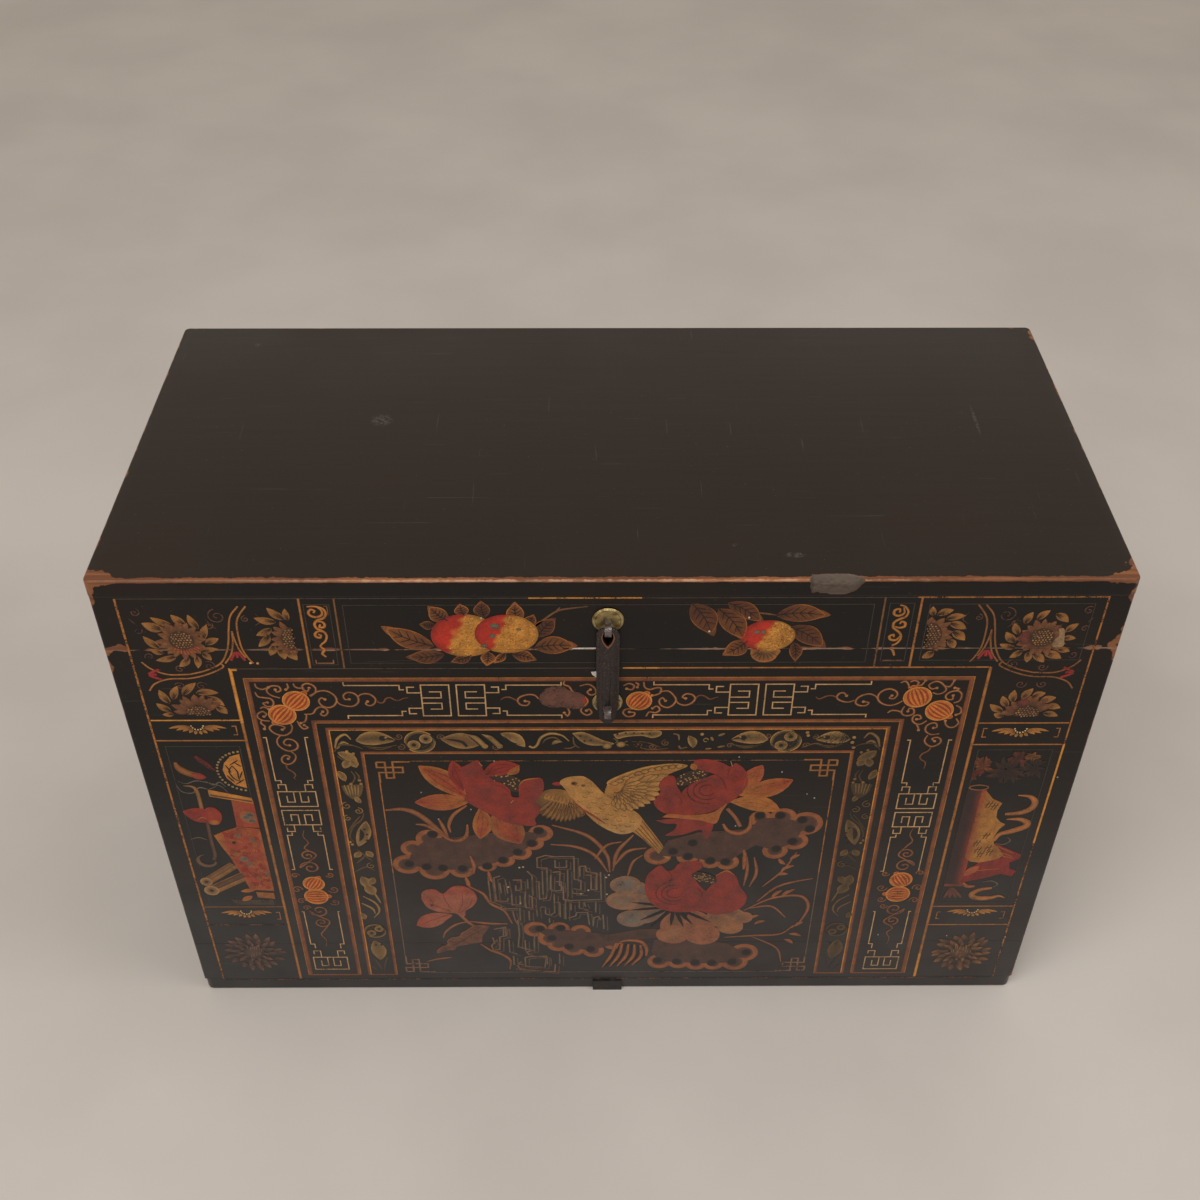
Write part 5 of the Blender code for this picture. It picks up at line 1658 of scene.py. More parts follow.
def corner_brocade(sheet, side):
    """Linked gold circles of a corner of lid and column; side is -1 at the left, 1 at the right"""

    def there(u, v):
        return (side * u, v)

    twist = 0 if side > 0 else 180
    for arch, keep in (
        ([(334.5, 589), (343, 577), (347, 561), (349.5, 547), (353.5, 533), (361.5, 519), (376.5, 510),
          (392.5, 505)], 0.95),
        ([(327.5, 589), (334.5, 579), (338.5, 569), (339.5, 553), (338.5, 537), (334.5, 525), (331, 519)],
         0.85),
        ([(392.5, 505), (412.5, 505), (426.5, 512), (434, 521)], 0.8),
        ([(361.5, 519), (360, 514), (376, 505), (393, 500), (413, 499), (427, 493), (434, 484)], 0.85),
        ([(344.5, 559), (345.5, 547), (349.5, 531), (357, 519)], 0.8),
        ([(344.5, 559), (343.5, 547), (341, 535), (337, 526)], 0.8)
    ):
        tint = OLD_GOLD if side < 0 else mixed(OLD_GOLD, PETAL_BROWN, 0.55)
        sheet.line([there(*p) for p in arch], 1.8, worn(tint, keep), 1)
    red_fan(sheet, there(344.5, 536), -90)
    red_fan(sheet, there(433, 505), 180 + twist)
    faint = worn(hue(92, 60, 46), 0.7)
    for u, v, radius, start, turns in (
        (355, 577, 9.0, 100, -1.4), (365, 566, 5.0, 40, 1.1), (428, 582, 5.0, 60, 1.1),
        (425, 528, 4.5, 200, 1.1), (330, 574, 4.0, 90, -1.2), (429, 560, 4.0, 20, 1.1),
        (372, 516, 6.0, 120, 1.3), (400, 512, 5.0, 20, -1.2), (384, 490, 5.5, 20, -1.2),
        (404, 490, 5.0, 160, 1.2)
    ):
        curl(sheet, there(u, v), radius, start, turns * side, 1.3, faint)
    for stem in (
        [(366, 574), (362, 566), (358, 562)], [(320, 580), (316, 572), (322, 566)], [(434, 574), (430, 568)]
    ):
        sheet.line([there(*p) for p in stem], 1.2, faint, 1, (0.4, 0.4))


LEFT_SCROLL = (
    [(-273, 588.5), (-265, 588.5), (-259, 586), (-257, 580), (-260, 574.5), (-265, 572.5), (-268.5, 568),
     (-267.5, 562.5), (-264, 560), (-260.5, 557), (-259.5, 552), (-261.5, 546.5), (-265, 543), (-267, 540)],
    [(-264, 588), (-260.5, 584), (-260.5, 579), (-265, 576), (-270, 577), (-272.5, 581), (-270, 585),
     (-266.5, 583.5), (-268, 581)],
    [(-267, 570.5), (-262, 570.5), (-259.5, 567), (-261, 563.5), (-264.5, 564), (-263.5, 567)],
    [(-262, 558), (-266, 559), (-269.5, 556), (-269, 552), (-265.5, 551), (-264.5, 554), (-267, 555)],
    [(-267, 540), (-263.5, 536), (-266, 531), (-263, 527)]
)
RIGHT_SCROLL = (
    [(257, 589), (262, 587), (265.5, 581), (264, 575), (259, 572), (254.5, 568), (254.5, 562), (258, 558.5),
     (262, 554), (263, 548), (260, 542), (256, 540)],
    [(261, 586), (262, 579), (257, 576), (253, 578.5), (253.5, 583), (257.5, 584), (258, 580)],
    [(256, 563), (260, 561.5), (264.5, 563), (264.5, 567.5), (261, 569), (260, 566)],
    [(262, 551), (259, 546.5), (254, 547), (252.5, 551), (256, 553), (256.5, 550)],
    [(255, 536), (258, 533), (260, 527)]
)


def s_scrolls(sheet):
    """Columns of three curls on a waving stem, between brackets"""
    for strokes, tint in (
        (LEFT_SCROLL, worn(hue(186, 118, 54), 0.95)), (RIGHT_SCROLL, worn(hue(176, 114, 52), 0.9))
    ):
        for points in strokes:
            sheet.line(points, 2.6, tint, 2, (0.6, 0.7))
    sheet.rule([(-273, 523), (-273, 519), (-257, 519), (-257, 523)], 1.2, hue(150, 96, 70, 0.8))
    sheet.rule([(250, 521), (268, 521)], 1.2, hue(120, 76, 54, 0.7))
    sheet.dots([(-333.7, 519.4), (-327.2, 519)], 1.3, hue(214, 156, 98, 0.95), 3)
    sheet.rule([(-258, 589), (-255, 589), (-255, 578)], 1.0, worn(DULL_GOLD, 0.8))


def leafy(sheet, base, tip, width, bend, glow):
    """Brown leaf with fine veins, whose tip and rim turn gold by the share glow"""
    brown = hue(78, 42, 26)
    gold = hue(176, 108, 48)
    end = mixed(brown, gold, glow)
    sheet.petal(
        base, tip, width, (mixed(brown, SPOT, 0.35), end, mixed(brown, gold, 0.5 * glow)), 2, bend, 0.95
    )
    axis = Vector(tip) - Vector(base)
    across = left_of(axis) / axis.length
    vein = hue(34, 21, 15)

    def spine(share):
        return Vector(base) + axis * share + across * (4 * bend * axis.length * share * (1 - share))

    point = spine(1.0) + axis * 0.12
    sheet.petal(spine(0.66), point, width * 0.5, (brown, end, end), 2, 0.0, 0.7)
    sheet.line([spine(0.02), spine(0.5), spine(0.95)], 0.9, vein, 4, (1, 0.3))
    for share in (0.16, 0.32, 0.48, 0.64):
        for side in (1, -1):
            stop = spine(share + 0.16) + across * side * width * 0.36 * math.sin(math.pi * (share + 0.12))
            sheet.line([spine(share), stop], 0.8, vein, 4, (1, 0.3))
    for side in (1, -1):
        rim = []
        for step in range(3, 11):
            share = step / 10
            half = width / 2 * max(0.02, math.sin(math.pi * share**0.95)) ** 0.75
            rim.append(spine(share) + across * side * half * 0.96)
        sheet.line(rim, 1.0, mixed(brown, gold, min(1.0, glow + 0.35)), 3, (0.2, 1.0))


def fruit(sheet, centre, size, seed, coat, turn):
    """Round fruit, red on its left cheek up to the share turn of its width and ochre beyond, stippled"""
    draw = random.Random(seed)

    def place(s, t):
        angle = 2 * math.pi * s
        return (centre[0] + size[0] * t * math.cos(angle), centre[1] + size[1] * t * math.sin(angle))

    def tint(s, t):
        u, v = place(s, t)
        uneven = 0.24 * waver(u * 0.12, v * 0.16, seed)
        high = 0.35 * (v - centre[1]) / size[1]
        share = clipped(((u - centre[0]) / size[0] - turn - high + uneven) / 0.16)
        shaded = mixed(FRUIT_RED, FRUIT_GOLD, share)
        return worn(mixed(shaded, mixed(shaded, SPOT, 0.45), t**6), 0.97)

    verts = sheet.patch(40, 12, place, tint, coat)
    bmesh.ops.remove_doubles(sheet.mesh, verts=verts, dist=1e-6)
    light = worn(hue(206, 150, 78), 1.0)
    dark = worn(hue(160, 100, 40), 1.0)
    for _ in range(200):
        reach = math.sqrt(draw.random()) * 0.92
        angle = draw.uniform(0, 2 * math.pi)
        across, up = reach * math.cos(angle), reach * math.sin(angle)
        if across - 0.35 * up > turn + 0.1:
            spot = (centre[0] + size[0] * across, centre[1] + size[1] * up)
            sheet.dots([spot], 0.75, draw.choice((light, dark)), coat + 1)


LID_LEAVES = (
    ((-163, 540), (-204, 562), 22, 0.5), ((-160, 566), (-173, 567), 10, 0.1),
    ((-148, 571), (-163, 587), 17, 0.5), ((-133, 577), (-136, 590), 13, 0.5),
    ((-115, 575), (-117, 593), 15, 0.15), ((-85, 569), (-87, 591), 16, 0.55),
    ((-76, 564), (-71, 577), 11, 0.3), ((-68, 551), (-53, 572), 18, 0.05),
    ((-71, 538), (-36, 540), 22, 0.45), ((-154, 530), (-186, 527), 17, 0.2),
    ((-129, 529), (-147, 521), 11, 0.2), ((-114, 533), (-116, 517), 14, 0.7),
    ((-98, 532), (-108, 520), 8, 0.7), ((-92, 530), (-72, 523), 14, 0.35), ((71, 591), (90, 556), 24, 0.15),
    ((95, 585), (119, 550), 23, 0.4), ((103, 592), (133, 571), 18, 0.15),
    ((147, 577), (191, 577), 21, 0.35), ((161, 563), (192, 540), 21, 0.15),
    ((124, 546), (104, 530), 19, 0.4), ((166, 544), (169, 522), 12, 0.25)
)


def lid_fruit():
    """Fruit with leaves on the lid's front, left and right of the hasp"""
    sheet = PaintedSheet()
    for base, tip, width, glow in LID_LEAVES:
        leafy(sheet, base, tip, width, 0.06, glow)
    cup = [(127, 535), (128, 527), (133, 521), (140, 519), (148, 521), (152, 527), (153, 535)]
    sheet.shape(
        cup, [(134, 531), (146, 531)], lambda place, depth: mixed(OCHRE, TWIG, min(1.0, depth / 6)), 3
    )
    for step in range(-3, 4):
        sheet.line(
            [ray((140, 536), 6, -90 + 18 * step), ray((140, 536), 15, -90 + 18 * step)], 1.0, BIRD_DARK, 4,
            (0.6, 0.4)
        )
    fruit(sheet, (-134, 553), (31, 26), 21, 3, -0.36)
    fruit(sheet, (-96, 555), (29, 23.5), 22, 7, -0.3)
    fruit(sheet, (142, 552), (24.5, 19), 23, 3, -0.2)
    grey = (hue(104, 98, 80, 0.85), hue(88, 80, 62, 0.7))
    for spot, size, turn in (
        ((-106, 565), (5.0, 3.4), -10), ((-109, 553), (3.2, 2.6), 0), ((-85, 561), (2.4, 1.6), 0),
        ((-117, 541), (3.6, 2.0), 20), ((131, 557), (3.6, 1.9), 10), ((137, 557), (2.2, 2.8), 0)
    ):
        sheet.disc(spot, size, grey, 11, turn, 5, 0.2)
    for twig in (
        [(-69, 565), (-60, 574), (-49, 583), (-36, 586), (-22, 588)], [(-51, 581), (-47, 587)],
        [(118, 591), (127, 582), (131, 576), (134, 569)], [(129, 580), (138, 579), (148, 577)]
    ):
        sheet.line(twig, 2.2, TWIG, 2, (1, 0.5))
    sheet.dots([(123, 574.5), (88, 558), (-118, 574.5)], 1.0, hue(196, 186, 168, 0.95), 12)
    sheet.hang("fruit_sprays")


def half_flower(sheet, centre, keep, glow=0.0):
    """Two small spread wings that hang from a beaded half-round under a line"""
    gold = worn(mixed(PETAL_GOLD, GOLD, 0.5 + glow), keep)
    root = worn(PETAL_BROWN, keep)
    tints = (root, gold, mixed(gold, root, 0.4))
    left = ((-80, 28), (-71, 22), (-60, 17), (-40, 13.5), (-14, 12.5), (14, 12.5), (40, 13.5))
    right = ((80, 28), (71, 22), (60, 17))
    for side, feathers in ((-1, left), (1, right)):
        for spread, reach in feathers:
            heading = -90 + spread
            tip = ray(centre, reach, heading + 2 * side)
            sheet.petal(ray(centre, 7, heading), tip, 3.4, tints, 2, 0.05 * side)
    beads = [ray(centre, 5.8, -90 + 28 * step) for step in range(-3, 4)]
    sheet.dots(beads, 0.9, worn(PALE_DOT, keep), 4)


def lid_and_columns():
    """Brocade corners, scrolls and small flowers of the lid band and the outer columns"""
    sheet = PaintedSheet()
    corner_brocade(sheet, -1)
    corner_brocade(sheet, 1)
    corner_rosettes(sheet)
    s_scrolls(sheet)
    half_flower(sheet, (-398, 437), 0.95)
    half_flower(sheet, (396, 430), 0.92)
    half_flower(sheet, (-397, 147), 0.86, 0.3)
    half_flower(sheet, (398, 145), 0.92, 0.2)
    rosette(sheet, (-400, 71), 35, (hue(132, 92, 74), hue(88, 64, 54)), 31)
    rosette(sheet, (398, 67), 36, (hue(160, 110, 62), hue(104, 70, 48)), 32)
    sheet.hang("brocade_and_flowers")


# The middle picture


def lotus_tone(place):
    """Lotus red with dusky clouds"""
    dusk = waver(place.x * 0.06, place.y * 0.06, 5.0)
    return mixed(LOTUS_RED, DUSKY_RED, clipped(0.5 + dusk))


def veined_petal(sheet, base, tip, width, tints, coat, bend, belly):
    """Lotus petal with fine lines running to its tip"""
    sheet.petal(base, tip, width, tints, coat, bend, belly)
    axis = Vector(tip) - Vector(base)
    across = left_of(axis) / axis.length
    line = worn(mixed(tints[0], SPOT, 0.3), 0.75)
    for share in (-0.26, 0.0, 0.26):
        middle = Vector(base) + axis * 0.5 + across * (bend * axis.length + share * width)
        sheet.line(
            [Vector(base) + axis * 0.1, middle, Vector(base) + axis * 0.92], 0.6, line, coat + 1, (0.6, 0.2)
        )


RED_PETAL = (LOTUS_DEEP, LOTUS_RED, LOTUS_RED)


def stamens(sheet, centre, size, turn, seed, coat=3):
    """Dark heart of a lotus with gold specks"""
    draw = random.Random(seed)
    sheet.disc(centre, size, (hue(48, 34, 28), hue(60, 40, 32)), coat, turn)
    ahead = Vector(ray((0, 0), 1, turn))
    aside = left_of(ahead)
    specks = []
    for _ in range(34):
        reach = math.sqrt(draw.random()) * 0.92
        angle = draw.uniform(0, 2 * math.pi)
        out = ahead * (size[0] * reach * math.cos(angle)) + aside * (size[1] * reach * math.sin(angle))
        specks.append(Vector(centre) + out)
    sheet.dots(specks, 0.9, hue(166, 124, 66), coat + 1)


def petal_swirl(sheet, centre, coat):
    """Faint dark strokes that curl round the heart of a petal"""
    for radius, start, stop in ((8, 60, 330), (14, 90, 310), (20, 110, 280)):
        sheet.rule(arc_run(centre, radius, start, stop), 1.3, worn(hue(98, 34, 28), 0.7), coat, (0.3, 0.3))


def left_lotus(sheet):
    """Open lotus left of the bird"""
    stamens(sheet, (-102, 354), (20, 11), -28, 41)
    for base, tip, width, tints, coat, bend, belly in (
        ((-128, 364), (-90, 379), 21, RED_PETAL, 4, 0.1, 1.1),
        ((-103, 366), (-91, 379), 9, (OCHRE, OCHRE, SALMON), 5, -0.1, 1.0),
        ((-148, 342), (-156.5, 387), 17, RED_PETAL, 4, 0.0, 1.1),
        ((-145, 331), (-190, 379), 27, (LOTUS_RED, mixed(LOTUS_RED, OCHRE, 0.4), OCHRE), 4, -0.04, 1.1),
        ((-141, 327), (-198, 325), 25, (OCHRE, LOTUS_RED, mixed(OCHRE, SALMON, 0.6)), 4, 0.02, 1.1),
        ((-132, 318), (-135, 268), 21, (mixed(OCHRE, LOTUS_RED, 0.4), mixed(LOTUS_RED, SALMON, 0.4), OCHRE),
         5, 0.05, 1.15),
        ((-120, 308), (-93, 260), 33, (mixed(OCHRE, LOTUS_RED, 0.5), LOTUS_RED, mixed(OCHRE, LEAF, 0.4)), 6,
         0.0, 1.1)
    ):
        veined_petal(sheet, base, tip, width, tints, coat, bend, belly)
    top = [(-146, 340), (-150, 372), (-143, 380), (-131, 387), (-126, 372), (-119, 360), (-112, 348)]
    sheet.fill(top, lotus_tone, 5)
    right = [(-92, 326), (-92, 350), (-86, 358), (-70, 361), (-67, 347), (-72, 333), (-80, 322)]
    sheet.fill(right, lotus_tone, 6)
    bowl = [
        (-148, 328), (-143, 342), (-128, 355), (-112, 355), (-102, 345), (-99, 333), (-88, 331), (-74, 322)
    ]
    bowl += [(-72, 310), (-77, 299), (-77, 289), (-92, 289), (-108, 294), (-120, 304), (-133, 314)]
    sheet.fill(bowl, lotus_tone, 7)
    sheet.line([(-92, 350), (-86, 358), (-72, 361)], 1.8, OCHRE, 8, (0.3, 0.3))
    sheet.line([(-118, 352), (-106, 346), (-100, 334)], 1.2, worn(LOTUS_DEEP, 0.9), 8, (0.3, 0.3))


def right_lotus(sheet):
    """Open lotus right of the bird"""
    stamens(sheet, (80, 361), (18, 9.5), 28, 43)
    for base, tip, width, tints, coat, bend, belly in (
        ((134, 336), (150, 379), 20, (OCHRE, mixed(LOTUS_RED, OCHRE, 0.3), SALMON), 4, 0.05, 1.15),
        ((130, 334), (182, 357), 25, (OCHRE, LOTUS_RED, mixed(OCHRE, SALMON, 0.3)), 5, -0.03, 1.1),
        ((120, 325), (173, 311), 23, (OCHRE, mixed(OCHRE, SALMON, 0.3), OCHRE), 4, 0.08, 1.15),
        ((84, 372), (80, 381), 7, (OCHRE, OCHRE, OCHRE), 6, 0.0, 1.0)
    ):
        veined_petal(sheet, base, tip, width, tints, coat, bend, belly)
    main = [
        (104, 366), (92, 371), (82, 376), (83, 386), (95, 387.5), (109, 383), (118, 377), (123, 382),
        (131, 375)
    ]
    main += [
        (137, 362), (136, 347), (128, 332), (117, 320), (100, 308), (76, 304), (56, 307), (46, 317),
        (44, 327)
    ]
    main += [(52, 330), (68, 334), (75, 345), (88, 357)]
    sheet.fill(main, lotus_tone, 5)
    left = [(44, 327), (50, 339), (48, 350), (54, 362), (63, 363), (66, 350), (71, 337), (72, 322)]
    sheet.fill(left, lotus_tone, 7)
    skirt = [
        (46, 296), (56, 291), (68, 290), (65, 280), (57, 272), (74, 273), (93, 281), (96, 270), (101, 267),
        (106, 290)
    ]
    sheet.fill(skirt + [(96, 296), (74, 299)], lotus_tone, 4)
    collar = [
        (53, 301), (61, 306), (82, 304), (104, 308), (118, 322), (113, 308), (108, 291), (92, 296),
        (70, 299)
    ]
    sheet.fill(collar, lambda place: mixed(OCHRE, SALMON, 0.35), 6)
    for crease in (
        [(68, 336), (72, 326), (70, 318)], [(104, 366), (112, 356), (116, 342)], [(118, 377), (116, 366)]
    ):
        sheet.line(crease, 1.2, worn(LOTUS_DEEP, 0.9), 8, (0.3, 0.3))
    petal_swirl(sheet, (97, 342), 8)
    sheet.line([(119, 314), (128, 300), (134, 286)], 4.2, REED, 6)


def low_lotus(sheet):
    """Lotus near the foot with its pale outer petals spread"""
    grey_rim = mixed(GREY_PETAL, OCHRE, 0.55)
    tan_rim = mixed(PALE_PETAL, SALMON, 0.4)
    for root, end, size, tints in (
        ((60, 160), (17, 190), 17, (GREY_PETAL, grey_rim)),
        ((60, 152), (14, 163), 18, (mixed(GREY_PETAL, OCHRE, 0.25), grey_rim)),
        ((62, 146), (25, 131), 17, (GREY_PETAL, mixed(GREY_PETAL, PALE_PETAL, 0.6))),
        ((74, 146), (71, 102), 19, (PALE_PETAL, tan_rim)),
        ((92, 146), (104, 101), 20, (mixed(PALE_PETAL, SALMON, 0.35), tan_rim)),
        ((108, 146), (134, 116), 15, (mixed(PALE_PETAL, OCHRE, 0.3), PALE_PETAL)),
        ((120, 150), (147, 132), 11, (mixed(PALE_PETAL, LEAF, 0.3), PALE_PETAL))
    ):
        sheet.petal(
            root, Vector(root).lerp(Vector(end), 1.25), size * 1.7,
            (mixed(tints[0], LEAF, 0.6), tints[0], tints[1]), 3
        )
        sheet.disc(end, (size, size * 0.92), tints, 4, 0, 3, 0.05)
    for tip in ((24, 160), (22, 146), (34, 128), (46, 116), (68, 118), (82, 116), (92, 120), (112, 124)):
        sheet.line([(70, 152), Vector((70, 152)).lerp(Vector(tip), 0.55), tip], 4.2, SPOT, 5, (0.3, 0.15))
    left = [
        (44, 160), (38, 180), (39, 204), (46, 216), (54, 223), (61, 214), (68, 217), (74, 227), (94, 230),
        (98, 220)
    ]
    left += [(90, 208), (96, 190), (112, 166), (104, 148), (78, 142), (56, 148)]
    sheet.fill(left, lotus_tone, 6)
    right = [
        (92, 148), (100, 172), (112, 196), (114, 207), (124, 214), (134, 206), (140, 188), (149, 168),
        (142, 148), (118, 138)
    ]
    sheet.fill(right, lotus_tone, 8)
    sheet.line([(113, 206), (124, 214), (133, 207)], 1.8, OCHRE, 9, (0.3, 0.3))
    for crease in ([(62, 214), (66, 204), (64, 194)], [(94, 186), (100, 174), (98, 160)]):
        sheet.line(crease, 1.2, worn(LOTUS_DEEP, 0.9), 9, (0.3, 0.3))
    petal_swirl(sheet, (70, 176), 7)
    stamens(sheet, (101, 202), (15, 8), -28, 45, 10)


BUD_HEART = [
    (-204, 166.5), (-203, 177), (-197, 183), (-188, 183), (-181.5, 176.5), (-178, 177.5), (-170.5, 186.5),
    (-162.5, 189.5), (-153.5, 186.5), (-146, 178), (-143.5, 166.5), (-149, 154), (-157, 146), (-158, 138),
    (-162.5, 135), (-168, 141), (-178.5, 142.5), (-188.5, 145), (-198.5, 152)
]
BUD_PETAL = [
    (-213, 119.5), (-210, 130.5), (-204, 137.5), (-193, 142), (-178, 141), (-172.5, 137.5), (-178.5, 130.5),
    (-186, 121.5), (-196.5, 116), (-206.5, 116.5)
]
RAGGED_LEAF = [
    (-132, 119), (-139, 119.5), (-150, 118), (-158, 110.5), (-163.5, 106), (-167, 99), (-175, 97),
    (-180.5, 91), (-180.5, 84.5), (-188.5, 79), (-194, 72), (-193, 68), (-182.5, 73), (-174, 74.5),
    (-169.5, 81), (-160.5, 83.5), (-150, 87), (-142.5, 89), (-141, 100), (-135.5, 110.5)
]


def bud(sheet):
    """Half-open flower at the left, with a drooping ragged leaf under it"""
    pink = hue(152, 86, 64)
    red = mixed(LOTUS_RED, pink, 0.4)
    line = mixed(red, SPOT, 0.25)

    def flush(place):
        drift = waver(place.x * 0.07, place.y * 0.07, 2.0)
        return mixed(pink, red, clipped((place.y - 168) / 24 + drift))

    sheet.fill(BUD_PETAL, lambda place: mixed(pink, red, clipped((-190 - place.x) / 24)), 4)
    sheet.fill(BUD_HEART, flush, 5)
    for points in (
        [(-180, 176), (-178, 164), (-172, 148)], [(-166, 142), (-160, 160), (-159, 180)],
        [(-164, 142), (-152, 156), (-149, 168)], [(-174, 145), (-190, 156), (-195, 170)],
        [(-176, 139), (-192, 131), (-207, 122)]
    ):
        sheet.line(points, 0.9, line, 6, (0.9, 0.3))
    sheet.line(BUD_HEART[5:11], 1.7, red, 6, (0.4, 0.4))
    sheet.disc((-193.5, 156), (1.8, 1.8), (SPOT, line), 6)
    sheet.line([(-163, 138), (-156, 126), (-150, 119)], 4.2, REED, 3)
    brown = hue(118, 74, 55)

    def dusky(place):
        drift = waver(place.x * 0.16, place.y * 0.16, 6.0)
        return mixed(brown, mixed(brown, SPOT, 0.5), clipped(0.35 + drift))

    sheet.fill(RAGGED_LEAF, dusky, 4)
    sheet.line(RAGGED_LEAF[1:11], 1.5, mixed(brown, REED, 0.7), 5)
    sheet.line(
        [(-138, 114), (-152, 103), (-168, 88), (-190, 72)], 1.1, mixed(brown, SPOT, 0.6), 5, (1, 0.4)
    )
    for share in range(5):
        u = -145 - 8.5 * share
        v = 108.5 - 7.3 * share
        for turn in (-1, 1):
            rib = [(u, v), (u - 6 + turn * 5, v - 1 - turn * 7)]
            sheet.line(rib, 0.8, mixed(brown, SPOT, 0.5), 5, (1, 0.3))


def scalloped_leaf(sheet, ring, dots):
    """Lotus leaf: a brown field through the points of a ring, with a lobe where one has a radius, all in one
    broad ochre rim, and dark dots"""
    dark = worn(SPOT, 0.95)

    def tone(place):
        wave = waver(place.x * 0.11, place.y * 0.11, 3.0)
        streak = waver(place.x * 0.5, place.y * 0.09, 8.0)
        return mixed(LEAF, mixed(LEAF, SPOT, 0.4), clipped(0.3 + wave + 0.4 * streak))

    lobes = [point for point in ring if point[2]]
    for u, v, radius in lobes:
        sheet.disc((u, v), (radius, radius), (LEAF_RIM, mixed(LEAF_RIM, LEAF, 0.25)), 1, fall=6)
    for u, v, radius in lobes:
        inner = radius - LEAF_RIM_WIDTH
        middle = tone(Vector((u, v)))
        sheet.disc((u, v), (inner, inner), (middle, mixed(LEAF, LEAF_RIM, 0.35)), 2, fall=6)
    sheet.fill([point[:2] for point in ring], tone, 3, smooth=False)
    for spot in dots:
        sheet.disc(spot, (5.8, 6.2), (dark, mixed(dark, LEAF, 0.6)), 4, fall=6)


def lotus_leaves(sheet):
    """Four scalloped leaves of the picture"""
    scalloped_leaf(
        sheet,
        [(-188, 268, 14), (-206, 252, 13), (-214, 226, 15.5), (-186, 217, 16.5), (-157, 217, 13.5),
         (-130, 224, 10.5), (-112, 233, 12), (-94, 245, 12), (-80, 260, 11), (-72, 276, 13), (-96, 280, 0),
         (-130, 276, 0), (-160, 270, 0)],
        ((-184, 275), (-212, 227), (-194, 222), (-177, 220), (-156, 219), (-130, 223), (-113, 233),
         (-97, 246), (-82, 260), (-74, 280))
    )
    scalloped_leaf(
        sheet,
        [(154, 298, 12), (177, 300, 14), (201, 290, 18), (193, 262, 13.5), (173, 247, 13.5), (152, 256, 0),
         (138, 243, 0), (124, 228, 12.5), (106, 230, 12), (82, 237, 12), (50, 239, 14.5), (60, 264, 0),
         (92, 277, 0), (126, 280, 0), (143, 282, 0)],
        ((153, 303), (174, 303), (197, 296), (206, 282), (190, 262), (174, 250), (122, 229), (106, 231),
         (82, 238), (66, 246), (86, 260))
    )
    scalloped_leaf(
        sheet,
        [(-82, 112, 13.5), (-56, 112, 12.5), (-32, 108, 11.5), (0, 102, 0), (34, 112, 0), (62, 112, 0),
         (76, 98, 0), (40, 94, 0), (4, 84, 10), (-18, 72, 12.5), (-40, 76, 13.5), (-57, 84, 13),
         (-66, 95, 14)],
        ((-77, 113), (-54, 114), (-64, 96), (-45, 80), (-21, 75))
    )
    scalloped_leaf(
        sheet,
        [(57, 51, 13.5), (79, 50, 12.5), (99, 47, 12.5), (119, 47, 12.5), (143, 49, 15), (152, 67, 16.5),
         (134, 84, 0), (104, 92, 0), (74, 96, 0), (50, 92, 0), (48, 70, 0)],
        ((55, 53), (77, 51), (98, 49), (117, 48), (140, 50), (155, 68))
    )
    for rim, width in (
        ([(-146, 320), (-160, 306), (-166, 290), (-165, 278)], 4.2),
        ([(-176, 276), (-166, 266), (-157, 265), (-149, 273), (-147, 290)], 5.0),
        ([(-145, 210), (-144, 224), (-147, 240)], 4.0),
        ([(116, 290), (122, 279), (134, 275), (143, 283), (144, 299)], 5.5),
        ([(140, 248), (142, 238), (142, 216)], 5.0),
        ([(42, 62), (42, 76), (36, 88), (22, 91), (12, 88)], 5.0),
        ([(-154, 205), (-152, 196), (-150, 190)], 4.4), ([(-129, 214), (-128, 204), (-126, 196)], 4.4)
    ):
        sheet.line(rim, width, LEAF_RIM, 5, (0.5, 0.4))
    for step in range(5):
        shift = 8.5 * step
        sheet.line(
            [(12 + shift * 0.8, 84 - step), (6 + shift, 62), (-4 + shift, 42 + step)], 2.2, SPOT, 4,
            (0.6, 0.3)
        )
        sheet.line(
            [(8 + shift * 0.8, 86 - step), (2 + shift, 62), (-8 + shift, 40 + step)], 4.2, LEAF_RIM, 5,
            (0.6, 0.3)
        )


WING_EDGE = [
    (-3.3, 352), (-1.7, 356), (8, 363), (21.7, 370.5), (35, 376), (53, 380), (65, 381), (75, 379.5)
]
WING_WRIST = (4, 344)
WING_REACH = [
    (-108, 19), (-82, 31), (-64, 38), (-48, 39), (-28, 43), (-13, 47), (6, 47), (19, 53), (24, 64), (28, 79)
]


def wing_reach(degrees):
    """How far the raised wing's fringe is from its wrist in one direction"""
    for (low, near), (high, far) in zip(WING_REACH, WING_REACH[1:]):
        if degrees <= high:
            return near + (far - near) * max(0.0, degrees - low) / (high - low)
    return WING_REACH[-1][1]


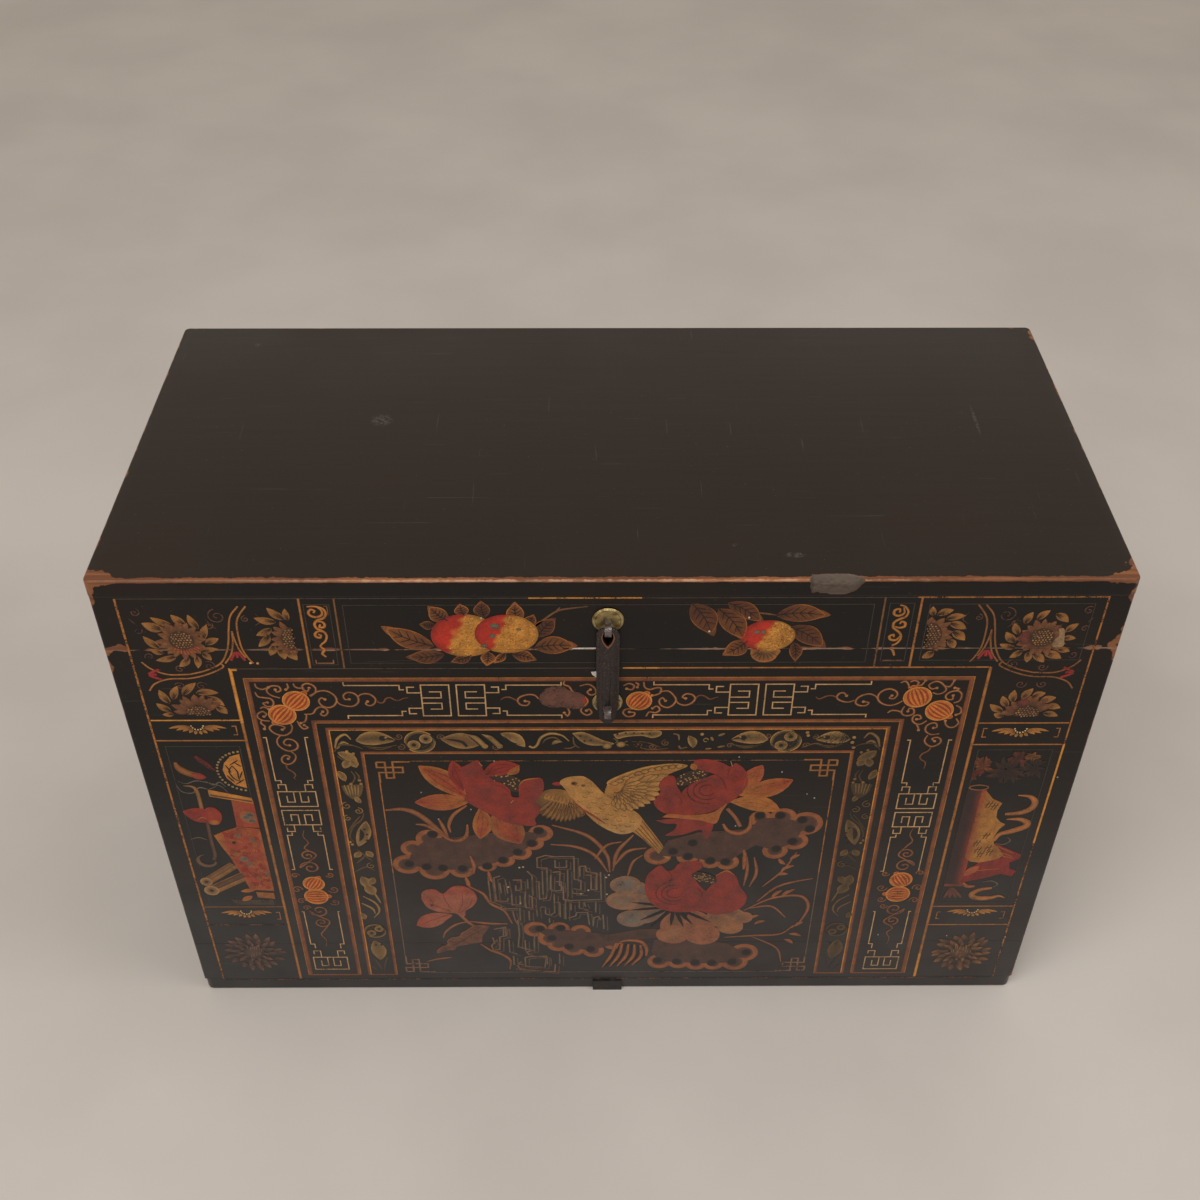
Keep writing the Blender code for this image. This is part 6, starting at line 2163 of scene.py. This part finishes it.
def wing_feathers(sheet, light):
    """Raised wing: rows of feathers that fan out from its wrist over one another"""
    sheet.shape(
        WING_EDGE + [(74, 376), (62, 369), (51, 360), (48, 347), (46, 334), (38, 325), (28, 316),
                     (19, 312)] + [(8, 315), (-2, 326), (-6, 338)],
        [(2, 340), (22, 346), (56, 373)], lambda place, depth: mixed(BIRD, BIRD_DARK, 0.15), 4
    )
    rows = ((0.55, 1.0, 12, -98, 26), (0.34, 0.72, 12, -92, 30), (0.14, 0.47, 10, -95, 44))
    outline = worn(mixed(BIRD_DARK, BIRD, 0.2), 0.9)
    tints = (mixed(BIRD, BIRD_DARK, 0.35), mixed(BIRD, light, 0.5), BIRD)
    for row, (root, tip, count, start, stop) in enumerate(rows):
        for place in range(count):
            degrees = start + (stop - start) * (place + 0.5) / count
            reach = wing_reach(degrees)
            base = ray(WING_WRIST, reach * root, degrees - 3)
            width = 1.35 * math.radians((stop - start) / count) * reach * (root + tip) / 2
            sheet.petal(
                base, ray(WING_WRIST, reach * tip, degrees), width, tints, 5 + row, 0.04, 1.35, outline
            )
    edge = smooth_run(WING_EDGE)
    for place in range(11):
        at = edge[round((0.06 + 0.86 * place / 11) * (len(edge) - 1))]
        base = at + Vector((1.0, -4.2))
        sheet.petal(base, base + Vector((8.5, 1.6)), 5.4, tints, 8, 0.0, 1.3, outline)
    sheet.line(WING_EDGE, 2.6, mixed(BIRD, light, 0.4), 9, (0.8, 0.2))


def bird_tail(sheet):
    """Long tail feathers with dark lines between them"""
    outline = [
        (20, 281), (31.7, 269), (41.7, 255.5), (51.7, 242), (61.7, 233.5), (62.5, 237), (60, 243),
        (55, 255.5)
    ]
    outline += [(45, 275.5), (35, 294), (30, 303), (22, 306)]
    tail = mixed(BIRD, BIRD_DARK, 0.2)
    sheet.shape(
        outline, [(26, 292), (58, 238)], lambda place, depth: mixed(tail, BIRD, min(1.0, depth / 5)), 3
    )
    for start, stop in (
        ((22, 286), (50, 245)), ((25, 290), (54, 243)), ((28, 294), (57, 242)), ((31, 298), (58, 247))
    ):
        sheet.line([start, stop], 0.9, worn(BIRD_DARK, 0.95), 4, (0.8, 0.3))


def far_wing(sheet):
    """Wing behind the bird's breast, darker towards its fringe of feather tips"""

    def tone(place, depth):
        away = (place - Vector((-40, 334))).length / 42
        return mixed(mixed(BIRD, BIRD_DARK, 0.25), mixed(BIRD_DARK, LEAF, 0.4), min(1.0, away))

    outline = [
        (-40, 340), (-52, 344), (-64, 343), (-74, 334), (-76, 320), (-71, 306), (-58, 300), (-44, 300)
    ]
    sheet.shape(outline + [(-30, 302), (-26, 308), (-34, 324)], [(-56, 328), (-42, 314)], tone, 3)
    for place in range(11):
        share = place / 10
        root = (-56 + 20 * share, 333 - 12 * share)
        tip = (-75 + 47 * share, 309 - 13 * math.sin(math.pi * share) ** 0.7 - 4 * share)
        tints = (mixed(BIRD, BIRD_DARK, 0.4), mixed(BIRD, BIRD_DARK, 0.55), mixed(BIRD_DARK, LEAF, 0.3))
        sheet.petal(root, tip, 6.0, tints, 4, 0.05, 1.3, worn(BIRD_DARK, 0.7))
    for place in range(8):
        share = place / 7
        root = (-62 + 24 * share, 339 - 10 * share)
        sheet.petal(
            root, ray(root, 11, -112 + 30 * share), 5.5, (BIRD_DARK, mixed(BIRD, BIRD_DARK, 0.3), BIRD), 5,
            0.0, 1.4
        )


def bird(sheet):
    """Small golden bird on the wing, its head to the left"""
    light = mixed(BIRD, PALE_DOT, 0.35)
    far_wing(sheet)
    bird_tail(sheet)

    def plumage(place, depth):
        back = clipped((place.x + 0.72 * place.y - 236) / 22)
        belly = clipped((300 - place.y) / 24)
        return mixed(mixed(BIRD, light, 0.25 + 0.4 * belly), mixed(BIRD, BIRD_DARK, 0.35), back)

    body = [
        (-51, 353), (-50, 357), (-42.5, 362), (-30, 363.5), (-24, 361), (-18, 354.5), (-13, 347), (-8, 339)
    ]
    body += [
        (2, 328), (14, 318), (26, 309), (32, 299), (31, 290), (27, 282), (20, 276), (10, 274.5),
        (-1.5, 280.5)
    ]
    body += [(-13, 290.5), (-23, 304), (-30, 317), (-36.7, 325.5), (-41, 334.5), (-46.5, 345.5)]
    sheet.shape(body, [(-33, 347), (-14, 318), (14, 291)], plumage, 4)
    sheet.petal((-48, 352), (-59, 352.5), 6.0, (FAN_RED, FAN_RED, LOTUS_DEEP), 3)
    sheet.disc((-36.7, 353), (3.4, 3.0), (hue(92, 52, 34), hue(132, 88, 48)), 6)
    sheet.dots([(-37.5, 353)], 1.2, SPOT, 8)
    sheet.disc((-27.5, 349.7), (2.3, 2.0), (hue(84, 66, 48), hue(132, 96, 56)), 6)
    sheet.line(
        [(-37, 325), (-30, 315), (-18, 304), (-5, 291)], 2.4, worn(hue(146, 58, 38), 0.85), 6, (0.3, 0.3)
    )
    plume = worn(mixed(BIRD, BIRD_DARK, 0.6), 0.75)
    for row in range(6):
        for place in range(3):
            middle = (-20 + 8.6 * row - 5.2 * place, 338 - 9.2 * row - 7.0 * place + 4)
            sheet.line(arc_run(middle, 3.2, 190, 320, 6), 0.6, plume, 6)
    wing_feathers(sheet, light)


ROCK_LINES = (
    [(-95, 60), (-95, 42), (-73, 40), (-71, 62), (-95, 60)], [(-99, 51), (-105, 46), (-102, 38), (-96, 38)],
    [(-83, 111), (-84, 73), (-93, 70), (-90, 64)],
    [(-128, 112), (-115, 116), (-115, 100), (-122, 98), (-123, 75), (-130, 73), (-132, 82), (-125, 93)],
    [(-101, 129), (-100, 105), (-102, 80)], [(-106, 37), (-78, 33), (-62, 31.5), (-61, 46)],
    [(-130, 204), (-129, 162), (-118, 155), (-118, 149), (-100, 149)],
    [(-117, 206), (-124, 203), (-123, 163), (-111, 162), (-110, 168)],
    [(-104, 199), (-95, 199), (-95, 182), (-101, 181), (-101, 190)], [(-88, 214), (-83, 206), (-83, 172)],
    [(-88, 172), (-84, 170), (-84, 150), (-91, 151), (-92, 162), (-91, 178)],
    [(-80, 196), (-76, 196), (-76, 166), (-69, 167), (-67, 180), (-67, 219), (-77, 220), (-77, 236),
     (-68, 240), (-59, 238)],
    [(-58, 196), (-52, 196), (-52, 181), (-60, 180), (-64, 183), (-63, 207)],
    [(-61, 212), (-53, 213), (-54, 190), (-50, 186), (-50, 165), (-44, 165)],
    [(-59, 238), (-38, 238), (-38, 200), (-31, 198), (-31, 182), (-40, 184), (-40, 176), (-28, 175)],
    [(-26, 207), (-20, 207), (-20, 182), (-14, 182), (-14, 210), (-25, 213), (-26, 222), (-32, 222),
     (-32, 204)],
    [(-10, 212), (-9, 165), (-48, 163), (-48, 130)], [(-33, 162), (-33, 150), (-23, 146)],
    [(-28, 160), (-26, 152)], [(-45, 132), (-37, 136), (-36, 142), (-24, 142), (-22, 120)],
    [(-18, 118), (-17, 133), (-12, 135), (-10, 128)], [(-7, 138), (-6, 112)], [(-80, 155), (-79, 135)],
    [(-75, 152), (-70, 152), (-70, 140), (-65, 137), (-60, 142), (-60, 175)], [(-98, 150), (-98, 128)],
    [(-106, 145), (-104, 130), (-100, 118), (-100, 98)], [(-130, 97), (-128, 85)],
    [(-118, 100), (-117, 114), (-125, 114)], [(-103, 80), (-84, 72), (-84, 95)],
    [(-96, 58), (-88, 62), (-70, 60), (-70, 46)], [(-56, 66), (-56, 46)],
    [(-108, 62), (-108, 46), (-98, 46)], [(-118, 194), (-117, 176)], [(-112, 200), (-110, 176)],
    [(-106, 174), (-106, 156), (-97, 156), (-97, 172)], [(-88, 200), (-88, 184)], [(-72, 214), (-72, 174)],
    [(-58, 232), (-58, 220), (-46, 220), (-46, 232)], [(-45, 216), (-45, 170)],
    [(-58, 160), (-54, 160), (-54, 134)], [(-66, 132), (-66, 124)], [(-88, 145), (-88, 128)],
    [(-42, 158), (-42, 146)], [(-15, 160), (-15, 142)], [(-94, 92), (-94, 72)],
    [(-112, 92), (-112, 70), (-104, 66)]
)


def garden_rock(sheet):
    """Rock drawn as a maze of upright square hooks with a few bright touches"""
    draw = random.Random(64)
    for points in ROCK_LINES:
        tint = mixed(worn(ROCK, 0.9), worn(LEAF_RIM, 0.85), 0.35 * draw.random())
        sheet.rule(points, 1.9, tint)
        inner = [(u + 4.4, v - 3.2) for u, v in points]
        sheet.rule(inner, 1.4, toned(tint, 0.62))
    glints = [
        (-97, 159), (-31, 175), (-23, 181), (-3, 174), (-1, 207), (-4, 203), (-96, 220), (-92, 221),
        (-109, 187)
    ]
    sheet.dots(glints, 1.2, hue(186, 160, 128, 0.9), 2)


def reeds(sheet):
    """Bent reeds and small plants round the flowers"""
    for points, width in (
        ([(-229, 313), (-210, 314), (-194, 304), (-170, 272)], 6.5),
        ([(-200, 291), (-188, 288), (-170, 271)], 4.5), ([(-176, 300), (-172, 286), (-168, 270)], 4.0),
        ([(0, 212), (-4, 242), (-24, 272), (-60, 289)], 4.6),
        ([(-2, 212), (-16, 240), (-36, 254), (-62, 258)], 4.2), ([(3, 214), (8, 246), (24, 273)], 4.4),
        ([(-16, 234), (-4, 256), (12, 262)], 3.6), ([(4, 222), (18, 246), (38, 252)], 4.2),
        ([(18, 200), (24, 228), (34, 240)], 3.2),
        ([(-153, 204), (-152, 190), (-137, 176), (-129, 158), (-115, 145), (-107, 122)], 3.8),
        ([(-151, 127), (-168, 122), (-181, 109), (-185, 97)], 3.4),
        ([(-154, 127), (-134, 123), (-112, 122)], 3.6),
        ([(-144, 85), (-133, 73), (-121, 65.5), (-112, 54), (-113, 37)], 3.8),
        ([(-207, 52), (-194, 57), (-178, 60)], 3.0),
        ([(147, 145), (176, 166), (206, 170), (217, 152), (211, 126), (202, 113)], 3.8),
        ([(160, 160), (178, 184), (196, 194), (217, 200)], 3.2),
        ([(150, 148), (176, 152), (194, 132)], 3.0), ([(128, 96), (160, 99), (190, 102), (204, 118)], 3.0),
        ([(158, 98), (188, 76), (196, 48)], 2.6), ([(150, 186), (156, 210), (152, 236)], 3.6),
        ([(144, 188), (146, 214), (144, 238)], 3.6), ([(164, 186), (184, 214), (196, 244)], 2.6)
    ):
        sheet.line(points, width, REED, 2, (0.35, 0.4))
    for base, tip in (
        ((176, 166), (186, 180)), ((186, 168), (200, 182)), ((182, 214), (196, 222)),
        ((178, 206), (190, 208)), ((190, 232), (200, 240)), ((186, 224), (178, 234)),
        ((200, 102), (214, 98)), ((196, 92), (206, 84)), ((206, 116), (214, 124)), ((160, 120), (172, 126)),
        ((152, 128), (164, 136))
    ):
        sheet.petal(base, tip, 4.6, (REED, LEAF_RIM, REED), 3, 0.1)


def middle_picture():
    """Lotus, bird, leaves and rock of the middle panel"""
    plants = PaintedSheet()
    garden_rock(plants)
    reeds(plants)
    lotus_leaves(plants)
    plants.hang("leaves_and_rock")
    flowers = PaintedSheet()
    left_lotus(flowers)
    right_lotus(flowers)
    low_lotus(flowers)
    bud(flowers)
    flowers.hang("lotus_flowers")
    wings = PaintedSheet()
    bird(wings)
    wings.hang("bird")


# The pictures of the outer columns


def speckled(first, second, seed):
    """Tint that wavers between two colours over the front"""

    def tint(u, v):
        share = waver(u * 0.09 + seed, v * 0.09, seed)
        return mixed(first, second, clipped(0.5 + share))

    return tint


FAN_LEAVES = (
    [(-374, 380), (-378, 372), (-375, 362), (-369, 357)],
    [(-374, 380), (-370, 372), (-370, 363), (-369, 357)], [(-367, 388), (-376, 381)],
    [(-365, 379), (-371, 385)], [(-365, 372), (-369, 362)], [(-365, 360), (-374, 353)],
    [(-380, 381), (-376, 370)], [(-381, 366), (-375, 356)]
)


def left_column(sheet):
    """Fan, horn, peach on a stick, vase and paper rolls"""
    gold = hue(188, 122, 52)
    fan = [(-364, 397), (-374, 393), (-381, 384), (-384, 374), (-382, 362), (-375, 352), (-364, 347)]
    sheet.field(fan, lambda u, v: gold, 3)
    for stroke in FAN_LEAVES:
        sheet.line(stroke, 1.5, SPOT, 4, (0.6, 0.4))
    beads = [ray((-361, 372), 28.5, a) for a in range(98, 266, 9)]
    sheet.dots(beads, 1.4, hue(150, 122, 78, 0.85), 4)
    slab = [(-404, 345), (-362, 332), (-361, 326), (-362, 324), (-404, 335)]
    sheet.field(slab, lambda u, v: gold, 5)
    sheet.rule([(-403, 337), (-362, 327)], 2.4, PETAL_BROWN, 6)
    neck = [(-383, 328), (-361, 325), (-361, 286), (-384, 288)]
    sheet.field(neck, speckled(LOTUS_RED, SALMON, 3.0), 3)
    sheet.disc((-370, 303), (8.5, 10.0), (mixed(PAPER, GREY_PETAL, 0.4), mixed(OCHRE, LOTUS_RED, 0.4)), 4)
    for spot in ((-368, 306), (-367, 297), (-372, 303)):
        sheet.disc(spot, (3.8, 2.6), (hue(70, 76, 72), GREY_PETAL), 5, 0, 4, 0.2)
    sheet.rule([(-385, 287), (-361, 283)], 3.2, mixed(LOTUS_RED, OCHRE, 0.35), 5)
    vase_body(sheet)
    sheet.line(
        [(-429, 385), (-427, 377), (-420, 370), (-408, 365)], 8.5, mixed(OCHRE, PETAL_BROWN, 0.4), 3,
        (0.4, 1.0)
    )
    sheet.petal((-417, 367), (-402, 363), 10, (SALMON, CLOTH_RED, CLOTH_RED), 4)
    sheet.line(
        [(-408, 394), (-401, 385), (-392, 373)], 6.5, worn(mixed(CLOTH_RED, SPOT, 0.45), 0.7), 3, (0.6, 0.6)
    )
    for ribbon in (
        [(-434, 352), (-430, 342), (-420, 340), (-412, 348), (-402, 346), (-392, 352)],
        [(-432, 358), (-424, 354), (-414, 358), (-404, 356), (-390, 350), (-384, 340)],
        [(-404, 358), (-397, 352), (-390, 356), (-385, 349)], [(-435, 268), (-426, 271), (-418, 267)]
    ):
        sheet.line(ribbon, 1.6, worn(GREY_LINE, 0.8), 2, (0.3, 0.3))
    sheet.line(
        [(-427, 351), (-418, 349), (-415, 340), (-415, 316)], 4.2, mixed(TAN, PETAL_BROWN, 0.4), 3,
        (0.3, 1.0)
    )
    sheet.petal((-400, 303), (-435, 312), 22, (LOTUS_RED, CLOTH_RED, LOTUS_RED), 4, 0.05)
    sheet.disc((-406, 305), (9.5, 13.5), (mixed(LOTUS_RED, SALMON, 0.3), LOTUS_RED), 5)
    sheet.disc((-419, 306), (9.5, 9), (CLOTH_RED, LOTUS_RED), 5)
    sheet.disc((-406, 295), (6, 4), (OCHRE, mixed(OCHRE, LOTUS_RED, 0.6)), 6)
    sheet.line([(-423, 298), (-417, 303), (-413, 301)], 1.4, TAN, 6, (0.5, 0.5))
    sheet.line([(-413, 296), (-414, 266), (-414, 244), (-417, 234)], 4.0, hue(92, 64, 48), 3)
    sheet.rule(arc_run((-424, 234), 9.5, 100, 345, 14), 5.0, hue(104, 76, 56), 3, (0.2, 0.5))
    paper_rolls(sheet)
    sheet.petal((-397, 181), (-381, 184), 6, (OCHRE, SALMON, OCHRE), 3)
    sheet.petal((-398, 165), (-386, 173), 7, (OCHRE, SALMON, OCHRE), 3)
    foot = [(-381, 180), (-362, 178), (-362, 168), (-380, 171)]
    sheet.field(foot, lambda u, v: mixed(OCHRE, FRAME_BROWN, 0.5), 3)
    ledge = [(-410, 168), (-395, 166), (-364, 167), (-364, 158), (-405, 158)]
    sheet.field(ledge, lambda u, v: hue(70, 58, 48, 0.7), 2)


def vase_body(sheet):
    """Broad vase, ochre at its left and covered with red curls and grey-blue flowers"""
    draw = random.Random(71)
    outline = [
        (-361, 284), (-384, 287), (-398, 281), (-410, 274), (-405, 256), (-399, 240), (-393, 214),
        (-386, 184), (-361, 182)
    ]

    def tint(place, depth):
        ochre = waver(place.x * 0.07 + 5, place.y * 0.05, 2.0) + 0.55 - depth / 16
        return mixed(mixed(SALMON, LOTUS_RED, 0.45), OCHRE, clipped(ochre))

    sheet.shape(outline, [(-375, 270), (-372, 200)], tint, 3, 8, smooth=False)
    for _ in range(60):
        v = draw.uniform(188, 280)
        left = -407 + (278 - v) * 0.24
        place = (draw.uniform(left + 4, -364), v)
        tone = draw.choice((LOTUS_RED, CLOTH_RED, mixed(OCHRE, SALMON, 0.3), mixed(PAPER, OCHRE, 0.5)))
        curl(
            sheet, place, draw.uniform(2.2, 3.6), draw.uniform(0, 360), draw.choice((1.1, -1.1)), 1.2, tone,
            5
        )
    for spot, size in (
        ((-385, 274), 3.2), ((-385, 236), 5.0), ((-380, 228), 3.4), ((-371, 268), 3.0), ((-364, 212), 2.8)
    ):
        sheet.disc(spot, (size, size), (hue(92, 88, 76), mixed(GREY_PETAL, OCHRE, 0.4)), 7, 0, 5, 0.25)
    sheet.disc((-391, 263), (2.4, 2.4), (SPOT, LOTUS_DEEP), 7)
    sheet.disc((-387, 218), (4.4, 4.0), (CLOTH_RED, LOTUS_RED), 7, 0, 5, 0.25)


def paper_rolls(sheet):
    """Two rolls of paper that lean against the vase"""
    for start, stop, width, shade in (
        ((-431, 198), (-397, 226), 11.5, 0.35), ((-428, 183), (-388, 208), 14.0, 0.75)
    ):
        start = Vector(start)
        stop = Vector(stop)
        across = left_of(stop - start).normalized()
        sheet.rule([start, stop], width, mixed(PAPER, TAN, 0.4), 3)
        top = [start + across * width * 0.14, stop + across * width * 0.14]
        sheet.rule(top, width * 0.5, mixed(PAPER, hue(62, 44, 38), shade), 4)
        sheet.disc(start, (width * 0.58, width * 0.58), (hue(96, 70, 48), mixed(PAPER, PALE_DOT, 0.25)), 5)
        sheet.disc(start, (width * 0.2, width * 0.2), (SPOT, PETAL_BROWN), 6)


def right_column(sheet):
    """Draped table with a paper, a red cloth and curling ribbons under faded flowers"""

    def curtain(u):
        return mixed(hue(54, 34, 31), hue(150, 60, 36), max(0.0, (u - 367) / 12) ** 1.5)

    sheet.patch(8, 10, lambda s, t: (359 + 20 * s, 190 + 151 * t), lambda s, t: curtain(359 + 20 * s), 3)
    ring = [
        (370 + 9.5 * math.cos(a * math.pi / 12), 345 + 3.6 * math.sin(a * math.pi / 12)) for a in range(25)
    ]
    sheet.rule(ring, 1.7, hue(128, 86, 56), 6)
    paper = [
        (374, 342), (380, 338), (387, 328), (398, 321), (395, 310), (396, 299), (401, 292), (407, 288),
        (402, 280)
    ]
    paper += [
        (399, 268), (401, 257), (414, 246), (416, 238), (406, 230), (392, 226), (381, 228), (374, 236)
    ]

    def old_paper(place):
        left = clipped((place.x - 373) / 9)
        stain = waver(place.x * 0.12, place.y * 0.07, 9.0)
        gold = mixed(hue(176, 120, 54), hue(144, 92, 42), clipped(0.4 + stain))
        return mixed(hue(136, 56, 34), gold, left)

    sheet.fill(paper, old_paper, 4, smooth=False)
    for u, v in (
        (391, 316), (385, 319), (391, 270), (383, 258), (396, 250), (386, 247), (390, 240), (399, 243)
    ):
        for shift in (-1.6, 1.6):
            sheet.line([(u + shift - 1.5, v - 5), (u + shift + 1.5, v + 5)], 0.9, hue(70, 48, 30), 6)
        sheet.line([(u - 4, v), (u + 4, v + 2)], 0.9, hue(70, 48, 30), 6)
    cloth = [(376, 192), (378, 206), (390, 226), (404, 230), (416, 236), (402, 258), (420, 247), (433, 239)]
    cloth += [(432, 232), (423, 226), (425, 216), (433, 212), (430, 203), (417, 207), (398, 199)]
    sheet.fill(cloth, cloth_tint, 5, smooth=False)
    for crease in (
        [(404, 254), (425, 241)], [(406, 246), (424, 236)], [(410, 238), (426, 233)],
        [(384, 212), (414, 216)]
    ):
        sheet.line(crease, 1.4, mixed(OCHRE, SALMON, 0.5), 6, (0.3, 0.6))
    sheet.petal((378, 204), (392, 221), 10, (SALMON, mixed(OCHRE, SALMON, 0.4), SALMON), 6)
    ribbon = hue(166, 104, 54)
    for points, width in (
        ([(404, 304), (419, 306), (429, 313), (431, 323), (424, 331), (412, 333)], 7.0),
        ([(400, 262), (404, 272), (415, 277), (428, 284), (429, 291), (420, 296), (407, 296)], 7.5),
        ([(412, 183), (400, 180), (393, 174), (394, 168), (403, 165), (414, 166), (422, 169), (429, 166)],
         7.0)
    ):
        sheet.line(points, width, ribbon, 5, (0.5, 0.2))
    for points in (
        [(400, 193), (410, 195), (417, 189), (410, 182)], [(402, 258), (411, 256), (417, 262), (413, 268)]
    ):
        sheet.line(points, 2.4, hue(88, 76, 64, 0.8), 4, (0.4, 0.4))
    sheet.line([(380, 192), (385, 186), (393, 186)], 5.0, mixed(ribbon, SALMON, 0.4), 5, (0.5, 0.6))
    tassel = hue(112, 60, 44)
    sheet.rule([(360, 188), (380, 188)], 5.0, tassel, 4)
    for foot in (363, 369, 376, 382):
        sheet.line([(369, 184), (foot, 166)], 5.0, mixed(tassel, LEAF, 0.5), 3, (1, 0.4))
    faded_flowers(sheet)


def cloth_tint(place):
    """Deep red with lighter folds"""
    fold = waver(place.x * 0.2, place.y * 0.05, 4.0)
    return mixed(CLOTH_RED, LOTUS_DEEP, clipped(0.45 + fold))


def faded_flowers(sheet):
    """Flowers above the table, rubbed down to brown and rust smears"""
    draw = random.Random(17)
    for coat, (u, v, count, reach, tint) in enumerate(
        ((392, 368, 24, 24, hue(74, 48, 36)), (420, 374, 16, 18, hue(68, 46, 36)),
         (366, 377, 26, 16, hue(138, 74, 42)), (363, 366, 14, 12, hue(126, 54, 34)),
         (402, 387, 18, 15, hue(110, 56, 38)), (415, 390, 16, 9, hue(140, 88, 46)))
    ):
        for _ in range(count):
            root = ray((u, v), reach * draw.uniform(0.0, 0.4), draw.uniform(0, 360))
            tip = ray((u, v), reach * draw.uniform(0.6, 1.0), draw.uniform(0, 360))
            root, tip = [(min(431, max(361, a)), min(398, max(351, b))) for a, b in (root, tip)]
            tone = mixed(tint, LACQUER_BLACK, draw.uniform(0.0, 0.5))
            ends = worn(mixed(tone, LACQUER_BLACK, 0.6), 0.95)
            sheet.petal(
                root, tip, reach * 0.26, (ends, worn(tone, 0.95), ends), 1 + coat, draw.uniform(-0.1, 0.1)
            )


def outer_columns():
    """Pictures of household treasures in the two outer columns"""
    sheet = PaintedSheet()
    left_column(sheet)
    right_column(sheet)
    sheet.hang("column_pictures")


# Wear of the paint, and a painted highlight on the seam's lip


def wear_and_highlight_marks():
    """Bare ground showing beside the hasp, where the lip and the case are chipped, and in small specks; the
    white stroke on the lip is bare gesso painted bright as a highlight
    """
    sheet = PaintedSheet()
    # Painted highlight: a white stroke on the lip left of the hasp
    sheet.rule([(-45, 536.7), (-30, 536.9), (-15, 537.0)], 1.7, GESSO_AND_HIGHLIGHT, 2, (0.5, 1.0))
    sheet.field(
        [(-19.5, 507), (-14.5, 507.5), (-14.5, 500), (-16.5, 501.5), (-18.5, 504)], lambda u, v: GESSO_AND_HIGHLIGHT, 2
    )
    specks = [
        (-190.5, 340), (-176, 299), (-142, 314), (-115, 386), (126, 391), (170, 369), (198, 336), (206, 330)
    ]
    specks += [
        (129, 287), (-128, 200), (446, 360), (443, 95), (377, 98), (300, 100), (-402, 608), (-391, 606)
    ]
    sheet.dots(specks, 0.8, hue(150, 144, 138, 0.9), 12)
    for scratch in ([(-130, 384), (-127, 379)], [(-101, 324), (-98.5, 328)], [(118, 385), (120, 378)]):
        sheet.rule(scratch, 1.3, hue(196, 160, 112, 0.95), 12, (0.4, 0.4))
    sheet.hang("wear_and_highlight_marks")


# Stage


def stage():
    """Pale floor, soft lights, the world and the camera"""
    ground = bmesh.new()
    bmesh.ops.create_circle(ground, cap_ends=True, segments=96, radius=FLOOR_RADIUS)
    floor = linked_piece(ground, "floor", [])
    made, tree, shader, place = new_material("pale_floor")
    mottle = ramp(cloud(place, 2.5, 5.0), 0.3, 0.7)
    tree.links.new(
        blend(mottle, hue(204, 198, 192, 1.0), hue(213, 207, 201, 1.0)), shader.inputs["Base Color"]
    )
    shader.inputs["Roughness"].default_value = 0.75
    floor.data.materials.append(made)

    world = bpy.data.worlds.new("studio")
    world.use_nodes = True
    world.node_tree.nodes["Background"].inputs["Color"].default_value = hue(240, 228, 215, 1.0)
    world.node_tree.nodes["Background"].inputs["Strength"].default_value = WORLD_STRENGTH
    bpy.context.scene.world = world
    lamp("key_light", KEY_PLACE, 1.8, 42.0)
    lamp("fill_light", FILL_PLACE, 1.6, 16.0)

    lens = bpy.data.cameras.new("camera")
    lens.lens = CAMERA_LENS
    camera = bpy.data.objects.new("camera", lens)
    bpy.context.scene.collection.objects.link(camera)
    camera.location = CAMERA_PLACE
    turn = Matrix.Rotation(math.radians(-CAMERA_ASIDE), 3, "Z")
    tilt = Matrix.Rotation(math.radians(90 - CAMERA_DOWN), 3, "X")
    roll = Matrix.Rotation(math.radians(CAMERA_ROLL), 3, "Z")
    camera.rotation_euler = (turn @ tilt @ roll).to_euler()
    bpy.context.scene.camera = camera
    bpy.context.scene.view_settings.view_transform = "Standard"


def lamp(name, place, size, power):
    """Soft square light that faces the trunk"""
    light = bpy.data.lights.new(name, "AREA")
    light.size = size
    light.energy = power
    made = bpy.data.objects.new(name, light)
    made.location = place
    aim = Vector(LIGHT_AIM) - Vector(place)
    made.rotation_euler = aim.to_track_quat("-Z", "Y").to_euler()
    bpy.context.scene.collection.objects.link(made)


finish_nodes()
lid_board()
strap_look()
hinge_nails()
borders()
frets()
melon_vines()
scroll_band()
lid_and_columns()
lid_fruit()
middle_picture()
outer_columns()
wear_and_highlight_marks()
stage()
